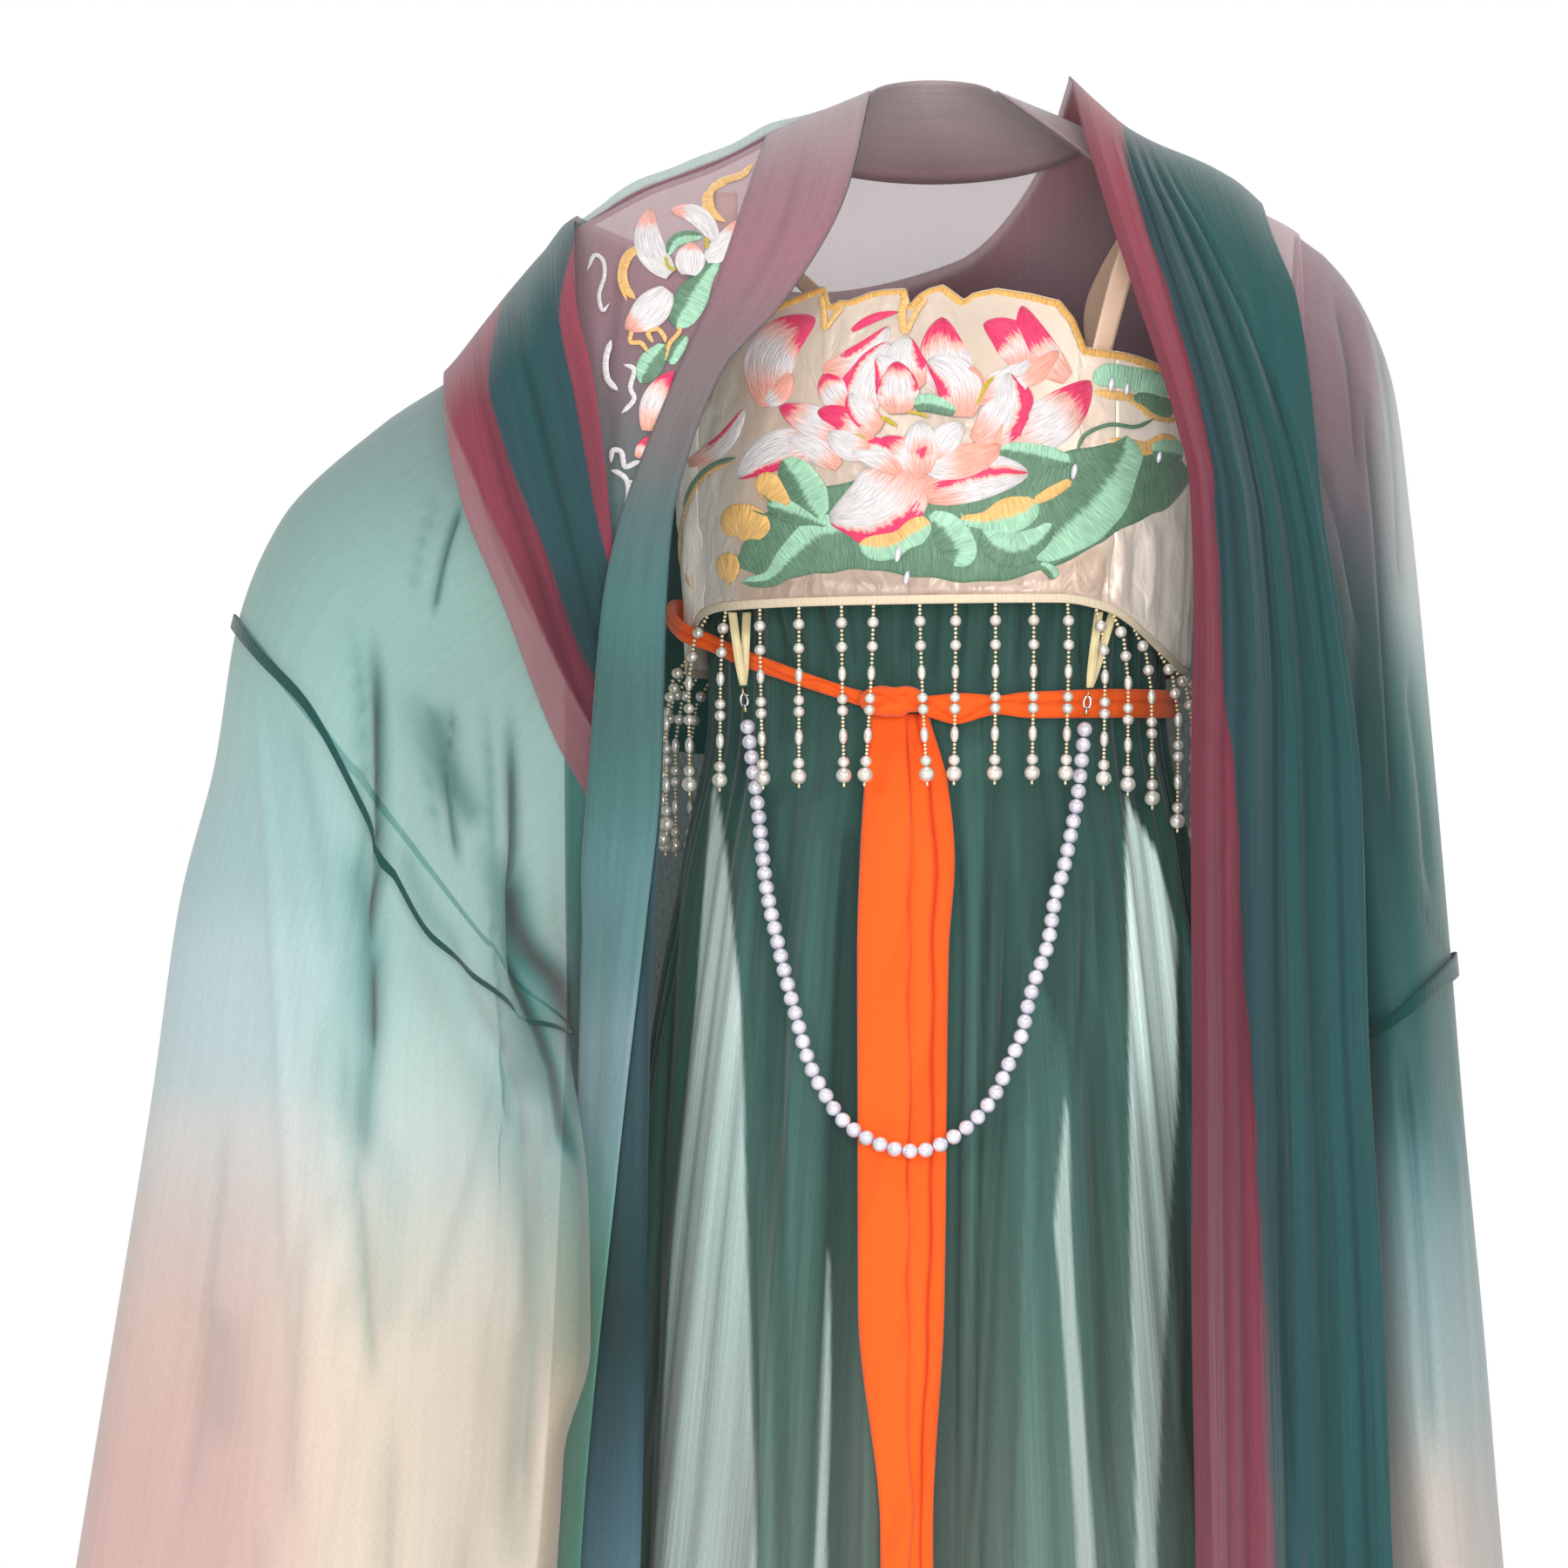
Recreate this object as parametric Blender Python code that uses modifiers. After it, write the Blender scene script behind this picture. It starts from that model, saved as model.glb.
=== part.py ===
"""A worn hanfu set: satin bodice with a bead fringe, gathered skirt, tied sash, pearl swag,
sheer robe with wide hanging sleeves, and a long shawl over both shoulders.

Metres, +Z up. The origin is the middle of the base of the neck, where the wearer's shoulders hold
the set. +X is the wearer's left and -Y the front. Every cloth piece is a thin wall on an open grid
of points, and each row of a grid is one section of the garment.
"""

import math

import bmesh
import bpy
from mathutils import Vector

# ---- Driving dimensions -------------------------------------------------------------------------
WALL = 0.0012              # thickness of every cloth wall
SEAM = 0.0005              # half of the gap where two walls meet edge to edge
LAY = 0.0020               # from one wall's middle to the middle of the wall that lies on it
BODY_X = -0.012            # middle of the torso
TURN = math.radians(-14)   # the torso is turned towards the wearer's right
ROBE_X = -0.0135           # middle of the robe
ROBE_POWER = 2.4           # squareness of the robe's sections, 2 being an ellipse
ARMHOLE = 0.1985           # from the robe's middle to each armhole
UNDERARM_Z = -0.420
ROBE_HEM_Z = -1.370
SKIRT_TOP_Z = -0.180
SKIRT_HEM_Z = -1.449
SLEEVE_HEM_Z = -1.150
WAIST_Z = -0.269
SHAWL_HEM_Z = -1.020
TAIL_END_Z = -0.980
SHOULDER_ROLL = 0.070      # height in which the robe rounds over the shoulder
SHAWL_ROLL = 0.060
SHAWL_LIFT = 0.010         # the shawl's ridge above the robe's
PEARL = 0.008              # pearls of the swag
TAPE = 0.0048              # height of the binding tape that carries the bead fringe
STRAND = 0.098             # length of a bead strand

# Sections of the skirt: height, half width, half depth, fold depth.
SKIRT_FORM = (
    (-0.170, 0.129, 0.1005, 0.0010),
    (-0.269, 0.124, 0.0980, 0.0012),
    (-0.360, 0.140, 0.1160, 0.0032),
    (-0.500, 0.161, 0.1430, 0.0056),
    (-0.708, 0.189, 0.1750, 0.0080),
    (-1.000, 0.234, 0.2190, 0.0110),
    (-1.250, 0.270, 0.2560, 0.0135),
    (-1.449, 0.300, 0.2840, 0.0160),
)
# Sections of the bodice: height, half width, half depth.
BODICE_FORM = (
    (-0.040, 0.1385, 0.0960),
    (-0.090, 0.1415, 0.1100),
    (-0.130, 0.1425, 0.1170),
    (-0.170, 0.1415, 0.1185),
    (-0.212, 0.1385, 0.1165),
    (-0.256, 0.1365, 0.1130),
)
# Top edge of the bodice, scalloped over the bust: angle from the front, height.
BODICE_TOP = (
    (-180, -0.104), (-100, -0.103), (-63, -0.101), (-56, -0.078), (-45, -0.057), (-31, -0.046),
    (-24, -0.053), (-12, -0.046), (-5, -0.052), (1, -0.046), (7, -0.052), (16, -0.046),
    (30, -0.051), (39, -0.073), (47, -0.076), (62, -0.082), (100, -0.100), (180, -0.104),
)
# Bottom edge of the bodice: angle from the front, height.
BODICE_HEM = (
    (-180, -0.250), (-85, -0.247), (-70, -0.238), (-56, -0.216), (-45, -0.212), (0, -0.209),
    (40, -0.208), (52, -0.212), (75, -0.236), (90, -0.246), (180, -0.250),
)
# The robe: height, half width where its shape would close, half depth.
ROBE_FORM = (
    (0.080, 0.262, 0.068),
    (0.000, 0.262, 0.090),
    (-0.054, 0.262, 0.110),
    (-0.100, 0.262, 0.125),
    (-0.150, 0.260, 0.132),
    (-0.250, 0.242, 0.137),
    (-0.350, 0.217, 0.145),
    (-0.420, 0.1985, 0.153),
    (-0.500, 0.2010, 0.167),
    (-0.708, 0.213, 0.204),
    (-1.000, 0.258, 0.249),
    (-1.200, 0.290, 0.281),
    (-1.370, 0.316, 0.306),
)
# Ridge of the shoulders: distance from the robe's middle, height.
RIDGE = (
    (0.000, 0.078), (0.0335, 0.062), (0.0815, 0.042), (0.120, 0.023), (0.1525, 0.011),
    (0.1775, -0.002), (0.1985, -0.014), (0.2115, -0.033), (0.2305, -0.056), (0.2425, -0.071),
    (0.2645, -0.098), (0.290, -0.118),
)
# Edges on the robe's fronts: height, then distances from the robe's middle: free edge of the
# panel, inner and outer edge of its collar band.
RIGHT_EDGES = (
    (0.062, 0.0335, 0.0335, 0.0815),
    (0.006, 0.0470, 0.0470, 0.1000),
    (-0.054, 0.0810, 0.0810, 0.1210),
    (-0.088, 0.1120, 0.1120, 0.1360),
    (-0.136, 0.1320, 0.1320, 0.1560),
    (-0.170, 0.1400, 0.1400, 0.1670),
    (-0.217, 0.1435, 0.1435, 0.1760),
    (-0.317, 0.1460, 0.1465, 0.1830),
    (-0.380, 0.1500, 0.1530, 0.1870),
    (-0.500, 0.1550, 0.1665, 0.1905),
    (-0.708, 0.1590, 0.1870, 0.1985),
    (-1.000, 0.1720, 0.2020, 0.2320),
    (-1.370, 0.1950, 0.2300, 0.2720),
)
LEFT_EDGES = (
    (0.062, 0.0335, 0.0335, 0.0815),
    (0.006, 0.0990, 0.0990, 0.1350),
    (-0.054, 0.1180, 0.1180, 0.1560),
    (-0.136, 0.1400, 0.1400, 0.1780),
    (-0.217, 0.1475, 0.1475, 0.1840),
    (-0.420, 0.1460, 0.1460, 0.1840),
    (-0.708, 0.1430, 0.1430, 0.1830),
    (-1.370, 0.1500, 0.1500, 0.1960),
)
# The sleeves, ring by ring: inner end (x, y, z), outer end (x, y, z), half depth. Ring 0 is the
# armhole, and the dark seam binding follows the ring named below each table.
RIGHT_SLEEVE = (
    (-0.2140, 0.000, -0.420, -0.2140, 0.000, -0.014, 0.080),
    (-0.2170, -0.003, -0.4215, -0.2620, 0.000, -0.082, 0.078),
    (-0.2195, -0.008, -0.4235, -0.3120, -0.002, -0.117, 0.082),
    (-0.2215, -0.016, -0.4280, -0.3660, -0.005, -0.168, 0.086),
    (-0.2225, -0.032, -0.4420, -0.3900, -0.010, -0.226, 0.090),
    (-0.2215, -0.060, -0.4600, -0.4020, -0.010, -0.300, 0.093),
    (-0.2170, -0.092, -0.4850, -0.4210, -0.010, -0.375, 0.095),
    (-0.2115, -0.116, -0.5300, -0.4360, -0.010, -0.480, 0.098),
    (-0.2100, -0.135, -0.610, -0.4570, -0.010, -0.610, 0.102),
    (-0.2160, -0.152, -0.740, -0.4780, -0.010, -0.740, 0.108),
    (-0.2400, -0.162, -0.870, -0.4990, -0.010, -0.870, 0.114),
    (-0.2640, -0.170, -1.010, -0.5200, -0.010, -1.010, 0.120),
    (-0.2900, -0.178, SLEEVE_HEM_Z, -0.5410, -0.010, SLEEVE_HEM_Z, 0.126),
)
RIGHT_BINDING = 4
LEFT_SLEEVE = (
    (0.1870, 0.000, -0.420, 0.1870, 0.000, -0.014, 0.080),
    (0.1920, 0.000, -0.424, 0.2140, 0.000, -0.045, 0.076),
    (0.1970, 0.006, -0.429, 0.2350, 0.006, -0.094, 0.080),
    (0.2000, 0.014, -0.436, 0.2450, 0.014, -0.165, 0.085),
    (0.2020, 0.022, -0.446, 0.2560, 0.022, -0.275, 0.089),
    (0.2040, 0.030, -0.460, 0.2680, 0.030, -0.411, 0.093),
    (0.2050, 0.036, -0.520, 0.2750, 0.036, -0.495, 0.097),
    (0.2080, 0.042, -0.610, 0.2860, 0.042, -0.610, 0.101),
    (0.2200, 0.046, -0.740, 0.2970, 0.046, -0.740, 0.105),
    (0.2400, 0.050, -0.870, 0.3110, 0.050, -0.870, 0.108),
    (0.2620, 0.052, -1.010, 0.3280, 0.052, -1.010, 0.111),
    (0.2850, 0.054, SLEEVE_HEM_Z, 0.3490, 0.054, SLEEVE_HEM_Z, 0.114),
)
LEFT_BINDING = 5
RIGHT_SAG = 0.029          # the right sleeve's binding sags this far in front
RIGHT_LIFT = 0.009         # and arches up by this much near its outer end
# Shawl over the wearer's left shoulder: height, distances of its two edges from the robe's middle.
SHAWL_LEFT_EDGES = (
    (0.070, 0.0720, 0.1680),
    (0.042, 0.0765, 0.1720),
    (0.000, 0.0890, 0.1790),
    (-0.043, 0.1035, 0.1940),
    (-0.119, 0.1280, 0.2040),
    (-0.153, 0.1355, 0.2070),
    (-0.217, 0.1375, 0.2170),
    (-0.307, 0.1362, 0.2280),
    (-0.444, 0.1368, 0.2320),
    (-0.581, 0.1360, 0.2395),
    (-0.708, 0.1375, 0.2440),
    (-1.020, 0.1400, 0.2560),
)
# Shawl over the right shoulder: share of its way down, outer edge (x, z), inner edge (x, z).
SHAWL_RIGHT_EDGES = (
    (0.00, -0.2780, -0.0885, -0.2080, -0.0030),
    (0.20, -0.2755, -0.1200, -0.2060, -0.0500),
    (0.40, -0.2670, -0.1600, -0.1970, -0.0900),
    (0.65, -0.2440, -0.2170, -0.1900, -0.1400),
    (0.85, -0.2180, -0.2850, -0.1860, -0.1800),
    (1.00, -0.1930, -0.3300, -0.1820, -0.2100),
)
# Shawl across the back: share of its way, upper edge (x, z), lower edge (x, z).
SHAWL_BACK_EDGES = (
    (0.00, -0.2080, -0.0030, -0.2780, -0.0885),
    (0.20, -0.1620, -0.0200, -0.2450, -0.2000),
    (0.45, -0.0800, -0.0420, -0.1400, -0.2950),
    (0.70, 0.0000, -0.0250, 0.0300, -0.2600),
    (0.88, 0.0450, 0.0250, 0.1200, -0.1300),
    (1.00, 0.0600, 0.0700, 0.1545, 0.0140),
)
# How far the shawl rises against the left of the neck: distance from the robe's middle, rise.
NECK_RISE = (
    (0.0735, 0.0165), (0.0871, 0.0098), (0.1078, 0.0035), (0.138, 0.0020), (0.160, 0.0000),
)
# Depth that the shawl keeps in front of or behind the shoulders: height, depth.
SHAWL_DEPTH = ((0.080, 0.070), (-0.040, 0.094), (-0.100, 0.102), (-0.300, 0.108), (-1.050, 0.110))
# The sash round the waist: angle from the front, height, distance out from the skirt, half height.
BELT = (
    (-180, -0.270, 0.0070, 0.0060), (-155, -0.266, 0.0210, 0.0058), (-120, -0.236, 0.0215, 0.0056),
    (-90, -0.2165, 0.0215, 0.0056), (-70, -0.2235, 0.0215, 0.0056), (-62, -0.2285, 0.0212, 0.0054),
    (-58, -0.2315, 0.0188, 0.0050), (-54, -0.2350, 0.0120, 0.0048), (-48, -0.2396, 0.0085, 0.0048),
    (-30, -0.2505, 0.0064, 0.0044), (-14, -0.2610, 0.0060, 0.0040), (-7, -0.2655, 0.0060, 0.0042),
    (7, -0.2690, 0.0060, 0.0050), (30, -0.2690, 0.0060, 0.0070), (60, -0.2680, 0.0060, 0.0078),
    (120, -0.2690, 0.0064, 0.0070), (180, -0.2700, 0.0070, 0.0060),
)
BELT_HALF_THICKNESS = 0.0026
KNOT = (-0.0361, -0.1108, -0.2668)      # middle of the knot
KNOT_HALF = (0.0178, 0.0076, 0.0086)    # its half sizes
# Tails of the sash: height, left edge, fold between the two tails, right edge.
TAILS = (
    (-0.2768, -0.0475, -0.0290, -0.0165),
    (-0.311, -0.0510, -0.0270, -0.0070),
    (-0.352, -0.0535, -0.0270, -0.0033),
    (-0.400, -0.0550, -0.0275, -0.0066),
    (-0.589, -0.0547, -0.0285, -0.0094),
    (-0.708, -0.0430, -0.0270, -0.0156),
    (-0.980, -0.0420, -0.0250, -0.0120),
)
# The bead strands in front: x of each.
FRONT_STRANDS = (
    -0.1360, -0.1260, -0.1075, -0.0868, -0.0637, -0.0467, -0.0217, -0.0028, 0.0189, 0.0392,
    0.0575, 0.0731, 0.0825, 0.0939, 0.1080, 0.1165,
)
SIDE_STRANDS = (-104, -95, -86, -77, -68, 91, 100, 109)    # angles of those round the sides
# A bead strand: drop from the tape, half thickness, share of the full step outwards.
STRAND_FORM = (
    (0.0000, 0.0007, 0.0), (0.0130, 0.0024, 0.7), (0.0350, 0.0010, 1.0), (0.0570, 0.0026, 1.0),
    (0.0925, 0.0038, 1.0), (STRAND, 0.0008, 1.0),
)
STRAND_STEP_OUT = 0.0125
# Route of the pearl swag from one clasp to the other: x, height.
CHAIN = (
    (-0.1144, -0.2765), (-0.1085, -0.3226), (-0.1052, -0.3557), (-0.1028, -0.3722),
    (-0.0995, -0.3882), (-0.0939, -0.4123), (-0.0877, -0.4363), (-0.0807, -0.4604),
    (-0.0731, -0.4755), (-0.0637, -0.4896), (-0.0509, -0.4995), (-0.0344, -0.5057),
    (-0.0179, -0.5057), (-0.0028, -0.4981), (0.0090, -0.4882), (0.0184, -0.4755),
    (0.0255, -0.4599), (0.0321, -0.4453), (0.0358, -0.4288), (0.0401, -0.4137),
    (0.0462, -0.3972), (0.0505, -0.3722), (0.0552, -0.3561), (0.0604, -0.3316),
    (0.0632, -0.3151), (0.0670, -0.2780),
)
CHAIN_OUT = 0.0165                      # middle of the pearls from the skirt's mean surface
CLASP_LENGTH = 0.0160
RIBBON_TOP_Z = -0.2190
RIBBON_WIDTH = 0.0046
STRAP_WIDTH = 0.0120

COLLECTION = "hanfu_robe"


# ---- Numbers ------------------------------------------------------------------------------------
def look(table, key):
    """The row of a table at a key of its first column, smooth and with no overshoot."""
    rows = table if table[-1][0] > table[0][0] else table[::-1]
    key = min(max(key, rows[0][0]), rows[-1][0])
    low = max(i for i in range(len(rows) - 1) if rows[i][0] <= key)
    span = rows[low + 1][0] - rows[low][0]
    t = (key - rows[low][0]) / span

    def slope(i, column):
        return (rows[i + 1][column] - rows[i][column]) / (rows[i + 1][0] - rows[i][0])

    def tangent(i, column):
        if i == 0:
            return slope(0, column)
        if i == len(rows) - 1:
            return slope(i - 1, column)
        before, after = slope(i - 1, column), slope(i, column)
        return 2 * before * after / (before + after) if before * after > 0 else 0.0

    found = []
    for column in range(1, len(rows[0])):
        start, end = rows[low][column], rows[low + 1][column]
        leave, arrive = tangent(low, column) * span, tangent(low + 1, column) * span
        found.append(
            start * (2 * t**3 - 3 * t**2 + 1) + leave * (t**3 - 2 * t**2 + t)
            + end * (3 * t**2 - 2 * t**3) + arrive * (t**3 - t**2)
        )
    return found


def ease(t):
    """0 to 1 with flat ends."""
    t = min(max(t, 0.0), 1.0)
    return t * t * (3 - 2 * t)


def span(first, last, count):
    """Evenly spaced values from first to last."""
    return [first + (last - first) * i / (count - 1) for i in range(count)]


def roll(drop, height):
    """Quarter of an ellipse: 0 at the ridge, 1 once the drop has reached the height."""
    t = min(max(drop / height, 0.0), 1.0)
    return math.sqrt(1 - (1 - t) ** 2)


def larger(first, second):
    """The larger of two depths, with a soft step between them."""
    return (first + second + math.sqrt((first - second) ** 2 + 0.006**2)) / 2


# ---- Forms --------------------------------------------------------------------------------------
def turned(half_width, half_depth, angle, z):
    """A point of a torso section. The angle runs from the front towards the wearer's left."""
    across = half_width * math.sin(math.radians(angle))
    deep = -half_depth * math.cos(math.radians(angle))
    x = BODY_X + across * math.cos(TURN) - deep * math.sin(TURN)
    y = across * math.sin(TURN) + deep * math.cos(TURN)
    return Vector((x, y, z))


def front_depth(half_width, half_depth, x):
    """How far in front of y = 0 a torso section passes at x."""
    along = math.cos(TURN), math.sin(TURN)
    wide, deep = 1 / half_width**2, 1 / half_depth**2
    x = x - BODY_X
    a = along[0] ** 2 * wide + along[1] ** 2 * deep
    b = along[0] * along[1] * (wide - deep)
    c = along[1] ** 2 * wide + along[0] ** 2 * deep
    inside = max(b * b * x * x - c * (a * x * x - 1), 0.0)
    return (b * x + math.sqrt(inside)) / c


def skirt_wave(angle):
    """Uneven gathers of the skirt, between -1 and 1."""
    a = math.radians(angle)
    return math.sin(16 * a + 1.4 * math.sin(3 * a + 0.5)) * (0.72 + 0.28 * math.sin(5 * a + 1.1))


def skirt_point(angle, z, out=0.0):
    half_width, half_depth, fold = look(SKIRT_FORM, z)
    step = out + fold * skirt_wave(angle)
    return turned(half_width + step, half_depth + step, angle, z)


def skirt_front_depth(x, z, out):
    """Depth of what hangs in front of the skirt, clear of its folds."""
    half_width, half_depth, fold = look(SKIRT_FORM, z)
    return front_depth(half_width + fold + out, half_depth + fold + out, x)


def bodice_point(angle, z, out=0.0):
    half_width, half_depth = look(BODICE_FORM, z)
    return turned(half_width + out, half_depth + out, angle, z)


def robe_wave(away, z):
    """Long soft folds of the robe's panels, still at the shoulders and at the side seams."""
    half_width, _ = look(ROBE_FORM, z)
    still = ease((-0.25 - z) / 0.5) * ease((1 - away / half_width) / 0.15)
    return 0.0075 * still * math.sin(math.radians(20) + 62 * away)


def robe_depth(away, z):
    """Half depth of the robe at a distance from its middle."""
    half_width, half_depth = look(ROBE_FORM, z)
    share = min(away / half_width, 1.0)
    shape = (1 - share**ROBE_POWER) ** (1 / ROBE_POWER)
    return half_depth * shape * roll(look(RIDGE, away)[0] - z, SHOULDER_ROLL) + robe_wave(away, z)


def drop_to(top, bottom, share):
    return top + (bottom - top) * share


def edge_at(table, column, share, bottom, lift=0.0):
    """Distance from the middle of an edge given by height, at a share of the way down."""
    z = 0.0
    for _ in range(12):
        away = look(table, z)[column]
        z = drop_to(look(RIDGE, away)[0] + lift, bottom, share)
    return away


def side_edge(share):
    """Distance from the middle of the armhole, or of the side seam below it."""
    z = drop_to(look(RIDGE, ARMHOLE)[0], ROBE_HEM_Z, share)
    if z > UNDERARM_Z:
        return ARMHOLE
    return look(ROBE_FORM, z)[0]


def sleeve_point(table, place, turn, out=0.0):
    """A point of a sleeve. Place is the ring, turn runs from the outer end round the front."""
    rows = [(i, *row) for i, row in enumerate(table)]
    *ends, half_depth = look(rows, place)
    inner, outer = Vector(ends[:3]), Vector(ends[3:])
    reach = (outer - inner) / 2
    middle = (outer + inner) / 2
    c, s = math.cos(turn), math.sin(turn)
    along = math.copysign(abs(c) ** (2 / ROBE_POWER), c)
    deep = math.copysign(abs(s) ** (2 / ROBE_POWER), s)
    armhole_z = (table[0][2] + table[0][5]) / 2 + along * (table[0][5] - table[0][2]) / 2
    armhole = math.copysign(robe_depth(ARMHOLE, armhole_z), deep) if abs(deep) > 1e-6 else 0.0
    still = ease(1 - place / 3)
    fold = 0.13 * ease((place - 3) / 5) * math.sin(5 * turn + 0.9 * math.sin(2 * turn))
    depth = (1 - still) * half_depth * deep * (1 + fold) + still * armhole
    point = middle + reach * along * (1 + out / reach.length)
    point.y -= depth * (1 + out / half_depth)
    if table is RIGHT_SLEEVE:
        near_binding = math.exp(-((place - RIGHT_BINDING) / 1.3) ** 2) * ease(s / 0.5)
        sag = RIGHT_SAG * math.exp(-((along + 0.30) / 0.42) ** 2)
        lift = RIGHT_LIFT * math.exp(-((along - 0.50) / 0.25) ** 2)
        point.z -= (sag - lift) * near_binding
    return point


def shawl_ridge(x):
    """Height of the shawl's fold over the shoulder."""
    away = abs(x - ROBE_X)
    rise = look(NECK_RISE, away)[0] if x > ROBE_X else 0.0
    return look(RIDGE, away)[0] + SHAWL_LIFT + rise


def shawl_depth(x, z):
    """Half depth of the shawl, outside both the robe and the shoulder."""
    away, ridge = abs(x - ROBE_X), shawl_ridge(x)
    own = look(SHAWL_DEPTH, z)[0] * roll(ridge - z, SHAWL_ROLL)
    return larger(robe_depth(away, z) + 0.0075 * roll(ridge - z, 0.03), own)


# ---- Objects ------------------------------------------------------------------------------------
def clear_scene():
    for thing in list(bpy.data.objects):
        bpy.data.objects.remove(thing, do_unlink=True)


def material(name, colour, roughness, metallic=0.0):
    made = bpy.data.materials.new(name)
    made.use_nodes = True
    shader = made.node_tree.nodes["Principled BSDF"]
    shader.inputs["Base Color"].default_value = (*colour, 1.0)
    shader.inputs["Roughness"].default_value = roughness
    shader.inputs["Metallic"].default_value = metallic
    return made


def add(name, mesh, look_of):
    made = bpy.data.objects.new(name, mesh)
    bpy.data.collections[COLLECTION].objects.link(made)
    mesh.materials.clear()
    mesh.materials.append(material(name, *look_of))
    for polygon in mesh.polygons:
        polygon.use_smooth = True
    return made


def wall(name, look_of, rows, closed=False, thickness=WALL):
    """A thin closed wall round a grid of points. A closed one joins each row's ends."""
    bm = bmesh.new()
    grid = [[bm.verts.new(point) for point in row] for row in rows]
    across = len(rows[0])
    for upper, lower in zip(grid, grid[1:]):
        for i in range(across if closed else across - 1):
            j = (i + 1) % across
            bm.faces.new((upper[i], lower[i], lower[j], upper[j]))
    mesh = bpy.data.meshes.new(name)
    bm.to_mesh(mesh)
    bm.free()
    made = add(name, mesh, look_of)
    solid = made.modifiers.new("wall", "SOLIDIFY")
    solid.thickness = thickness
    solid.offset = 0.0
    return made


# ---- Bodice -------------------------------------------------------------------------------------
SATIN = ((0.86, 0.74, 0.62), 0.35)
PANEL_ANGLE = 54.0         # the front panel reaches this far to each side


def bodice_wall(name, angles, rows):
    grid = []
    for share in span(0, 1, rows):
        row = []
        for angle in angles:
            key = angle if angle <= 180 else angle - 360
            top = look(BODICE_TOP, key)[0]
            z = drop_to(top, look(BODICE_HEM, key)[0], share)
            row.append(bodice_point(angle, z))
        grid.append(row)
    return wall(name, SATIN, grid)


def make_bodice():
    gap = 0.25             # degrees, about 0.6 mm
    bodice_wall("bodice_front", span(-PANEL_ANGLE + gap, PANEL_ANGLE - gap, 27), 5)
    round_back = (
        *span(PANEL_ANGLE + gap, 90, 8), *span(102, 258, 10), *span(270, 360 - PANEL_ANGLE - gap, 8)
    )
    bodice_wall("bodice_back", round_back, 4)


def make_strap(name, side):
    """A shoulder strap from inside the bodice's front, over the shoulder, to inside its back."""
    lower_angle = 50.0 if side > 0 else -53.0
    front = bodice_point(lower_angle, -0.088, -0.004)
    back_angle = 180 - 0.7 * lower_angle
    back = bodice_point(back_angle, -0.112, -0.004)
    top_x = ROBE_X + side * 0.112
    lean = 0.014 if side > 0 else 0.0
    middle = (
        bodice_point(lower_angle, -0.042, -0.007) + Vector((lean, 0, 0)),
        Vector((top_x, front.y * 0.45, -0.004)),
        Vector((top_x, 0.000, 0.009)),
        Vector((top_x, back.y * 0.4, -0.004)),
        bodice_point(back_angle, -0.055, -0.014),
    )
    grid = []
    ends = {0: (lower_angle, -0.088, 1), 6: (back_angle, -0.112, -1)}
    for i, point in enumerate((front, *middle, back)):
        half = Vector((STRAP_WIDTH / 2, 0, 0))
        if i in ends:
            angle, z, way = ends[i]
            half = bodice_point(angle + 1, z) - bodice_point(angle - 1, z)
            half *= way * STRAP_WIDTH / 2 / half.length
        grid.append([point - half, point, point + half])
    wall(name, SATIN, grid)


def strand_angles():
    """Angles of all bead strands, round the front and both sides."""
    half_width, half_depth = look(BODICE_FORM, BODICE_HEM[5][1])
    steps = [i * 0.25 for i in range(-400, 401)]
    found = []
    for x in FRONT_STRANDS:
        near = [a for a in steps if -80 <= a <= 80]
        found.append(min(near, key=lambda a: abs(turned(half_width, half_depth, a, 0).x - x)))
    return sorted((*found, *SIDE_STRANDS))


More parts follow.
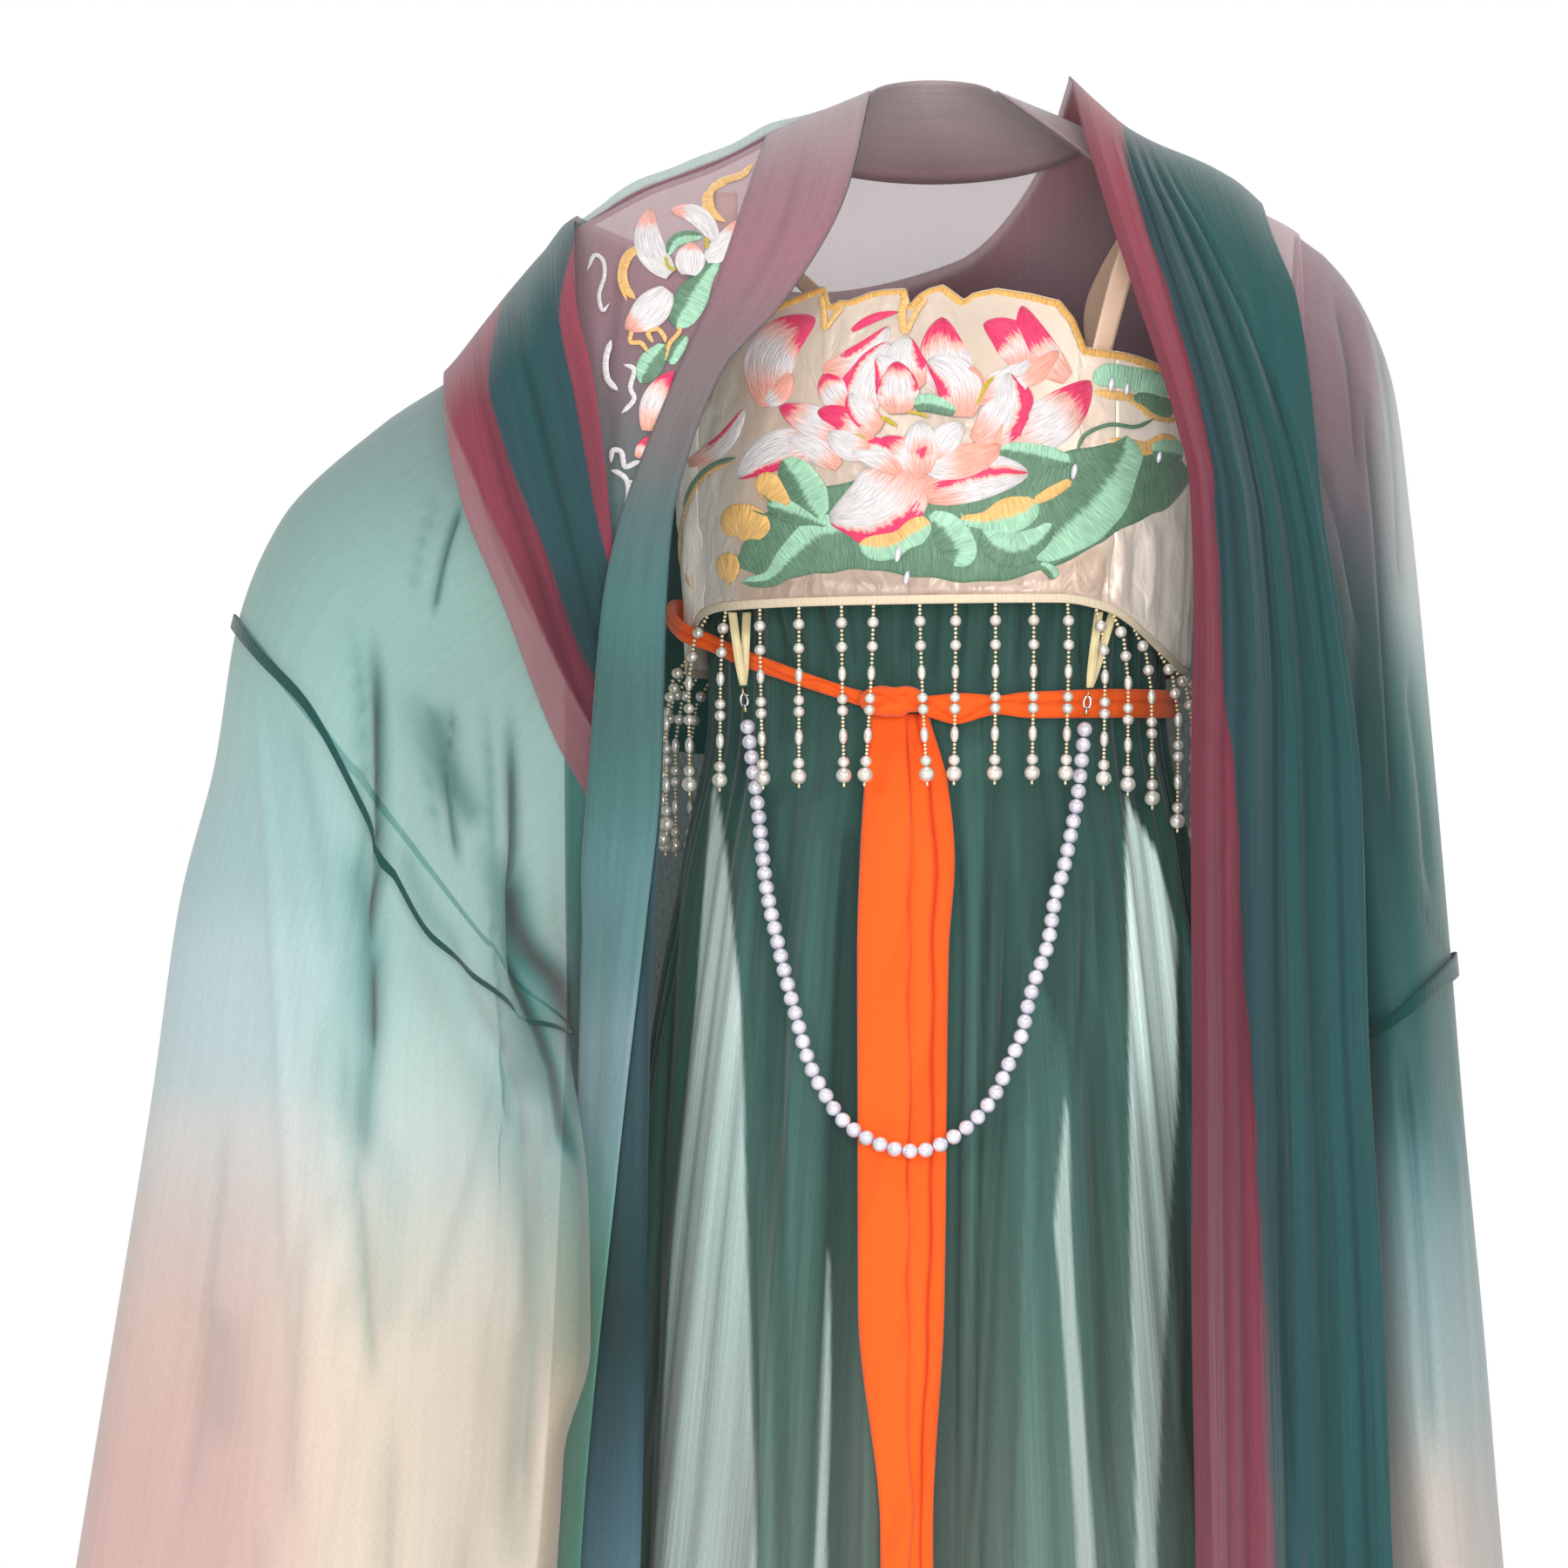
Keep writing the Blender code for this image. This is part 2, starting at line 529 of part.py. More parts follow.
def make_fringe():
    """The binding tape under the bodice's edge, with every bead strand grown out of it."""
    half_root = 0.45       # degrees, about 1 mm
    bm = bmesh.new()

    def post(angle):
        key = angle if angle <= 180 else angle - 360
        top = look(BODICE_HEM, key)[0] - 3 * SEAM
        inner = bodice_point(angle, top, -WALL / 2)
        outer = bodice_point(angle, top, WALL / 2)
        down = Vector((0, 0, -TAPE))
        return [bm.verts.new(p) for p in (outer, inner, inner + down, outer + down)]

    def strand(left, right, angle):
        """Rings of four points, from the tape's lower edge down to a point-like end."""
        root = (left[3], left[2], right[2], right[3])
        hang = sum((v.co for v in root), Vector()) / 4
        outwards = (bodice_point(angle, hang.z, 1.0) - bodice_point(angle, hang.z)).normalized()
        forward = ease((58 - abs(angle)) / 20)
        outwards = (outwards * (1 - forward) + Vector((0, -forward, 0))).normalized()
        sideways = outwards.cross(Vector((0, 0, 1))).normalized()
        ring = root
        for drop, half, share in STRAND_FORM[1:]:
            centre = hang + outwards * STRAND_STEP_OUT * share - Vector((0, 0, drop))
            corners = (
                centre + (outwards + sideways) * half, centre + (sideways - outwards) * half,
                centre - (outwards + sideways) * half, centre + (outwards - sideways) * half,
            )
            lower = [bm.verts.new(p) for p in corners]
            for i in range(4):
                bm.faces.new((ring[i], ring[(i + 1) % 4], lower[(i + 1) % 4], lower[i]))
            ring = lower
        bm.faces.new(ring)

    angles = strand_angles()
    marks = []
    for i, angle in enumerate(angles):
        marks.append((angle - half_root, None))
        marks.append((angle + half_root, angle))
        gap = (angles[i + 1] - angle) if i + 1 < len(angles) else 0
        if gap > 5:
            marks.append((angle + gap / 2, None))
        if gap > 12:
            marks.append((angle + gap / 4, None))
            marks.append((angle + 3 * gap / 4, None))
            marks.sort(key=lambda mark: mark[0])
    round_back = span(angles[-1] + 14, angles[0] + 360 - 14, 11)
    marks.extend((angle, None) for angle in round_back)
    posts = [post(angle) for angle, _ in marks]
    for i, (_, angle) in enumerate(marks):
        left, right = posts[i - 1], posts[i]
        for j in range(4):
            k = (j + 1) % 4
            if j == 2 and angle is not None:
                continue
            bm.faces.new((left[j], left[k], right[k], right[j]))
        if angle is not None:
            strand(left, right, angle)
    bmesh.ops.recalc_face_normals(bm, faces=bm.faces)
    mesh = bpy.data.meshes.new("bead_fringe")
    bm.to_mesh(mesh)
    bm.free()
    add("bead_fringe", mesh, ((0.88, 0.80, 0.66), 0.25))


# ---- Pearl swag ---------------------------------------------------------------------------------
def chain_route():
    """The swag hangs behind the bead strands, then in front of the skirt and the sash's tails."""
    half_width, half_depth, _ = look(SKIRT_FORM, WAIST_Z)
    route = []
    for x, z in CHAIN:
        behind_strands = front_depth(half_width + CHAIN_OUT, half_depth + CHAIN_OUT, x)
        on_skirt = skirt_front_depth(x, z, 0.0055 + 0.0075 * ease((-0.330 - z) / 0.08))
        route.append(Vector((x, -larger(behind_strands, on_skirt), z)))
    return route


def make_chain():
    curve = bpy.data.curves.new("pearl_chain", "CURVE")
    curve.dimensions = "3D"
    curve.bevel_depth = PEARL / 2
    curve.bevel_resolution = 2
    curve.use_fill_caps = True
    route = chain_route()
    line = curve.splines.new("POLY")
    line.points.add(len(route) - 1)
    for spot, point in zip(line.points, route):
        spot.co = (*point, 1.0)
    made = bpy.data.objects.new("pearl_chain", curve)
    bpy.data.collections[COLLECTION].objects.link(made)
    curve.materials.append(material("pearl_chain", (0.86, 0.84, 0.86), 0.2))


def make_clasp(name, end, beyond):
    """A turned clasp above one end of the pearls: ring end, barrel and bead cap."""
    profile = (
        (0.0000, 0.0000), (0.0016, 0.0006), (0.0019, 0.0022), (0.0011, 0.0034), (0.0011, 0.0062),
        (0.0020, 0.0072), (0.0020, 0.0130), (0.0010, 0.0140), (0.0024, CLASP_LENGTH - 0.0002),
        (0.0000, CLASP_LENGTH),
    )
    bm = bmesh.new()
    points = [bm.verts.new((radius, 0, -along)) for radius, along in profile]
    for upper, lower in zip(points, points[1:]):
        bm.edges.new((upper, lower))
    mesh = bpy.data.meshes.new(name)
    bm.to_mesh(mesh)
    bm.free()
    made = add(name, mesh, ((0.75, 0.74, 0.72), 0.25, 1.0))
    screw = made.modifiers.new("turn", "SCREW")
    screw.steps = 10
    screw.render_steps = 10
    screw.use_merge_vertices = True
    screw.merge_threshold = 0.0001
    axis = (end - beyond).normalized()
    made.location = end + axis * (CLASP_LENGTH + PEARL * 0.1)
    made.rotation_mode = "QUATERNION"
    made.rotation_quaternion = axis.to_track_quat("Z", "Y")
    return made.location.copy()


def make_ribbon(name, foot, lean):
    """A ribbon that comes down behind the tape, folds round the clasp's ring and goes up again."""
    out_leg, back_leg = 0.0016, -0.0016
    grid = []
    top_z = RIBBON_TOP_Z
    path = (
        (-0.0035, top_z, out_leg), (-0.0018, (top_z + foot.z) / 2, out_leg),
        (0.0000, foot.z + 0.0044, out_leg), (0.0004, foot.z + 0.0018, 0.0),
        (0.0008, foot.z + 0.0044, back_leg), (0.0024, (top_z + foot.z) / 2, back_leg),
        (0.0042, top_z, back_leg),
    )
    for across, z, deep in path:
        leaned = foot.x + lean * (z - foot.z)
        centre_x = leaned + across
        fullest = leaned - math.copysign(0.004, foot.x)
        row = []
        for side in (-1, 1):
            x = centre_x + side * RIBBON_WIDTH / 2
            out = 0.0080 + 0.0060 * ease((RIBBON_TOP_Z - z) / 0.014)
            half_width, half_depth, _ = look(SKIRT_FORM, WAIST_Z)
            inside = front_depth(half_width + out, half_depth + out, fullest)
            near_foot = ease((foot.z + 0.020 - z) / 0.015)
            row.append(Vector((x, -(drop_to(inside, -foot.y, near_foot) + deep), z)))
        grid.append(row)
    wall(name, ((0.88, 0.82, 0.62), 0.4), grid, thickness=0.0010)


def make_swag():
    make_chain()
    route = chain_route()
    left_foot = make_clasp("clasp_right", route[0], route[1])
    right_foot = make_clasp("clasp_left", route[-1], route[-2])
    make_ribbon("ribbon_right", left_foot, -0.05)
    make_ribbon("ribbon_left", right_foot, 0.22)


# ---- Skirt and sash -----------------------------------------------------------------------------
CHIFFON = ((0.05, 0.16, 0.13), 0.6)
SASH = ((0.85, 0.16, 0.02), 0.6)


def make_skirt():
    heights = (SKIRT_TOP_Z - 0.0125, -0.269, -0.360, -0.520, -0.720, -0.960, -1.200, SKIRT_HEM_Z)
    gap = 0.18             # degrees
    for name, first in (("skirt_front", -90), ("skirt_back", 90)):
        grid = [
            [skirt_point(angle, z) for angle in span(first + gap, first + 180 - gap, 36)]
            for z in heights
        ]
        wall(name, CHIFFON, grid)
    band = [
        [skirt_point(360 * i / 32, z, LAY / 2) for i in range(32)]
        for z in (SKIRT_TOP_Z, SKIRT_TOP_Z - 0.0115)
    ]
    wall("skirt_waistband", CHIFFON, band, closed=True)


def belt_section(angle):
    """Six points round the sash's flattened section at one angle."""
    z, out, half_height = look(BELT, angle)
    half_width, half_depth, _ = look(SKIRT_FORM, WAIST_Z)
    ring = []
    for i in range(6):
        a = math.radians(60 * i + 30)
        step = out + BELT_HALF_THICKNESS * math.cos(a)
        height = z + half_height * math.sin(a)
        ring.append(turned(half_width + step, half_depth + step, angle, height))
    return ring


def loft(name, look_of, sections):
    """A solid through closed sections of equal counts, capped at both ends."""
    bm = bmesh.new()
    rings = [[bm.verts.new(p) for p in section] for section in sections]
    count = len(sections[0])
    for upper, lower in zip(rings, rings[1:]):
        for i in range(count):
            j = (i + 1) % count
            bm.faces.new((upper[i], upper[j], lower[j], lower[i]))
    bm.faces.new(rings[0])
    bm.faces.new(rings[-1])
    bmesh.ops.recalc_face_normals(bm, faces=bm.faces)
    mesh = bpy.data.meshes.new(name)
    bm.to_mesh(mesh)
    bm.free()
    return add(name, mesh, look_of)


def make_sash():
    knot_side = 9.0        # degrees from the front where the belt goes into the knot
    gap = 0.2
    crossing = (-80, -72, -66, -63, -60.5, -58, -55.5, -53, -50, -45, -38, -28, -18)
    parts = (
        ("sash_belt_right", (-90 + gap, *crossing, -knot_side)),
        ("sash_belt_left", span(knot_side, 90 - gap, 12)),
    )
    for name, angles in parts:
        loft(name, SASH, [belt_section(angle) for angle in angles])
    back = []
    for angle in span(90 + gap, 270 - gap, 20):
        back.append(belt_section(angle if angle <= 180 else angle - 360))
    loft("sash_belt_back", SASH, back)

    mesh = bpy.data.meshes.new("sash_knot")
    bm = bmesh.new()
    bmesh.ops.create_uvsphere(bm, u_segments=14, v_segments=9, radius=1.0)
    for vert in bm.verts:
        x, y, z = vert.co
        pinch = 1 - 0.16 * math.exp(-((x - 0.30 + 0.25 * z) / 0.22) ** 2)
        vert.co = (x * KNOT_HALF[0], y * KNOT_HALF[1] * pinch, z * KNOT_HALF[2] * pinch)
    bm.to_mesh(mesh)
    bm.free()
    add("sash_knot", mesh, SASH).location = KNOT

    for name, first, last, out in (("sash_tail_right", 0, 1, 0.0066),
                                   ("sash_tail_left", 1, 2, 0.0038)):
        grid = []
        for z in span(TAILS[0][0], TAIL_END_Z, 13):
            edges = look(TAILS, z)
            low, high = edges[first], edges[last]
            if first:
                low -= 0.004
            row = []
            for share in span(0, 1, 5):
                x = drop_to(low, high, share)
                bulge = 0.0010 * math.sin(math.pi * share)
                depth = skirt_front_depth(x, z, out + bulge)
                clear_of_knot = ease((TAILS[0][0] + 0.03 - z) / 0.03)
                row.append(Vector((x, -drop_to(depth + 0.003, depth, clear_of_knot), z)))
            grid.append(row)
        wall(name, SASH, grid)


# ---- Robe ---------------------------------------------------------------------------------------
ORGANZA = ((0.30, 0.45, 0.42), 0.5)
BAND = ((0.28, 0.26, 0.28), 0.5)
DARK_GREEN = ((0.03, 0.12, 0.10), 0.6)
ROBE_SHARES = (0.0, 0.012, 0.03, 0.055, 0.09, 0.13, 0.18, 0.24, 0.298, 0.36, 0.46, 0.6, 0.78, 1.0)


def robe_front_point(side, away, z, out=0.0):
    """A point of a front, pushed out along the way that the section faces there."""
    step = 0.0015
    flat = robe_depth(away + step, z) - robe_depth(max(away - step, 0), z)
    above = min(z + step, look(RIDGE, away)[0])
    rise = robe_depth(away, above) - robe_depth(away, z - step)
    facing = Vector((-flat / (2 * step) * side, -1, -rise / (above - z + step)))
    facing.normalize()
    point = Vector((ROBE_X + side * away, -robe_depth(away, z) - SEAM, z))
    return point + facing * out


def even_aways(first, last, half_width, count):
    """Distances from the middle, evenly spaced round the section."""
    start = math.asin(min(first / half_width, 1.0))
    end = math.asin(min(last / half_width, 1.0))
    return [half_width * math.sin(a) for a in span(start, end, count)]


def robe_row(share, first, last, count):
    """Places of one row of a panel: distance from the middle, and height."""
    z = drop_to(look(RIDGE, last)[0], ROBE_HEM_Z, share)
    half_width = max(look(ROBE_FORM, z)[0], last)
    row = []
    for away in even_aways(first, last, half_width, count):
        row.append((away, drop_to(look(RIDGE, away)[0], ROBE_HEM_Z, share)))
    return row


def band_places(share, edges):
    """Places of the collar band's columns in one row, which the panel under it shares."""
    inner = edge_at(edges, 1, share, ROBE_HEM_Z)
    outer = edge_at(edges, 2, share, ROBE_HEM_Z)
    return robe_row(share, inner, outer, 4)


def make_robe_front(name, side, edges):
    """A front, from its free edge, under the collar band, to the armhole and the side seam."""
    grid = []
    for share in ROBE_SHARES:
        free = edge_at(edges, 0, share, ROBE_HEM_Z)
        band = band_places(share, edges)
        rest = robe_row(share, band[-1][0], side_edge(share), 8)[1:]
        first = robe_row(share, free - 0.0012, band[0][0], 2)[:1]
        grid.append([robe_front_point(side, away, z) for away, z in (*first, *band, *rest)])
    wall(name, ORGANZA, grid if side > 0 else [row[::-1] for row in grid])


def make_collar_band(name, side, edges, lift):
    """A band laid on the panel. Lift gives room for what is tucked under its outer edge."""
    grid = []
    for share in ROBE_SHARES:
        row = []
        for i, (away, z) in enumerate(band_places(share, edges)):
            tucked = lift * ease((0.13 - abs(z + 0.265)) / 0.05)
            row.append(robe_front_point(side, away, z, LAY + tucked * ease(i / 2)))
        grid.append(row)
    wall(name, BAND, grid if side > 0 else [row[::-1] for row in grid])


def neck_point(turn, share):
    """A point of the collar behind the neck. Share 0 is its free upper edge."""
    bend = math.cos(turn)
    inner = Vector((0.0335 * math.sin(turn), 0.057 * bend, 0.062 + 0.010 * bend))
    away = 0.0815 * abs(math.sin(turn))
    z = look(RIDGE, 0.0815)[0] - 0.020 * bend
    outer = Vector((math.copysign(away, turn), robe_depth(away, z), z))
    point = inner.lerp(outer, share)
    point.z += 0.004 * math.sin(math.pi * share) * bend
    point.x += ROBE_X
    point.y += SEAM
    return point


def make_collar_neck():
    turns = span(-math.pi / 2, math.pi / 2, 17)
    grid = [[neck_point(turn, share) for share in (0, 0.33, 0.66, 0.985)] for turn in turns]
    for row in (grid[0], grid[-1]):
        for i, point in enumerate(row):
            row[i] = point + Vector((0, 0, 0.0016))
    wall("collar_band_neck", BAND, grid)


def make_robe_back():
    """Both halves of the back. Its top follows the collar, then the ridge of the shoulders."""
    grid = []
    for share in ROBE_SHARES:
        side = side_edge(share)
        z_side = drop_to(look(RIDGE, side)[0], ROBE_HEM_Z, share)
        half_width = max(look(ROBE_FORM, z_side)[0], side)
        row = []
        for angle in span(-math.asin(side / half_width), math.asin(side / half_width), 21):
            x = half_width * math.sin(angle)
            away = abs(x)
            top = look(RIDGE, away)[0]
            if away < 0.0815:
                top = look(RIDGE, 0.0815)[0] - 0.020 * math.sqrt(1 - (away / 0.0815) ** 2) - 0.0012
            z = drop_to(top, ROBE_HEM_Z, share)
            row.append(Vector((ROBE_X + x, robe_depth(away, z) + SEAM, z)))
        grid.append(row)
    wall("robe_back", ORGANZA, grid)


def make_sleeve(name, table, binding):
    turns = [math.pi * 2 * i / 20 for i in range(20)]
    last = len(table) - 1
    step = 0.03            # share of a ring that the seam's half gap takes, under the binding
    stretches = (
        (name + "_upper", span(0, binding - step, 7)),
        (name + "_lower", span(binding + step, last, 9)),
    )
    for node, places in stretches:
        rows = [[sleeve_point(table, place, turn) for turn in turns] for place in places]
        wall(node, ORGANZA, rows, closed=True)
    half = 0.04            # share of a ring that half the binding's width takes
    rows = [
        [sleeve_point(table, place, turn, 2 * LAY) for turn in turns]
        for place in (binding - half, binding + half)
    ]
    wall(name + "_binding", DARK_GREEN, rows, closed=True)


# ---- Shawl --------------------------------------------------------------------------------------
TEAL = ((0.02, 0.12, 0.12), 0.6)


def make_shawl_left():
    grid = []
    for share in (0.0, 0.012, 0.03, 0.06, 0.1, 0.16, 0.24, 0.34, 0.46, 0.6, 0.78, 1.0):
        inner = edge_at(SHAWL_LEFT_EDGES, 0, share, SHAWL_HEM_Z, SHAWL_LIFT)
        outer = edge_at(SHAWL_LEFT_EDGES, 1, share, SHAWL_HEM_Z, SHAWL_LIFT)
        row = []
        for across in span(0, 1, 14):
            away = drop_to(inner, outer, across)
            x = ROBE_X + away
            z = drop_to(shawl_ridge(x), SHAWL_HEM_Z, share)
            fold = 0.0022 * (1 + math.sin(22 * across + 0.6)) * ease(share / 0.12)
            row.append(Vector((x, -shawl_depth(x, z) - fold - SEAM, z)))
        grid.append(row)
    wall("shawl_left", TEAL, grid)


def shawl_patch(name, edges, front, columns, rows):
    """A stretch between two edges given as places in front or behind."""
    grid = []
    for even in span(0, 1, rows):
        share = even if front else (1 - math.cos(math.pi * even)) / 2
        first_x, first_z, last_x, last_z = look(edges, share)
        row = []
        for across in span(0, 1, columns):
            x = drop_to(first_x, last_x, across)
            z = drop_to(first_z, last_z, across)
            ridge = shawl_ridge(x)
            on_ridge = share == 0 or (share == 1 and not front)
            z = ridge if on_ridge else min(z, ridge)
            depth = shawl_depth(x, z)
            if front:
                near_band = ease((share - 0.72) / 0.2)
                depth = drop_to(depth, robe_depth(abs(x - ROBE_X), z) + 0.0023, near_band)
            fold = 0.0020 * (1 + math.sin(20 * across + 0.6)) * math.sin(math.pi * share) ** 0.5
            if front:
                fold *= 1 - ease((share - 0.6) / 0.25)
            row.append(Vector((x, (depth + fold + SEAM) * (-1 if front else 1), z)))
        grid.append(row)
    wall(name, TEAL, grid)


def main():
    clear_scene()
    holder = bpy.data.collections.new(COLLECTION)
    bpy.context.scene.collection.children.link(holder)
    make_bodice()
    make_strap("strap_right", -1)
    make_strap("strap_left", 1)
    make_fringe()
    make_swag()
    make_skirt()
    make_sash()
    make_robe_back()
    make_robe_front("robe_front_right", -1, RIGHT_EDGES)
    make_robe_front("robe_front_left", 1, LEFT_EDGES)
    make_collar_band("collar_band_right", -1, RIGHT_EDGES, 0.0035)
    make_collar_band("collar_band_left", 1, LEFT_EDGES, 0.0)
    make_collar_neck()
    make_sleeve("sleeve_right", RIGHT_SLEEVE, RIGHT_BINDING)
    make_sleeve("sleeve_left", LEFT_SLEEVE, LEFT_BINDING)
    make_shawl_left()
    shawl_patch("shawl_right", SHAWL_RIGHT_EDGES, True, 10, 12)
    shawl_patch("shawl_back", SHAWL_BACK_EDGES, False, 13, 15)


main()
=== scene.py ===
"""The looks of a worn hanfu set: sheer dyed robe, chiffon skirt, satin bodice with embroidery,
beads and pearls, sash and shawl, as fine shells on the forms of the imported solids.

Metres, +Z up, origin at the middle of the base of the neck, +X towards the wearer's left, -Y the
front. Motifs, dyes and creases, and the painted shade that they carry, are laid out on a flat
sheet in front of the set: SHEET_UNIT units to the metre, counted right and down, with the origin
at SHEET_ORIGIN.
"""

import math

import bpy
import numpy as np
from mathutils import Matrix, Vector


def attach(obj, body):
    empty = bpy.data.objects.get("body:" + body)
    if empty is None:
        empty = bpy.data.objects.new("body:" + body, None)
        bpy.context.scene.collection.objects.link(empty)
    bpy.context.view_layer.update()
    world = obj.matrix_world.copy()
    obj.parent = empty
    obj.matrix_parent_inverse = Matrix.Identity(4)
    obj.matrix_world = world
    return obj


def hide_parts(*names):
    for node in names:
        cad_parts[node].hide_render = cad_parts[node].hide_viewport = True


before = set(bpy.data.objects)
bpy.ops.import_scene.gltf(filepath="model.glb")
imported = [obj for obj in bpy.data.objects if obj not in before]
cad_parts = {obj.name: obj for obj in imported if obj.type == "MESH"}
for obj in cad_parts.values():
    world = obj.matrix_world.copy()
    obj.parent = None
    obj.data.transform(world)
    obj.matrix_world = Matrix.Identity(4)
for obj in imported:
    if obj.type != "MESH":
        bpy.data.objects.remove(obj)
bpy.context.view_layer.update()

SHEET_UNIT = 2120.0
SHEET_ORIGIN = (1100.0, 240.0)

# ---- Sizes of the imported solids, repeated so that each shell keeps its solid's form ----------------
LAY = 0.0020               # distance of one cloth that lies on another
BODY_X = -0.012            # middle of the torso
TURN = math.radians(-14)   # the torso's turn about z
ROBE_X = -0.0135           # middle of the robe
ROBE_POWER = 2.4           # power of the robe's rounded section
ARMHOLE = 0.1985
UNDERARM_Z = -0.420
ROBE_HEM_Z = -1.370
SKIRT_TOP_Z = -0.180
SKIRT_HEM_Z = -1.449
SLEEVE_HEM_Z = -1.150
WAIST_Z = -0.269
SHAWL_HEM_Z = -1.020
TAIL_END_Z = -0.980
SHOULDER_ROLL = 0.070      # height over which the robe rounds from its ridge to its full depth
SHAWL_ROLL = 0.060         # the same for the shawl
SHAWL_LIFT = 0.010         # height of the shawl over the robe's ridge
RIDGE_MEET = 0.012         # height in which the shawl's stretches come together on the ridge
SOFT_STEP = 0.006          # softness of the step from one depth to a larger one
CLOTH_GAP = 0.0005         # gap between a shell and the form under it
COLLAR_IN = 0.0335         # edges of the collar at the neck, from the robe's middle
COLLAR_OUT = 0.0815
NECK_SCOOP = 0.020         # the back's neckline lies this much lower than its ends
ROBE_WAVE = (0.0075, 62, 20)        # the robe's folds: height, radians per metre, degrees at x = 0
ROBE_STILL = (-0.25, 0.5, 0.15)     # they begin here: height, softness; and fade towards the sides
SKIRT_FOLDS = 16           # folds round the skirt
SHAWL_LAY = (0.0075, 0.03) # the shawl lies this far over the robe, from so far under the ridge
PEARL = 0.008
TAPE = 0.0048
STRAND = 0.098

# Sections of the skirt: height, half width, half depth, fold depth.
SKIRT_FORM = (
    (-0.170, 0.129, 0.1005, 0.0010),
    (-0.269, 0.124, 0.0980, 0.0012),
    (-0.360, 0.140, 0.1160, 0.0032),
    (-0.500, 0.161, 0.1430, 0.0056),
    (-0.708, 0.189, 0.1750, 0.0080),
    (-1.000, 0.234, 0.2190, 0.0110),
    (-1.250, 0.270, 0.2560, 0.0135),
    (-1.449, 0.300, 0.2840, 0.0160),
)
# Sections of the bodice: height, half width, half depth.
BODICE_FORM = (
    (-0.040, 0.1385, 0.0960),
    (-0.090, 0.1415, 0.1100),
    (-0.130, 0.1425, 0.1170),
    (-0.170, 0.1415, 0.1185),
    (-0.212, 0.1385, 0.1165),
    (-0.256, 0.1365, 0.1130),
)
# Top edge of the bodice, scalloped over the bust: angle from the front, height.
BODICE_TOP = (
    (-180, -0.104), (-100, -0.103), (-63, -0.101), (-56, -0.078), (-45, -0.057), (-31, -0.046),
    (-24, -0.053), (-12, -0.046), (-5, -0.052), (1, -0.046), (7, -0.052), (16, -0.046),
    (30, -0.051), (39, -0.073), (47, -0.076), (62, -0.082), (100, -0.100), (180, -0.104),
)
# Bottom edge of the bodice: angle from the front, height.
BODICE_HEM = (
    (-180, -0.250), (-85, -0.247), (-70, -0.238), (-56, -0.216), (-45, -0.212), (0, -0.209),
    (40, -0.208), (52, -0.212), (75, -0.236), (90, -0.246), (180, -0.250),
)
# The robe: height, half width where its shape would close, half depth.
ROBE_FORM = (
    (0.080, 0.262, 0.068),
    (0.000, 0.262, 0.090),
    (-0.054, 0.262, 0.110),
    (-0.100, 0.262, 0.125),
    (-0.150, 0.260, 0.132),
    (-0.250, 0.242, 0.137),
    (-0.350, 0.217, 0.145),
    (-0.420, 0.1985, 0.153),
    (-0.500, 0.2010, 0.167),
    (-0.708, 0.213, 0.204),
    (-1.000, 0.258, 0.249),
    (-1.200, 0.290, 0.281),
    (-1.370, 0.316, 0.306),
)
# Ridge of the shoulders: distance from the robe's middle, height.
RIDGE = (
    (0.000, 0.078), (0.0335, 0.062), (0.0815, 0.042), (0.120, 0.023), (0.1525, 0.011),
    (0.1775, -0.002), (0.1985, -0.014), (0.2115, -0.033), (0.2305, -0.056), (0.2425, -0.071),
    (0.2645, -0.098), (0.290, -0.118),
)
# Edges on the robe's fronts: height, then distances from the robe's middle: free edge of the
# panel, inner and outer edge of its collar band.
RIGHT_EDGES = (
    (0.062, 0.0335, 0.0335, 0.0815),
    (0.006, 0.0470, 0.0470, 0.1000),
    (-0.054, 0.0810, 0.0810, 0.1210),
    (-0.088, 0.1120, 0.1120, 0.1360),
    (-0.136, 0.1320, 0.1320, 0.1560),
    (-0.170, 0.1400, 0.1400, 0.1670),
    (-0.217, 0.1435, 0.1435, 0.1760),
    (-0.317, 0.1460, 0.1465, 0.1830),
    (-0.380, 0.1500, 0.1530, 0.1870),
    (-0.500, 0.1550, 0.1665, 0.1905),
    (-0.708, 0.1590, 0.1870, 0.1985),
    (-1.000, 0.1720, 0.2020, 0.2320),
    (-1.370, 0.1950, 0.2300, 0.2720),
)
LEFT_EDGES = (
    (0.062, 0.0335, 0.0335, 0.0815),
    (0.006, 0.0990, 0.0990, 0.1350),
    (-0.054, 0.1180, 0.1180, 0.1560),
    (-0.136, 0.1400, 0.1400, 0.1780),
    (-0.217, 0.1475, 0.1475, 0.1840),
    (-0.420, 0.1460, 0.1460, 0.1840),
    (-0.708, 0.1430, 0.1430, 0.1830),
    (-1.370, 0.1500, 0.1500, 0.1960),
)
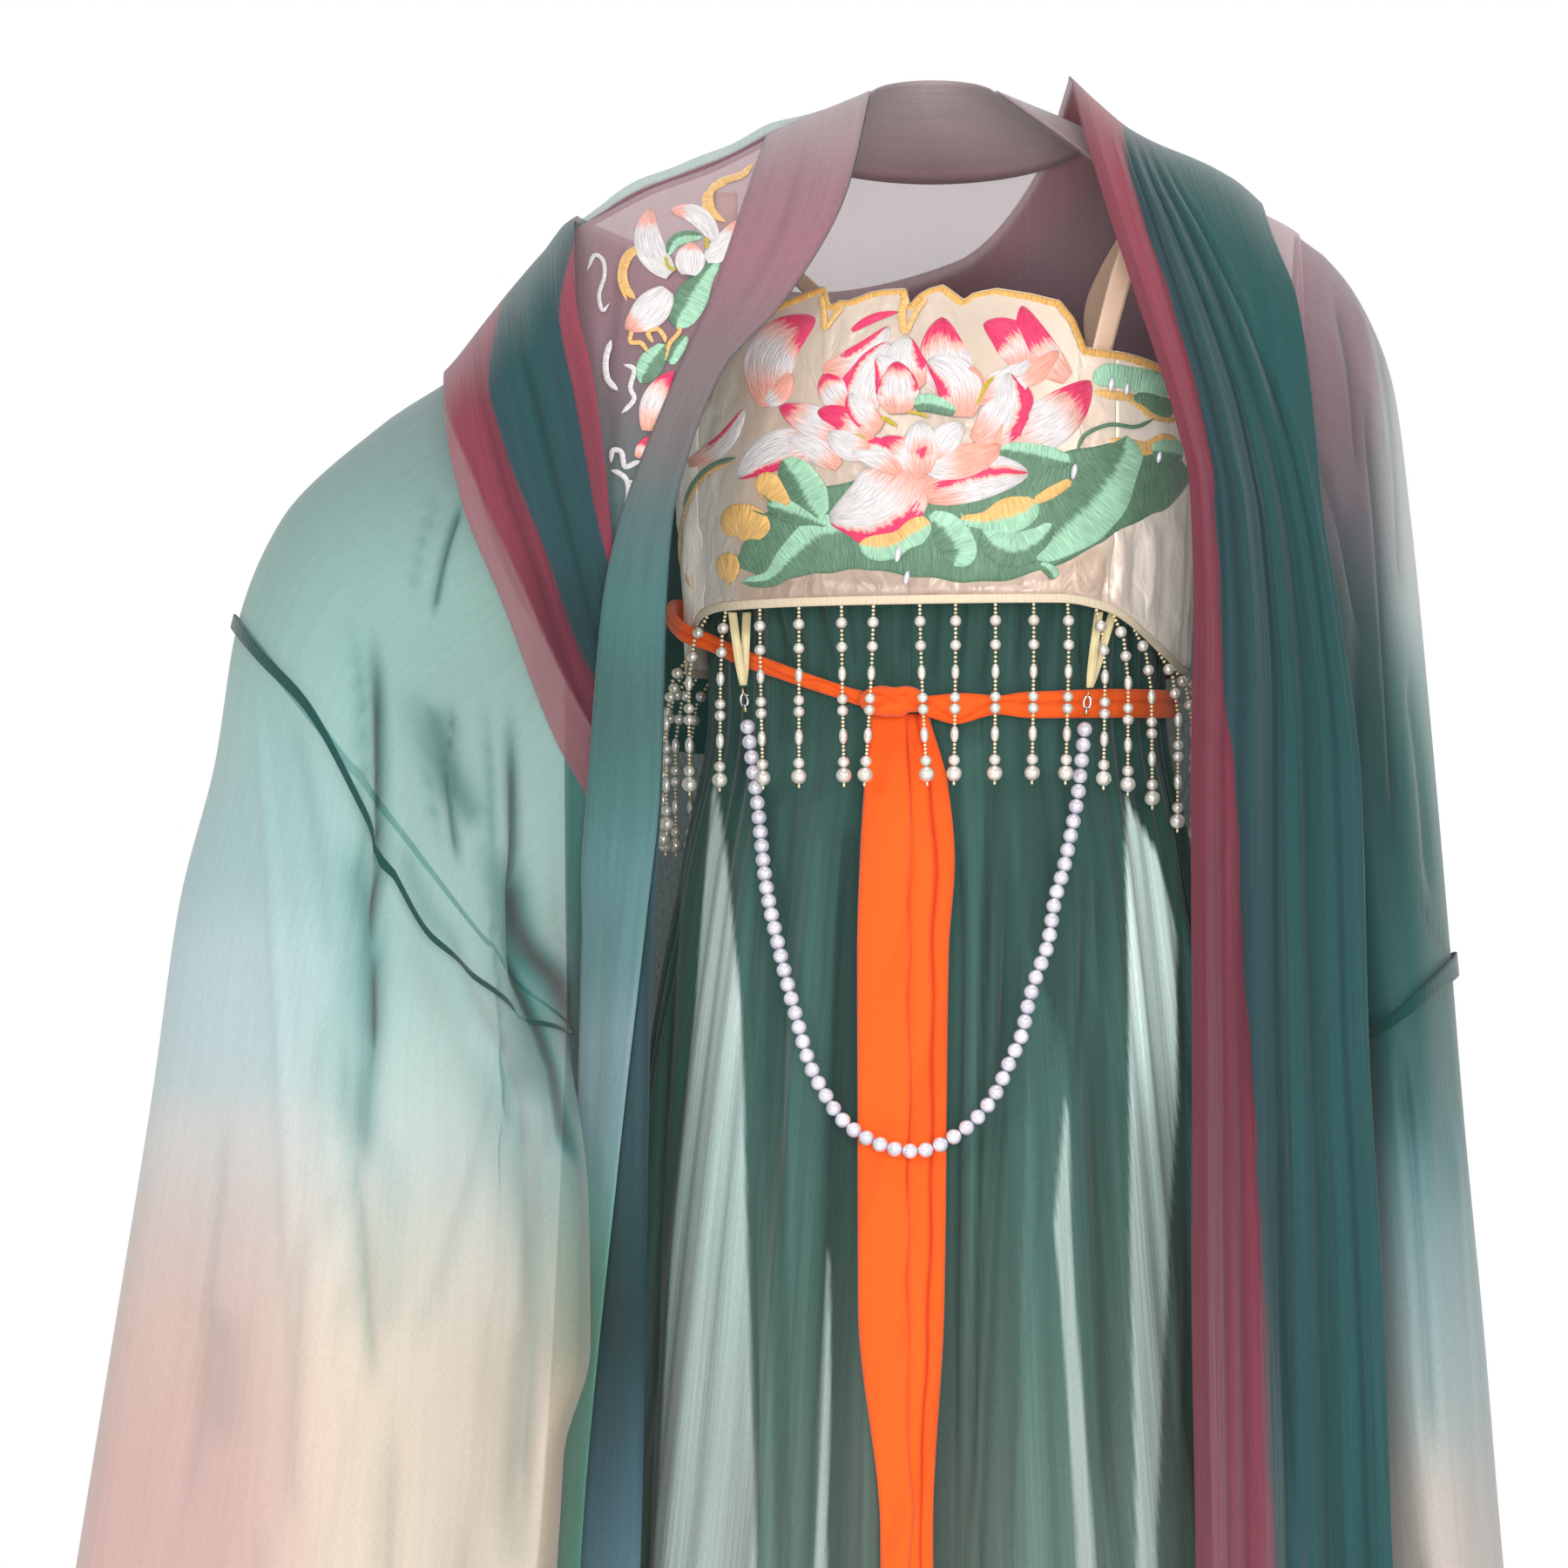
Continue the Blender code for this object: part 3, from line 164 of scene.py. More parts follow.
# The sleeves, ring by ring: inner end (x, y, z), outer end (x, y, z), half depth. Ring 0 is the
# armhole, and the dark seam binding follows the ring named below each table.
RIGHT_SLEEVE = (
    (-0.2140, 0.000, -0.420, -0.2140, 0.000, -0.014, 0.080),
    (-0.2170, -0.003, -0.4215, -0.2620, 0.000, -0.082, 0.078),
    (-0.2195, -0.008, -0.4235, -0.3120, -0.002, -0.117, 0.082),
    (-0.2215, -0.016, -0.4280, -0.3660, -0.005, -0.168, 0.086),
    (-0.2225, -0.032, -0.4420, -0.3900, -0.010, -0.226, 0.090),
    (-0.2215, -0.060, -0.4600, -0.4020, -0.010, -0.300, 0.093),
    (-0.2170, -0.092, -0.4850, -0.4210, -0.010, -0.375, 0.095),
    (-0.2115, -0.116, -0.5300, -0.4360, -0.010, -0.480, 0.098),
    (-0.2100, -0.135, -0.610, -0.4570, -0.010, -0.610, 0.102),
    (-0.2160, -0.152, -0.740, -0.4780, -0.010, -0.740, 0.108),
    (-0.2400, -0.162, -0.870, -0.4990, -0.010, -0.870, 0.114),
    (-0.2640, -0.170, -1.010, -0.5200, -0.010, -1.010, 0.120),
    (-0.2900, -0.178, SLEEVE_HEM_Z, -0.5410, -0.010, SLEEVE_HEM_Z, 0.126),
)
RIGHT_BINDING = 4
LEFT_SLEEVE = (
    (0.1870, 0.000, -0.420, 0.1870, 0.000, -0.014, 0.080),
    (0.1920, 0.000, -0.424, 0.2140, 0.000, -0.045, 0.076),
    (0.1970, 0.006, -0.429, 0.2350, 0.006, -0.094, 0.080),
    (0.2000, 0.014, -0.436, 0.2450, 0.014, -0.165, 0.085),
    (0.2020, 0.022, -0.446, 0.2560, 0.022, -0.275, 0.089),
    (0.2040, 0.030, -0.460, 0.2680, 0.030, -0.411, 0.093),
    (0.2050, 0.036, -0.520, 0.2750, 0.036, -0.495, 0.097),
    (0.2080, 0.042, -0.610, 0.2860, 0.042, -0.610, 0.101),
    (0.2200, 0.046, -0.740, 0.2970, 0.046, -0.740, 0.105),
    (0.2400, 0.050, -0.870, 0.3110, 0.050, -0.870, 0.108),
    (0.2620, 0.052, -1.010, 0.3280, 0.052, -1.010, 0.111),
    (0.2850, 0.054, SLEEVE_HEM_Z, 0.3490, 0.054, SLEEVE_HEM_Z, 0.114),
)
LEFT_BINDING = 5
RIGHT_SAG = 0.029          # the right sleeve's binding sags this far in front
RIGHT_LIFT = 0.009         # and arches up by this much near its outer end
# Shawl over the wearer's left shoulder: height, distances of its two edges from the robe's middle.
SHAWL_LEFT_EDGES = (
    (0.070, 0.0720, 0.1680),
    (0.042, 0.0765, 0.1720),
    (0.000, 0.0890, 0.1790),
    (-0.043, 0.1035, 0.1940),
    (-0.119, 0.1280, 0.2040),
    (-0.153, 0.1355, 0.2070),
    (-0.217, 0.1375, 0.2170),
    (-0.307, 0.1362, 0.2280),
    (-0.444, 0.1368, 0.2320),
    (-0.581, 0.1360, 0.2395),
    (-0.708, 0.1375, 0.2440),
    (-1.020, 0.1400, 0.2560),
)
# Shawl over the right shoulder: share of its way down, outer edge (x, z), inner edge (x, z).
SHAWL_RIGHT_EDGES = (
    (0.00, -0.2780, -0.0885, -0.2080, -0.0030),
    (0.20, -0.2755, -0.1200, -0.2060, -0.0500),
    (0.40, -0.2670, -0.1600, -0.1970, -0.0900),
    (0.65, -0.2440, -0.2170, -0.1900, -0.1400),
    (0.85, -0.2180, -0.2850, -0.1860, -0.1800),
    (1.00, -0.1930, -0.3300, -0.1820, -0.2100),
)
# Shawl across the back: share of its way, upper edge (x, z), lower edge (x, z).
SHAWL_BACK_EDGES = (
    (0.00, -0.2080, -0.0030, -0.2780, -0.0885),
    (0.20, -0.1620, -0.0200, -0.2450, -0.2000),
    (0.45, -0.0800, -0.0420, -0.1400, -0.2950),
    (0.70, 0.0000, -0.0250, 0.0300, -0.2600),
    (0.88, 0.0450, 0.0250, 0.1200, -0.1300),
    (1.00, 0.0600, 0.0700, 0.1545, 0.0140),
)
# How far the shawl rises against the left of the neck: distance from the robe's middle, rise.
NECK_RISE = (
    (0.0735, 0.0165), (0.0871, 0.0098), (0.1078, 0.0035), (0.138, 0.0020), (0.160, 0.0000),
)
# How far the shawl's two upper corners settle on the robe: x where it begins, width, depth.
RIGHT_SETTLED = (-0.232, 0.022, 0.0038)
LEFT_SETTLED = (0.146, 0.032, 0.0085)
# Depth that the shawl keeps in front of or behind the shoulders: height, depth.
SHAWL_DEPTH = ((0.080, 0.070), (-0.040, 0.094), (-0.100, 0.102), (-0.300, 0.108), (-1.050, 0.110))
# The sash round the waist: angle from the front, height, distance out from the skirt, half height.
BELT = (
    (-180, -0.270, 0.0070, 0.0060), (-155, -0.266, 0.0210, 0.0058), (-120, -0.236, 0.0215, 0.0056),
    (-90, -0.2165, 0.0215, 0.0056), (-70, -0.2235, 0.0215, 0.0056), (-62, -0.2285, 0.0212, 0.0054),
    (-58, -0.2315, 0.0188, 0.0050), (-54, -0.2350, 0.0120, 0.0048), (-48, -0.2396, 0.0085, 0.0048),
    (-30, -0.2505, 0.0064, 0.0044), (-14, -0.2610, 0.0060, 0.0040), (-7, -0.2655, 0.0060, 0.0042),
    (7, -0.2690, 0.0060, 0.0050), (30, -0.2690, 0.0060, 0.0070), (60, -0.2680, 0.0060, 0.0078),
    (120, -0.2690, 0.0064, 0.0070), (180, -0.2700, 0.0070, 0.0060),
)
KNOT = (-0.0361, -0.1108, -0.2668)      # middle of the knot
KNOT_HALF = (0.0178, 0.0076, 0.0086)    # its half sizes
# Tails of the sash: height, left edge, fold between the two tails, right edge.
TAILS = (
    (-0.2768, -0.0475, -0.0290, -0.0165),
    (-0.311, -0.0510, -0.0270, -0.0070),
    (-0.352, -0.0535, -0.0270, -0.0033),
    (-0.400, -0.0550, -0.0275, -0.0066),
    (-0.589, -0.0547, -0.0285, -0.0094),
    (-0.708, -0.0430, -0.0270, -0.0156),
    (-0.980, -0.0420, -0.0250, -0.0120),
)
# The bead strands in front: x of each.
FRONT_STRANDS = (
    -0.1360, -0.1260, -0.1075, -0.0868, -0.0637, -0.0467, -0.0217, -0.0028, 0.0189, 0.0392,
    0.0575, 0.0731, 0.0825, 0.0939, 0.1080, 0.1165,
)
SIDE_STRANDS = (-104, -95, -86, -77, -68, 91, 100, 109)    # angles of those round the sides
# A bead strand: drop from the tape, half thickness, share of the full step outwards.
STRAND_FORM = (
    (0.0000, 0.0007, 0.0), (0.0130, 0.0024, 0.7), (0.0350, 0.0010, 1.0), (0.0570, 0.0026, 1.0),
    (0.0925, 0.0038, 1.0), (STRAND, 0.0008, 1.0),
)
STRAND_STEP_OUT = 0.0125
# Route of the pearl swag from one clasp to the other: x, height.
CHAIN = (
    (-0.1144, -0.2765), (-0.1085, -0.3226), (-0.1052, -0.3557), (-0.1028, -0.3722),
    (-0.0995, -0.3882), (-0.0939, -0.4123), (-0.0877, -0.4363), (-0.0807, -0.4604),
    (-0.0731, -0.4755), (-0.0637, -0.4896), (-0.0509, -0.4995), (-0.0344, -0.5057),
    (-0.0179, -0.5057), (-0.0028, -0.4981), (0.0090, -0.4882), (0.0184, -0.4755),
    (0.0255, -0.4599), (0.0321, -0.4453), (0.0358, -0.4288), (0.0401, -0.4137),
    (0.0462, -0.3972), (0.0505, -0.3722), (0.0552, -0.3561), (0.0604, -0.3316),
    (0.0632, -0.3151), (0.0670, -0.2780),
)
CHAIN_OUT = 0.0165                      # middle of the pearls from the skirt's mean surface
CLASP_LENGTH = 0.0160
RIBBON_TOP_Z = -0.2190
RIBBON_WIDTH = 0.0046
STRAP_WIDTH = 0.0120


# ---- Numbers --------------------------------------------------------------------------------------
def look(table, key):
    """Columns of a table at keys of its first column, smooth and with no overshoot."""
    rows = np.array(sorted(table), dtype=float)
    keys, values = rows[:, 0], rows[:, 1:]
    key = np.clip(np.asarray(key, dtype=float), keys[0], keys[-1])
    low = np.clip(np.searchsorted(keys, key, side="right") - 1, 0, len(keys) - 2)
    step = np.diff(keys)
    slope = np.diff(values, axis=0) / step[:, None]
    before, after = slope[:-1], slope[1:]
    same = before * after > 0
    inner = np.where(same, 2 * before * after / np.where(same, before + after, 1.0), 0.0)
    tangent = np.vstack([slope[:1], inner, slope[-1:]])
    t = ((key - keys[low]) / step[low])[..., None]
    start, end = values[low], values[low + 1]
    leave, arrive = tangent[low] * step[low][..., None], tangent[low + 1] * step[low][..., None]
    found = (
        start * (2 * t**3 - 3 * t**2 + 1) + leave * (t**3 - 2 * t**2 + t)
        + end * (3 * t**2 - 2 * t**3) + arrive * (t**3 - t**2)
    )
    return np.moveaxis(found, -1, 0)


def ease(t):
    """0 to 1 with flat ends."""
    t = np.clip(t, 0.0, 1.0)
    return t * t * (3 - 2 * t)


def bell(off, width):
    """1 in the middle, fading smoothly to 0 on both sides."""
    return np.exp(-((off / width) ** 2))


def span(value, begin, rise, end, fall):
    """1 between begin and end, and 0 outside them; it rises and falls over two widths inside."""
    return ease((value - begin) / rise) * ease((end - value) / fall)


def band(value, begin, end, soft):
    """1 between begin and end, with soft edges centred on them."""
    return ease((value - begin) / soft + 0.5) * ease((end - value) / soft + 0.5)


def roll(drop, height):
    """Quarter of an ellipse: 0 at the ridge, 1 once the drop has reached the height."""
    t = np.clip(drop / height, 0.0, 1.0)
    return np.sqrt(1 - (1 - t) ** 2)


def larger(first, second):
    """The larger of two depths, with a soft step between them."""
    return (first + second + np.sqrt((first - second) ** 2 + SOFT_STEP**2)) / 2


def mix(first, second, share):
    return first + (second - first) * share


def xyz(x, y, z):
    return np.stack(np.broadcast_arrays(x, y, z), axis=-1).astype(float)


def unit(vectors, least=0.0):
    """Vectors brought to length 1."""
    return vectors / (np.linalg.norm(vectors, axis=-1, keepdims=True) + least)


def lengths(line):
    """Length along a line of points, up to each point."""
    return np.concatenate([[0], np.cumsum(np.linalg.norm(np.diff(line, axis=0), axis=1))])


def points_at(line, places):
    """Points of a line at lengths along it."""
    return np.stack([np.interp(places, lengths(line), column) for column in line.T], axis=-1)


# ---- Forms ----------------------------------------------------------------------------------------
def turned(half_width, half_depth, angle, z):
    """Points of a torso section. The angle runs from the front towards the wearer's left."""
    a = np.radians(angle)
    across, deep = half_width * np.sin(a), -half_depth * np.cos(a)
    x = BODY_X + across * math.cos(TURN) - deep * math.sin(TURN)
    y = across * math.sin(TURN) + deep * math.cos(TURN)
    return xyz(x, y, z)


def front_depth(half_width, half_depth, x):
    """How far in front of y = 0 a torso section passes at x."""
    c, s = math.cos(TURN), math.sin(TURN)
    wide, deep = 1 / half_width**2, 1 / half_depth**2
    x = x - BODY_X
    first = c**2 * wide + s**2 * deep
    both = c * s * (wide - deep)
    last = s**2 * wide + c**2 * deep
    inside = np.maximum(both * both * x * x - last * (first * x * x - 1), 0.0)
    return (both * x + np.sqrt(inside)) / last


def skirt_wave(angle):
    """Uneven folds round the skirt, from -1 to 1."""
    a = np.radians(angle)
    return np.sin(SKIRT_FOLDS * a + 1.4 * np.sin(3 * a + 0.5)) * (0.72 + 0.28 * np.sin(5 * a + 1.1))


def skirt_point(angle, z, out=0.0):
    half_width, half_depth, fold = look(SKIRT_FORM, z)
    step = out + fold * skirt_wave(angle)
    return turned(half_width + step, half_depth + step, angle, z)


def skirt_front_depth(x, z, out):
    half_width, half_depth, fold = look(SKIRT_FORM, z)
    return front_depth(half_width + fold + out, half_depth + fold + out, x)


def waist_depth(x, out):
    """How far in front of y = 0 a section a step out from the waist passes at x."""
    half_width, half_depth, _ = look(SKIRT_FORM, WAIST_Z)
    return front_depth(half_width + out, half_depth + out, x)


def bodice_point(angle, z, out=0.0):
    half_width, half_depth = look(BODICE_FORM, z)
    return turned(half_width + out, half_depth + out, angle, z)


def robe_wave(away, z):
    (rise, turns, start), (begin, soft, sides) = ROBE_WAVE, ROBE_STILL
    half_width = look(ROBE_FORM, z)[0]
    still = ease((begin - z) / soft) * ease((1 - away / half_width) / sides)
    return rise * still * np.sin(math.radians(start) + turns * away)


def robe_depth(away, z):
    """Half depth of the robe at a distance from its middle."""
    half_width, half_depth = look(ROBE_FORM, z)
    share = np.minimum(away / half_width, 1.0)
    shape = (1 - share**ROBE_POWER) ** (1 / ROBE_POWER)
    return half_depth * shape * roll(look(RIDGE, away)[0] - z, SHOULDER_ROLL) + robe_wave(away, z)


def edge_at(table, column, share, bottom, lift=0.0):
    """Distance from the middle of an edge given by height, at a share of the way down."""
    z = np.zeros_like(share)
    for _ in range(12):
        away = look(table, z)[column]
        z = mix(look(RIDGE, away)[0] + lift, bottom, share)
    return away


def side_edge(share):
    """Distance from the middle of the armhole, or of the side seam below it."""
    z = mix(look(RIDGE, ARMHOLE)[0], ROBE_HEM_Z, share)
    return np.where(z > UNDERARM_Z, ARMHOLE, look(ROBE_FORM, z)[0])


def sleeve_point(table, place, turn, out=0.0):
    """Points of a sleeve. Place is the ring, turn runs from the outer end round the front."""
    found = look([(i, *row) for i, row in enumerate(table)], place)
    inner, outer = np.moveaxis(found[:3], 0, -1), np.moveaxis(found[3:6], 0, -1)
    half_depth = found[6]
    reach, middle = (outer - inner) / 2, (outer + inner) / 2
    c, s = np.cos(turn), np.sin(turn)
    along = np.sign(c) * np.abs(c) ** (2 / ROBE_POWER)
    deep = np.sign(s) * np.abs(s) ** (2 / ROBE_POWER)
    armhole_z = (table[0][2] + table[0][5]) / 2 + along * (table[0][5] - table[0][2]) / 2
    armhole = np.sign(deep) * robe_depth(ARMHOLE, armhole_z)
    still = ease(1 - place / 3)
    fold = 0.13 * ease((place - 3) / 5) * np.sin(5 * turn + 0.9 * np.sin(2 * turn))
    depth = (1 - still) * half_depth * deep * (1 + fold) + still * armhole
    length = np.linalg.norm(reach, axis=-1)
    point = middle + reach * (along * (1 + out / length))[..., None]
    point[..., 1] -= depth * (1 + out / half_depth)
    if table is RIGHT_SLEEVE:
        near_binding = bell(place - RIGHT_BINDING, 1.3) * ease(s / 0.5)
        sag, lift = RIGHT_SAG * bell(along + 0.30, 0.42), RIGHT_LIFT * bell(along - 0.50, 0.25)
        point[..., 2] -= (sag - lift) * near_binding
    return point


def shawl_ridge(x):
    """Height of the shawl over the shoulders; its corners settle on the robe."""
    away = np.abs(x - ROBE_X)
    (right_x, right_width, right_settled), (left_x, left_width, left_settled) = (
        RIGHT_SETTLED, LEFT_SETTLED
    )
    settled = right_settled * ease((x - right_x) / right_width) * (x < ROBE_X)
    settled = settled + left_settled * ease((x - left_x) / left_width)
    rise = np.where(x > ROBE_X, look(NECK_RISE, away)[0], 0)
    return look(RIDGE, away)[0] + SHAWL_LIFT + rise - settled


def shawl_depth(x, z):
    """Half depth of the shawl, which lies on the robe and falls to 0 on the ridge."""
    away, ridge = np.abs(x - ROBE_X), shawl_ridge(x)
    own = look(SHAWL_DEPTH, z)[0] * roll(ridge - z, SHAWL_ROLL)
    apart = larger(0.0, 0.0) * (1 - roll(ridge - z, RIDGE_MEET))
    lay, height = SHAWL_LAY
    return larger(robe_depth(away, z) + lay * roll(ridge - z, height), own) - apart


def robe_front(side, away, z, out=0.0):
    """Points of a robe front, pushed out along the way that the section faces there."""
    step = 0.0015
    flat = robe_depth(away + step, z) - robe_depth(np.maximum(away - step, 0), z)
    above = np.minimum(z + step, look(RIDGE, away)[0])
    rise = robe_depth(away, above) - robe_depth(away, z - step)
    way = unit(xyz(-flat / (2 * step) * side, -1.0, -rise / (above - z + step)))
    surface = xyz(ROBE_X + side * away, -robe_depth(away, z) - CLOTH_GAP, z)
    return surface + way * np.asarray(out)[..., None]


# ---- Colour and layout ----------------------------------------------------------------------------
def linear(colour):
    """Linear values of a colour given from 0 to 255."""
    c = np.asarray(colour, dtype=float) / 255
    return np.where(c <= 0.04045, c / 12.92, ((c + 0.055) / 1.055) ** 2.4)


def on_sheet(grid):
    """Where the points of a grid lie on the layout sheet, seen from the front."""
    return (
        SHEET_ORIGIN[0] + SHEET_UNIT * grid[..., 0], SHEET_ORIGIN[1] - SHEET_UNIT * grid[..., 2]
    )


def off_sheet(right, down):
    """x and z of places on the layout sheet."""
    return (
        (np.asarray(right, dtype=float) - SHEET_ORIGIN[0]) / SHEET_UNIT,
        (SHEET_ORIGIN[1] - np.asarray(down, dtype=float)) / SHEET_UNIT,
    )


def dyed(table, down):
    """Colour and cover of a dye table: down the sheet, red, green, blue, cover."""
    found = np.moveaxis(look(table, down), 0, -1)
    return np.concatenate([linear(found[..., :3]), found[..., 3:]], axis=-1)


def smooth_line(points, count):
    """A smooth line of evenly spaced points through a few."""
    p = np.array(points, dtype=float)
    if len(p) == 2:
        return mix(p[0], p[1], np.linspace(0, 1, count)[:, None])
    padded = np.vstack([2 * p[0] - p[1], p, 2 * p[-1] - p[-2]])
    steps = np.linspace(0, 1, 16, endpoint=False)[:, None]
    found = []
    for a, b, c, d in zip(padded, padded[1:], padded[2:], padded[3:]):
        found.append(
            0.5 * (2 * b + (c - a) * steps + (2 * a - 5 * b + 4 * c - d) * steps**2
                   + (3 * b - a - 3 * c + d) * steps**3)
        )
    found = np.vstack([*found, p[-1:]])
    return points_at(found, np.linspace(0, lengths(found)[-1], count))


def facing(grid, closed=False):
    """Unit normals of a grid, on the side away from its middle or, if open, from the torso."""
    down = np.gradient(grid, axis=0)
    if closed:
        across = (np.roll(grid, -1, axis=1) - np.roll(grid, 1, axis=1)) / 2
        middle = grid.mean(axis=1, keepdims=True)
    else:
        across = np.gradient(grid, axis=1)
        middle = np.array([BODY_X, 0.0, 0.0]) * np.ones_like(grid)
        middle[..., 2] = grid[..., 2]
    normal = unit(np.cross(down, across), 1e-12)
    return normal if (normal * (grid - middle)).sum() > 0 else -normal


def near_lines(right, down, table):
    """Push and shade that lines leave: (points on the sheet, half width, push in m, shade)."""
    push, shade = np.zeros_like(right), np.zeros_like(right)
    for points, width, depth, dark in table:
        line = smooth_line(points, 14)
        best, along = np.full_like(right, 1e9), np.zeros_like(right)
        for i, (a, b) in enumerate(zip(line, line[1:])):
            run = b - a
            t = np.clip(((right - a[0]) * run[0] + (down - a[1]) * run[1]) / (run @ run), 0, 1)
            off = np.hypot(right - a[0] - t * run[0], down - a[1] - t * run[1])
            along = np.where(off < best, (i + t) / (len(line) - 1), along)
            best = np.minimum(best, off)
        fade = span(along, 0, 0.2, 1, 0.2)
        push += depth * bell(best, width) * fade
        shade = np.maximum(shade, dark * bell(best, 0.8 * width) * fade)
    return push, shade


# ---- Meshes ---------------------------------------------------------------------------------------
COLLECTION = bpy.data.collections.new("hanfu_looks")
bpy.context.scene.collection.children.link(COLLECTION)


def put(name, data, material):
    """Places a mesh or curve as a piece of the set."""
    made = bpy.data.objects.new(name, data)
    COLLECTION.objects.link(made)
    data.materials.append(material)
    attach(made, "root")
    return made


def grid_faces(rows, columns, closed):
    """Four-sided faces between neighbouring rows and columns of points."""
    index = np.arange(rows * columns).reshape(rows, columns)
    right = np.roll(index, -1, axis=1)
    if not closed:
        index, right = index[:, :-1], right[:, :-1]
    return np.stack([index[:-1], index[1:], right[1:], right[:-1]], axis=-1).reshape(-1, 4)


def grid_uv(grid, closed):
    """Metres across and down, for every corner of every face."""
    across = np.linalg.norm(np.diff(grid, axis=1), axis=-1).mean(axis=0)
    down = np.linalg.norm(np.diff(grid, axis=0), axis=-1).mean(axis=1)
    u = np.concatenate([[0], np.cumsum(across)])
    v = np.concatenate([[0], np.cumsum(down)])
    u_right = np.append(u[1:], u[-1] + across.mean()) if closed else u[1:]
    u_left = u if closed else u[:-1]
    shape = (len(v) - 1, len(u_left))
    top, low = np.broadcast_to(v[:-1, None], shape), np.broadcast_to(v[1:, None], shape)
    left, right = np.broadcast_to(u_left, shape), np.broadcast_to(u_right, shape)
    return np.stack([left, top, left, low, right, low, right, top], axis=-1).reshape(-1)


def mesh_of(name, points, faces, colours=None, uv=None):
    mesh = bpy.data.meshes.new(name)
    mesh.from_pydata(points.reshape(-1, 3).tolist(), [], faces)
    if colours is not None:
        # Colour and cover for each point; the colour holds painted shade as well as the dye.
        dye_and_shade = mesh.attributes.new("dye_and_shade", "FLOAT_COLOR", "POINT")
        dye_and_shade.data.foreach_set("color", np.ascontiguousarray(colours, dtype=np.float32).reshape(-1))
    if uv is not None:
        layer = mesh.uv_layers.new(name="cloth")
        layer.data.foreach_set("uv", np.ascontiguousarray(uv, dtype=np.float32).reshape(-1))
    mesh.shade_smooth()
    return mesh


def colour_grid(grid, colour, cover=1.0):
    """The same colour and cover at every point."""
    return np.broadcast_to(np.append(linear(colour), cover), (*grid.shape[:2], 4)).copy()


def darker(colours, shade, tint=(1.0, 1.0, 1.0)):
    """Colours darkened by painted shade, and more cover where the cloth lies more closely."""
    found = colours.copy()
    found[..., :3] *= 1 - np.minimum(shade[..., None] * np.array(tint), 0.9)
    found[..., 3] = mix(found[..., 3], 1.0, 0.75 * shade)
    return found


def dim(colours, factor):
    """Multiplies colours, but not their cover, by a factor for each point."""
    colours[..., :3] *= factor[..., None]


def cloth(name, grid, colours, material, closed=False, thickness=0.0):
    """A shell through a grid of points, as one face or as a wall of a thickness."""
    faces = grid_faces(*grid.shape[:2], closed).tolist()
    made = put(name, mesh_of(name, grid, faces, colours, grid_uv(grid, closed)), material)
    if thickness:
        solid = made.modifiers.new("thickness", "SOLIDIFY")
        solid.thickness = thickness
        solid.offset = 0.0
    return made


LEAST_AREA = 0.31          # least share of its flat rectangle that a sheet's worked-out area is taken to fill


def sheet(made, grid, nodes, closed=False, with_pieces=(), layers=1):
    """Hides the solids that a cloth piece stands for; the size it is cut to is worked out, but not kept.

    A loft that is a strip folded in two has two layers.
    """
    ring = np.concatenate([grid, grid[:, :1]], axis=1) if closed else grid
    width = np.linalg.norm(np.diff(ring, axis=1), axis=-1).sum(axis=1).max() / layers
    length = np.linalg.norm(np.diff(grid, axis=0), axis=-1).sum(axis=0).max()
    area = sum(face.area for face in made.data.polygons) / layers
    area = min(max(area, LEAST_AREA * width * length), width * length)
    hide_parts(*nodes)


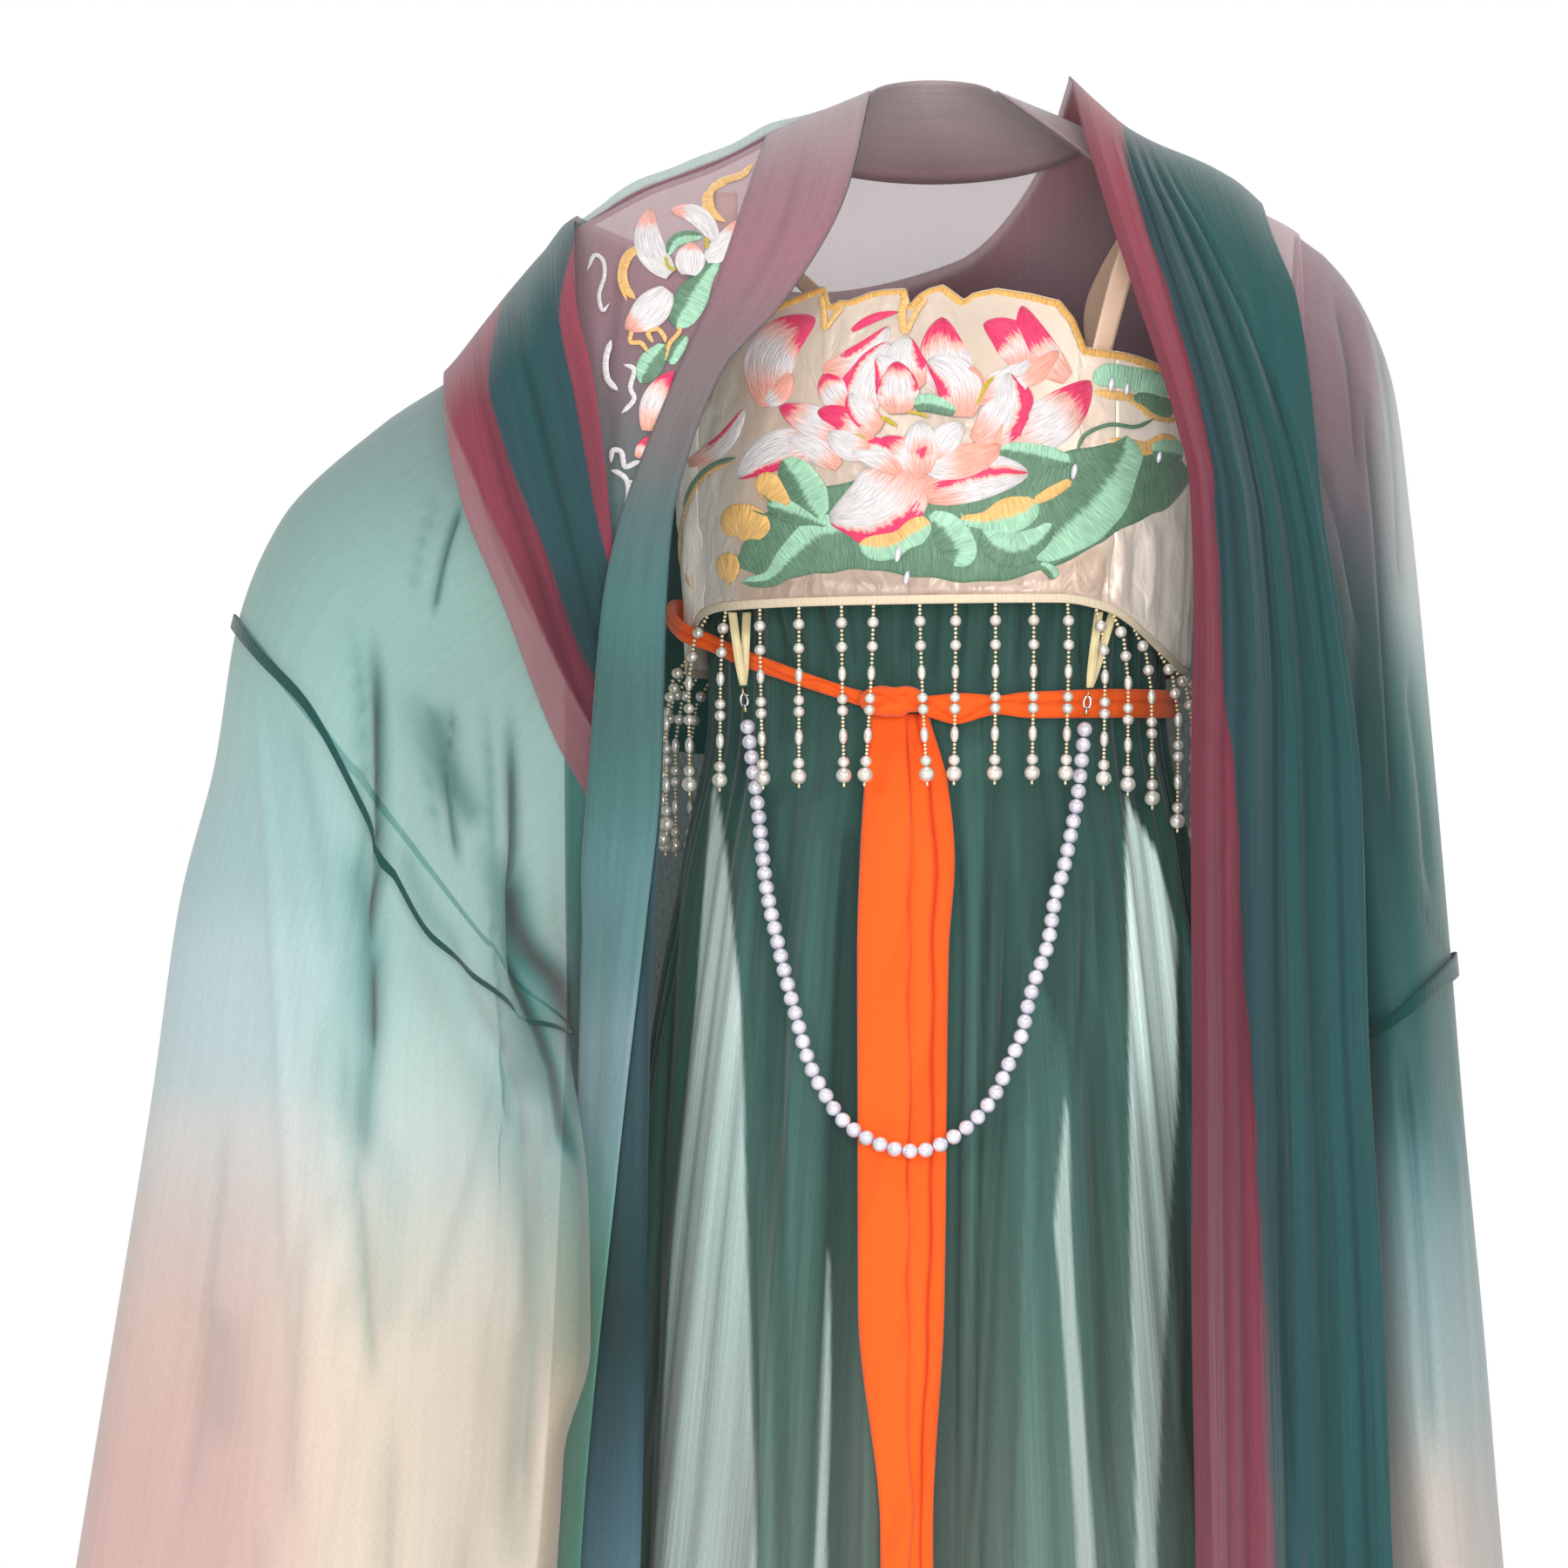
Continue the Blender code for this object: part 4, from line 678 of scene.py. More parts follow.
# ---- Materials ------------------------------------------------------------------------------------
class Shader:
    """A Principled material with short ways to add nodes to it."""

    def __init__(self, name, **sockets):
        self.material = bpy.data.materials.new(name)
        self.material.use_nodes = True
        self.tree = self.material.node_tree
        self.main = self.tree.nodes["Principled BSDF"]
        for socket, value in sockets.items():
            self.main.inputs[socket.replace("_", " ")].default_value = value

    def node(self, kind, inputs=(), **settings):
        made = self.tree.nodes.new("ShaderNode" + kind)
        for key, value in settings.items():
            setattr(made, key, value)
        for key, value in dict(inputs).items():
            if isinstance(value, bpy.types.NodeSocket):
                self.tree.links.new(value, made.inputs[key])
            else:
                made.inputs[key].default_value = value
        return made

    def set(self, socket, value):
        self.tree.links.new(value, self.main.inputs[socket])

    def threads(self, across, along, detail=2.0, distortion=0.0):
        """Noise drawn out along the threads: features per metre across and along."""
        uv = self.node("UVMap", uv_map="cloth")
        scaled = self.node("Mapping", {"Vector": uv.outputs["UV"], "Scale": (across, along, 1.0)})
        noise = self.node(
            "TexNoise",
            {"Vector": scaled.outputs["Vector"], "Scale": 1.0, "Detail": detail,
             "Distortion": distortion},
        )
        return noise.outputs["Fac"]

    def spread(self, value, low, high):
        """A noise value spread from low to high."""
        made = self.node(
            "MapRange",
            {"Value": value, "From Min": 0.3, "From Max": 0.7, "To Min": low, "To Max": high},
        )
        return made.outputs["Result"]

    def dye_and_shade(self):
        """The colour, with its painted shade, and the cover that come with the mesh."""
        found = self.node("Attribute", attribute_name="dye_and_shade")
        return found.outputs["Color"], found.outputs["Alpha"]

    def grain(self, scale, detail):
        """Noise in the object's own space: features per metre."""
        place = self.node("TexCoord")
        inputs = {"Vector": place.outputs["Object"], "Scale": scale, "Detail": detail}
        return self.node("TexNoise", inputs).outputs["Fac"]

    def ramp(self, value, *ends):
        """A colour that follows a value between two ends: (value, colour)."""
        made = self.node("ValToRGB", {"Fac": value})
        for element, (position, colour) in zip(made.color_ramp.elements, ends):
            element.position = position
            element.color = (*linear(colour), 1.0)
        return made.outputs["Color"]

    def times(self, first, second):
        made = self.node("Math", operation="MULTIPLY")
        for i, value in enumerate((first, second)):
            self.tree.links.new(value, made.inputs[i])
        return made.outputs["Value"]

    def tint(self, colour, value):
        """A colour made darker or lighter by a value round 1."""
        made = self.node("VectorMath", operation="SCALE")
        self.tree.links.new(colour, made.inputs[0])
        self.tree.links.new(value, made.inputs["Scale"])
        return made.outputs["Vector"]

    def relief(self, height, strength, distance, under=None):
        inputs = {"Height": height, "Strength": strength, "Distance": distance}
        if under is not None:
            inputs["Normal"] = under
        return self.node("Bump", inputs).outputs["Normal"]


# Threads of the two kinds of dyed cloth: detail of the long streaks, fine threads per metre across
# and along, how far these vary the colour, and the relief of the streaks and of the fine threads.
SHEER = (2.0, 2600.0, 260.0, 0.05, 0.5, 0.30)
WOVEN = (3.0, 1800.0, 900.0, 0.04, 0.6, 0.35)
FINE_RELIEF = 0.0002       # height of the fine threads
COVER_VARIES = 0.04        # how far the fine threads vary the cover of sheer cloth


def dyed_cloth(name, kind, across, along, streak, depth, roughness, sheen, specular):
    """Cloth whose colour comes with the mesh, and its cover too where it is sheer.

    Long streaks, so many per metre across and along, vary the colour and stand up by a depth.
    """
    detail, fine_across, fine_along, vary, streak_relief, fine_relief = kind
    s = Shader(name, Roughness=roughness, Sheen_Weight=sheen, Specular_IOR_Level=specular)
    colour, cover = s.dye_and_shade()
    streaks = s.threads(across, along, detail)
    fine = s.threads(fine_across, fine_along, 1.0)
    value = s.times(s.spread(streaks, 1 - streak, 1 + streak), s.spread(fine, 1 - vary, 1 + vary))
    s.set("Base Color", s.tint(colour, value))
    if kind is SHEER:
        s.set("Alpha", s.times(cover, s.spread(fine, 1 - COVER_VARIES, 1 + COVER_VARIES)))
    lower = s.relief(streaks, streak_relief, depth)
    s.set("Normal", s.relief(fine, fine_relief, FINE_RELIEF, lower))
    return s.material


def satin(name):
    """Satin crumples where the mesh says so, by its cover, and shines along its fine threads."""
    s = Shader(
        name, Roughness=0.30, Metallic=0.12, Sheen_Weight=0.60, Sheen_Roughness=0.35,
        Specular_IOR_Level=0.6, Anisotropic=0.4,
    )
    colour, crumpled = s.dye_and_shade()
    soft = s.threads(70.0, 45.0, detail=2.0, distortion=0.6)
    fine = s.threads(3200.0, 300.0, detail=1.0)
    s.set("Base Color", s.tint(colour, s.spread(soft, 0.94, 1.05)))
    lower = s.relief(s.times(soft, crumpled), 0.9, 0.004)
    s.set("Normal", s.relief(fine, 0.15, 0.0001, lower))
    return s.material


def stitched(name):
    """Embroidery floss: fine threads that run along each patch, catching the light."""
    s = Shader(
        name, Roughness=0.38, Sheen_Weight=0.5, Sheen_Roughness=0.3, Specular_IOR_Level=0.5,
    )
    colour, _ = s.dye_and_shade()
    floss = s.threads(1250.0, 110.0, detail=2.0)
    s.set("Base Color", s.tint(colour, s.spread(floss, 0.74, 1.14)))
    s.set("Normal", s.relief(floss, 1.0, 0.0010))
    return s.material


def pearl(name, colour, glow, lustre):
    """Nacre or glass with a cloudy colour under a clear coat."""
    s = Shader(
        name, Roughness=0.24, Metallic=lustre, Coat_Weight=1.0, Coat_Roughness=0.06,
        Specular_IOR_Level=0.8, Subsurface_Weight=0.10, Subsurface_Scale=0.002,
        Base_Color=(*linear(colour), 1.0),
    )
    clouds = s.grain(160.0, 2.0)
    s.set("Base Color", s.ramp(clouds, (0.35, colour), (0.65, glow)))
    s.set("Normal", s.relief(clouds, 0.08, 0.0003))
    return s.material


def metal(name, colour, roughness):
    s = Shader(name, Metallic=1.0, Base_Color=(*linear(colour), 1.0))
    wear = s.grain(900.0, 2.0)
    s.set("Roughness", s.spread(wear, roughness * 0.7, roughness * 1.3))
    s.set("Normal", s.relief(wear, 0.1, 0.0002))
    return s.material


def stone(name, colour):
    s = Shader(name, Roughness=0.9)
    s.set("Base Color", s.ramp(s.grain(3.0, 3.0), (0.0, np.array(colour) - 5), (1.0, colour)))
    return s.material


ORGANZA = dyed_cloth("organza", SHEER, 260.0, 9.0, 0.05, 0.0006, 0.55, 0.2, 0.25)
CHIFFON = dyed_cloth("chiffon", SHEER, 420.0, 7.0, 0.10, 0.0012, 0.7, 0.25, 0.2)
CREPE = dyed_cloth("crepe", WOVEN, 380.0, 12.0, 0.08, 0.0012, 0.75, 0.3, 0.2)
CREPE_BAND = dyed_cloth("crepe_band", SHEER, 300.0, 14.0, 0.06, 0.0006, 0.6, 0.25, 0.25)
CREPE_SHAWL = dyed_cloth("crepe_shawl", SHEER, 520.0, 9.0, 0.10, 0.0012, 0.75, 0.3, 0.2)
SASH_CREPE = dyed_cloth("sash_crepe", WOVEN, 240.0, 150.0, 0.025, 0.0004, 0.8, 0.2, 0.2)
SATIN = satin("satin")
FLOSS = stitched("floss")
RIBBON = dyed_cloth("ribbon", WOVEN, 900.0, 60.0, 0.04, 0.0003, 0.35, 0.3, 0.5)
TAPE_CLOTH = dyed_cloth("ribbed_tape", WOVEN, 900.0, 20.0, 0.10, 0.0008, 0.7, 0.2, 0.3)
WARM_PEARL = pearl("warm_pearl", (216, 209, 198), (234, 229, 220), 0.40)
COOL_PEARL = pearl("cool_pearl", (208, 204, 218), (234, 230, 240), 0.22)
GOLD = metal("gold", (226, 196, 132), 0.28)
SEED_GLASS = pearl("seed_glass", (224, 204, 158), (244, 230, 196), 0.30)
SILVER = metal("silver", (205, 205, 205), 0.2)


# ---- Camera and pearl swag ------------------------------------------------------------------------
IMAGE = 1800.0                          # side of the image on the layout sheet
VIEW_DISTANCE = 9.0
SENSOR = 36.0


def make_camera():
    """Level with the image's middle and straight in front, as the photo was taken."""
    data = bpy.data.cameras.new("camera")
    data.sensor_width = SENSOR
    data.lens = SENSOR * VIEW_DISTANCE / (IMAGE / SHEET_UNIT)
    data.clip_end = 100.0
    made = bpy.data.objects.new("camera", data)
    x, z = off_sheet(IMAGE / 2, IMAGE / 2)
    made.location = (float(x), -VIEW_DISTANCE, float(z))
    made.rotation_euler = (math.radians(90), 0.0, 0.0)
    COLLECTION.objects.link(made)
    bpy.context.scene.camera = made


def ball(segments, rings):
    """Points and faces of a ball of radius 1, with its axis along z."""
    turn = np.linspace(0, 2 * math.pi, segments, endpoint=False)
    tilt = np.linspace(0, math.pi, rings + 1)[1:-1]
    ring = np.stack(
        np.broadcast_arrays(
            np.sin(tilt)[:, None] * np.cos(turn), np.sin(tilt)[:, None] * np.sin(turn),
            np.cos(tilt)[:, None],
        ), axis=-1,
    ).reshape(-1, 3)
    points = np.vstack([ring, [[0, 0, 1], [0, 0, -1]]])
    faces = [tuple(face) for face in grid_faces(rings - 1, segments, True)]
    top, low = len(ring), len(ring) + 1
    last = (rings - 2) * segments
    for i in range(segments):
        j = (i + 1) % segments
        faces.append((top, i, j))
        faces.append((low, last + j, last + i))
    return points, faces


def beads(name, places, segments, rings, material):
    """Many balls in one mesh: (centre, axis, radius across, half length along the axis)."""
    points, faces = ball(segments, rings)
    all_points, all_faces = [], []
    for i, (centre, axis, radius, half) in enumerate(places):
        axis = unit(np.asarray(axis, dtype=float))
        side = unit(np.cross(axis, (0.3, 1.0, 0.2)))
        ways = np.stack([side, np.cross(axis, side), axis])
        all_points.append((points * (radius, radius, half)) @ ways + centre)
        all_faces.extend(tuple(corner + i * len(points) for corner in face) for face in faces)
    return put(name, mesh_of(name, np.vstack(all_points), all_faces), material)


def tube(name, line, radius, material, closed=False, sides=4, capped_ends=True):
    """A round bar along a line of points."""
    data = bpy.data.curves.new(name, "CURVE")
    data.dimensions = "3D"
    data.bevel_depth = radius
    data.bevel_resolution = sides
    data.use_fill_caps = capped_ends and not closed
    spline = data.splines.new("POLY")
    spline.points.add(len(line) - 1)
    for spot, point in zip(spline.points, line):
        spot.co = (*point, 1.0)
    spline.use_cyclic_u = closed
    return put(name, data, material)


PEARL_PITCH = 0.0084
SWAG_OUT = (0.0055, 0.0075, -0.330, 0.08)   # off the skirt at first, further off below a height, softness
PEARL_HALVES = (PEARL * 0.52, PEARL * 0.515)    # half sizes of a pearl across and along the thread
THREAD = 0.0004            # half thickness of the thread


def swag_route():
    """The swag hangs behind the bead strands, then in front of the skirt and the sash's tails."""
    x, z = smooth_line(CHAIN, 400).T
    least, more, begin, soft = SWAG_OUT
    on_skirt = skirt_front_depth(x, z, least + more * ease((begin - z) / soft))
    return xyz(x, -larger(waist_depth(x, CHAIN_OUT), on_skirt), z)


def along_route(route, spacing):
    """Evenly spaced points on a route, as near to a spacing as fits, and the whole length."""
    whole = lengths(route)[-1]
    count = round(whole / spacing)
    return points_at(route, (np.arange(count) + 0.5) * whole / count), whole


def make_swag():
    route = swag_route()
    centres, length = along_route(route, PEARL_PITCH)
    places = [(*pair, *PEARL_HALVES) for pair in zip(centres, np.gradient(centres, axis=0))]
    made = beads("swag_pearls", places, 20, 12, COOL_PEARL)
    thread = tube("swag_thread", centres, THREAD, RIBBON, sides=2, capped_ends=False)
    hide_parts("pearl_chain")


# ---- Dyes -----------------------------------------------------------------------------------------
# Each row: down the layout sheet, red, green, blue, cover. A few tables also hold painted shade.
SLEEVE_RIGHT_PINK = (
    (230, 150, 128, 136, 0.80), (420, 126, 142, 142, 0.78), (560, 116, 152, 146, 0.72),
    (700, 118, 165, 156, 0.64), (850, 130, 180, 175, 0.58), (1000, 140, 182, 186, 0.56),
    (1100, 165, 196, 203, 0.54), (1230, 172, 196, 199, 0.52), (1290, 200, 198, 196, 0.52),
    (1400, 208, 186, 178, 0.55), (1550, 214, 175, 162, 0.58), (1740, 214, 168, 160, 0.62),
    (2200, 225, 185, 170, 0.60), (2700, 238, 215, 200, 0.58),
)
SLEEVE_RIGHT_CREAM = (
    (230, 150, 128, 136, 0.80), (420, 126, 142, 142, 0.78), (560, 116, 152, 146, 0.72),
    (700, 118, 170, 158, 0.62), (900, 130, 182, 172, 0.58), (1100, 150, 200, 190, 0.55),
    (1300, 190, 212, 205, 0.50), (1450, 215, 210, 190, 0.50), (1600, 226, 206, 180, 0.52),
    (1740, 228, 208, 182, 0.52), (2200, 232, 215, 195, 0.50), (2700, 238, 222, 205, 0.50),
)
# The left sleeve near the shawl: its dye, darkened by painted shade.
SLEEVE_LEFT_INNER = (
    (240, 160, 120, 130, 0.78), (350, 140, 112, 120, 0.82), (470, 116, 92, 100, 0.84),
    (600, 92, 86, 92, 0.88), (720, 52, 74, 74, 0.92), (900, 20, 66, 64, 0.95),
    (1100, 36, 86, 84, 0.93), (1250, 54, 98, 98, 0.90), (1350, 100, 138, 140, 0.86),
    (1480, 138, 164, 166, 0.82), (1600, 160, 176, 174, 0.80), (1740, 204, 192, 184, 0.76),
    (2700, 228, 208, 198, 0.60),
)
SLEEVE_LEFT_OUTER = (
    (240, 172, 142, 150, 0.74), (340, 176, 156, 160, 0.68), (420, 190, 188, 186, 0.58),
    (480, 200, 206, 202, 0.54), (560, 202, 208, 204, 0.55), (680, 190, 204, 202, 0.58),
    (800, 110, 150, 146, 0.72), (950, 60, 112, 106, 0.84), (1120, 46, 98, 92, 0.90),
    (1300, 70, 118, 118, 0.84), (1420, 126, 154, 156, 0.78), (1600, 156, 174, 174, 0.74),
    (1740, 184, 178, 172, 0.72), (2700, 230, 210, 200, 0.55),
)
ROBE_DYE = (
    (100, 190, 150, 156, 0.58), (240, 186, 150, 156, 0.58), (400, 158, 128, 136, 0.60),
    (600, 96, 122, 120, 0.74), (900, 58, 108, 102, 0.82), (1300, 60, 108, 104, 0.86),
    (1500, 66, 112, 106, 0.82), (1750, 132, 156, 150, 0.74), (2200, 220, 190, 178, 0.66),
    (3200, 236, 214, 200, 0.60),
)
# The panel beside the collar band: its own dark colour, deepened by painted shade.
PANEL_DYE_AND_SHADE = (
    (700, 70, 100, 108, 0.92), (950, 52, 80, 88, 0.94), (1300, 46, 76, 82, 0.95),
    (1500, 34, 66, 68, 0.96), (1600, 50, 82, 90, 0.95), (1760, 76, 112, 126, 0.93),
    (2200, 205, 185, 178, 0.85), (3200, 232, 212, 200, 0.80),
)
BAND_DYE = (
    (90, 176, 158, 160, 0.80), (160, 164, 140, 144, 0.86), (230, 150, 112, 120, 0.92),
    (300, 148, 106, 116, 0.94), (400, 126, 106, 110, 0.95), (520, 108, 104, 104, 0.96),
    (600, 80, 104, 104, 0.96), (700, 66, 108, 106, 0.96), (800, 62, 98, 96, 0.96),
    (900, 68, 110, 108, 0.96), (1000, 90, 130, 132, 0.96), (1100, 104, 142, 144, 0.96),
    (1200, 130, 158, 164, 0.96), (1300, 124, 158, 162, 0.96), (1400, 109, 162, 153, 0.96),
    (1500, 94, 146, 130, 0.96), (1740, 94, 150, 132, 0.95), (2200, 190, 180, 168, 0.92),
    (3200, 230, 208, 196, 0.90),
)
SKIRT_DYE = (
    (600, 43, 78, 71, 0.97), (700, 45, 80, 73, 0.97), (900, 49, 84, 77, 0.96),
    (1200, 58, 92, 85, 0.95), (1500, 68, 98, 91, 0.94), (1740, 84, 108, 100, 0.94),
    (2400, 96, 126, 118, 0.94), (3400, 110, 138, 130, 0.94),
)
TEAL_DYE = (
    (90, 34, 82, 78, 0.97), (300, 32, 78, 77, 0.97), (700, 30, 71, 72, 0.97),
    (1200, 34, 77, 78, 0.97), (1800, 37, 80, 81, 0.96), (2500, 46, 92, 92, 0.96),
)
TEAL_INNER_DYE = (
    (90, 38, 70, 74, 0.97), (500, 38, 68, 74, 0.97), (1200, 38, 69, 75, 0.97),
    (2500, 50, 84, 88, 0.96),
)
BURGUNDY_DYE = (
    (90, 150, 74, 86, 0.92), (300, 142, 66, 80, 0.93), (700, 122, 52, 68, 0.95),
    (1200, 116, 50, 66, 0.95), (1800, 126, 60, 76, 0.95), (2500, 138, 72, 88, 0.94),
)


# ---- Robe -----------------------------------------------------------------------------------------
ROW_POWER = 1.35           # rows lie closer at the shoulder's roll
RIDGE_SHARES = np.linspace(0, 1, 150) ** ROW_POWER
PANEL_FADE = 0.004         # the panel's own colour and painted shade beside the band end within this of its edge
BAND_WALL = 0.0007         # thickness of the collar band
BAND_LOOSE = (-0.265, 0.13, 0.05)    # height at which the band lies loose, half reach, softness
RIM_SHADE = 0.10           # shade and width of the band's two rims
RIM_WIDTH = 0.08
# The band round the neck: distance behind the middle and height of its inner edge, its rise behind,
# its width as a share of the way to the robe's edge, its swell, and the rise of its two ends.
NECK_BACK = 0.057
NECK_Z = 0.062
NECK_BEND = 0.010
NECK_REACH = 1.09
NECK_SWELL = 0.004
NECK_ENDS = 0.0016
BACK_DROP = 0.0012         # the back's neckline keeps this far under the band
LINING = (500, 120, 0.94)  # where the back lies double: down the sheet, softness, cover
# The right sleeve's inner fold swells to lie against the robe: how far, how wide, and where.
ROBE_LAP = 0.0125
LAP_WIDTH = (40, 34)
LAP_SPAN = (1050, 80, 1660, 120)
BEHIND = (34, 20)          # creases behind are those in front, moved by this on the sheet
LEFT_OUTSIDE = (1556, 0.07, 500, 70)    # the left sleeve is paler away from the shawl, and darker near it with painted shade: right, slant, down, softness
RIGHT_CREAM = (250, -0.05, 1740, 190)   # cream inside of the right sleeve, in the same way
ARM_SHADE = 0.24           # painted shade over the right sleeve's inner part: how much, and where
ARM_RIGHT = (370, 160)
ARM_DOWN = (640, 160, 2400, 500)
SLEEVE_FOLD = (0.16, 0.35) # shade and width, in radians, of the sleeves' outer folded edge
RED_FADES = (1.35, 0.95, 0.95)      # painted crease shade takes away more red than green and blue
SEAM_TUCK = 0.0045         # the sleeves' first rows reach this far under the robe
SEAM_ROWS = 5
BINDING_HALF = 0.055       # half width of the seam bindings, in rings of the sleeve
BINDING_COLOUR = (18, 70, 65)


def even_aways(first, last, half_width, count):
    """Distances from the middle, evenly spaced round the section."""
    start = np.arcsin(np.minimum(first / half_width, 1.0))
    end = np.arcsin(np.minimum(last / half_width, 1.0))
    return half_width * np.sin(mix(start, end, np.linspace(0, 1, count)))


def edge_of(table, column):
    """An edge's distance from the middle, as a function of the share of the way down."""
    return lambda share: float(edge_at(table, column, np.array(share), ROBE_HEM_Z))


def side_of(share):
    return float(side_edge(np.array(share)))


def front_rows(first_of, last_of, count):
    """Distances from the middle and heights for a grid between two edges of a front."""
    aways, heights = [], []
    for share in RIDGE_SHARES:
        first, last = first_of(share), last_of(share)
        z = mix(look(RIDGE, last)[0], ROBE_HEM_Z, share)
        away = even_aways(first, last, max(look(ROBE_FORM, z)[0], last), count)
        aways.append(away)
        heights.append(mix(look(RIDGE, away)[0], ROBE_HEM_Z, share))
    return np.array(aways), np.array(heights)


def make_robe_front(name, node, side, edges, creases):
    away, z = front_rows(edge_of(edges, 0), side_of, 70)
    grid = robe_front(side, away, z)
    right, down = on_sheet(grid)
    push, shade = near_lines(right, down, creases)
    inner = edge_at(edges, 1, RIDGE_SHARES, ROBE_HEM_Z)[:, None]
    panel = ease((inner + PANEL_FADE - away) / PANEL_FADE)[..., None]
    # The panel beside the band takes its colour with painted shade.
    colours = mix(dyed(ROBE_DYE, down), dyed(PANEL_DYE_AND_SHADE, down), panel)
    grid = grid + facing(grid) * np.minimum(push, 0.0)[..., None]
    made = cloth(name, grid, darker(colours, shade), ORGANZA)
    trims = []
    if side < 0:
        trims.append(embroider("yoke_spray", on_yoke, YOKE_PETALS, YOKE_FILLS, YOKE_LINES))
    sheet(made, grid, [node], with_pieces=trims)


def make_band(name, node, side, edges, lift, creases):
    away, z = front_rows(edge_of(edges, 1), edge_of(edges, 2), 15)
    across = np.linspace(0, 1, 15)
    middle, reach, soft = BAND_LOOSE
    loose = lift * ease((reach - np.abs(z - middle)) / soft) * ease(across * 1.5)
    grid = robe_front(side, away, z, LAY + loose)
    right, down = on_sheet(grid)
    push, shade = near_lines(right, down, creases)
    grid = grid + facing(grid) * push[..., None]
    rim = RIM_SHADE * (ease(1 - across / RIM_WIDTH) + ease(1 - (1 - across) / RIM_WIDTH))
    colours = darker(dyed(BAND_DYE, down), np.maximum(shade, rim))
    made = cloth(name, grid, colours, CREPE_BAND, thickness=BAND_WALL)
    sheet(made, grid, [node])


def make_neck_band():
    """The collar band's stretch round the back of the neck."""
    turn = np.linspace(-math.pi / 2, math.pi / 2, 90)[:, None]
    share = np.linspace(0, NECK_REACH, 14)[None, :]
    bend = np.cos(turn)
    inner = xyz(COLLAR_IN * np.sin(turn), NECK_BACK * bend, NECK_Z + NECK_BEND * bend)
    away = COLLAR_OUT * np.abs(np.sin(turn))
    z = look(RIDGE, COLLAR_OUT)[0] - NECK_SCOOP * bend
    outer = xyz(np.sign(turn) * away, robe_depth(away, z), z)
    grid = mix(inner, outer, share[..., None])
    grid[..., 2] += NECK_SWELL * np.sin(math.pi * share) * bend
    grid[..., 0] += ROBE_X
    grid[..., 1] += CLOTH_GAP
    grid[[0, -1], :, 2] += NECK_ENDS
    _, down = on_sheet(grid)
    made = cloth("collar_neck", grid, dyed(BAND_DYE, down), CREPE_BAND, thickness=BAND_WALL)
    sheet(made, grid, ["collar_band_neck"])


def make_robe_back():
    rows, columns = 110, 110
    grid = np.zeros((rows, columns, 3))
    for i, share in enumerate(np.linspace(0, 1, rows) ** ROW_POWER):
        side = side_of(share)
        half_width = max(float(look(ROBE_FORM, mix(look(RIDGE, side)[0], ROBE_HEM_Z, share))[0]), side)
        limit = math.asin(side / half_width)
        x = half_width * np.sin(np.linspace(-limit, limit, columns))
        away = np.abs(x)
        neckline = look(RIDGE, COLLAR_OUT)[0] - BACK_DROP
        neckline = neckline - NECK_SCOOP * np.sqrt(np.maximum(1 - (away / COLLAR_OUT) ** 2, 0))
        top = np.where(away < COLLAR_OUT, neckline, look(RIDGE, away)[0])
        z = mix(top, ROBE_HEM_Z, share)
        grid[i] = xyz(ROBE_X + x, robe_depth(away, z) + CLOTH_GAP, z)
    right, down = on_sheet(grid)
    push, shade = near_lines(right, down, BACK_CREASES)
    grid = grid + facing(grid) * push[..., None]
    colours = darker(dyed(ROBE_DYE, down), shade)
    begin, soft, cover = LINING
    colours[..., 3] = np.maximum(colours[..., 3], cover * ease((down - begin) / soft))
    made = cloth("back_cloth", grid, colours, ORGANZA)
    sheet(made, grid, ["robe_back"])


def sleeve_grid(table, places, turns, creases, out=0.0):
    grid = sleeve_point(table, places[:, None], turns[None, :], out)
    right, down = on_sheet(grid)
    normal = facing(grid, closed=True)
    front = normal[..., 1] < 0
    push_front, shade_front = near_lines(right, down, creases)
    push_back, shade_back = near_lines(right + BEHIND[0], down + BEHIND[1], creases)
    push = np.where(front, push_front, push_back) * np.minimum(np.abs(normal[..., 1]) * 2, 1)
    grid = grid + normal * push[..., None]
    if table is RIGHT_SLEEVE:
        begin, soft, end, fall = LAP_SPAN
        inner = ease((right - right.max(axis=1, keepdims=True) + LAP_WIDTH[0]) / LAP_WIDTH[1])
        lap = ROBE_LAP * inner * ease((down - begin) / soft) * ease((end - down) / fall)
        grid[..., 0] += lap
    return grid, np.where(front, shade_front, shade_back)


def slanting(right, down, line):
    """0 on the left and 1 on the right of a slanting line on the sheet."""
    place, slant, at, soft = line
    return ease((right - place - slant * (down - at)) / soft)[..., None]


def sleeve_colours(grid, side, shade, turns):
    right, down = on_sheet(grid)
    if side > 0:
        # Painted shade darkens the part of the left sleeve near the shawl.
        outer = slanting(right, down, LEFT_OUTSIDE)
        colours = mix(dyed(SLEEVE_LEFT_INNER, down), dyed(SLEEVE_LEFT_OUTER, down), outer)
    else:
        cream = slanting(right, down, RIGHT_CREAM)
        colours = mix(dyed(SLEEVE_RIGHT_PINK, down), dyed(SLEEVE_RIGHT_CREAM, down), cream)
        # Painted shade over the inner part of the right sleeve.
        begin, soft, end, fall = ARM_DOWN
        inner = ease((right - ARM_RIGHT[0]) / ARM_RIGHT[1]) * ease((down - begin) / soft)
        dim(colours, 1 - ARM_SHADE * (inner * ease((end - down) / fall)))
    most, width = SLEEVE_FOLD
    folded = most * bell(np.minimum(turns, 2 * math.pi - turns), width)
    return darker(colours, np.maximum(shade, np.broadcast_to(folded, shade.shape)), RED_FADES)


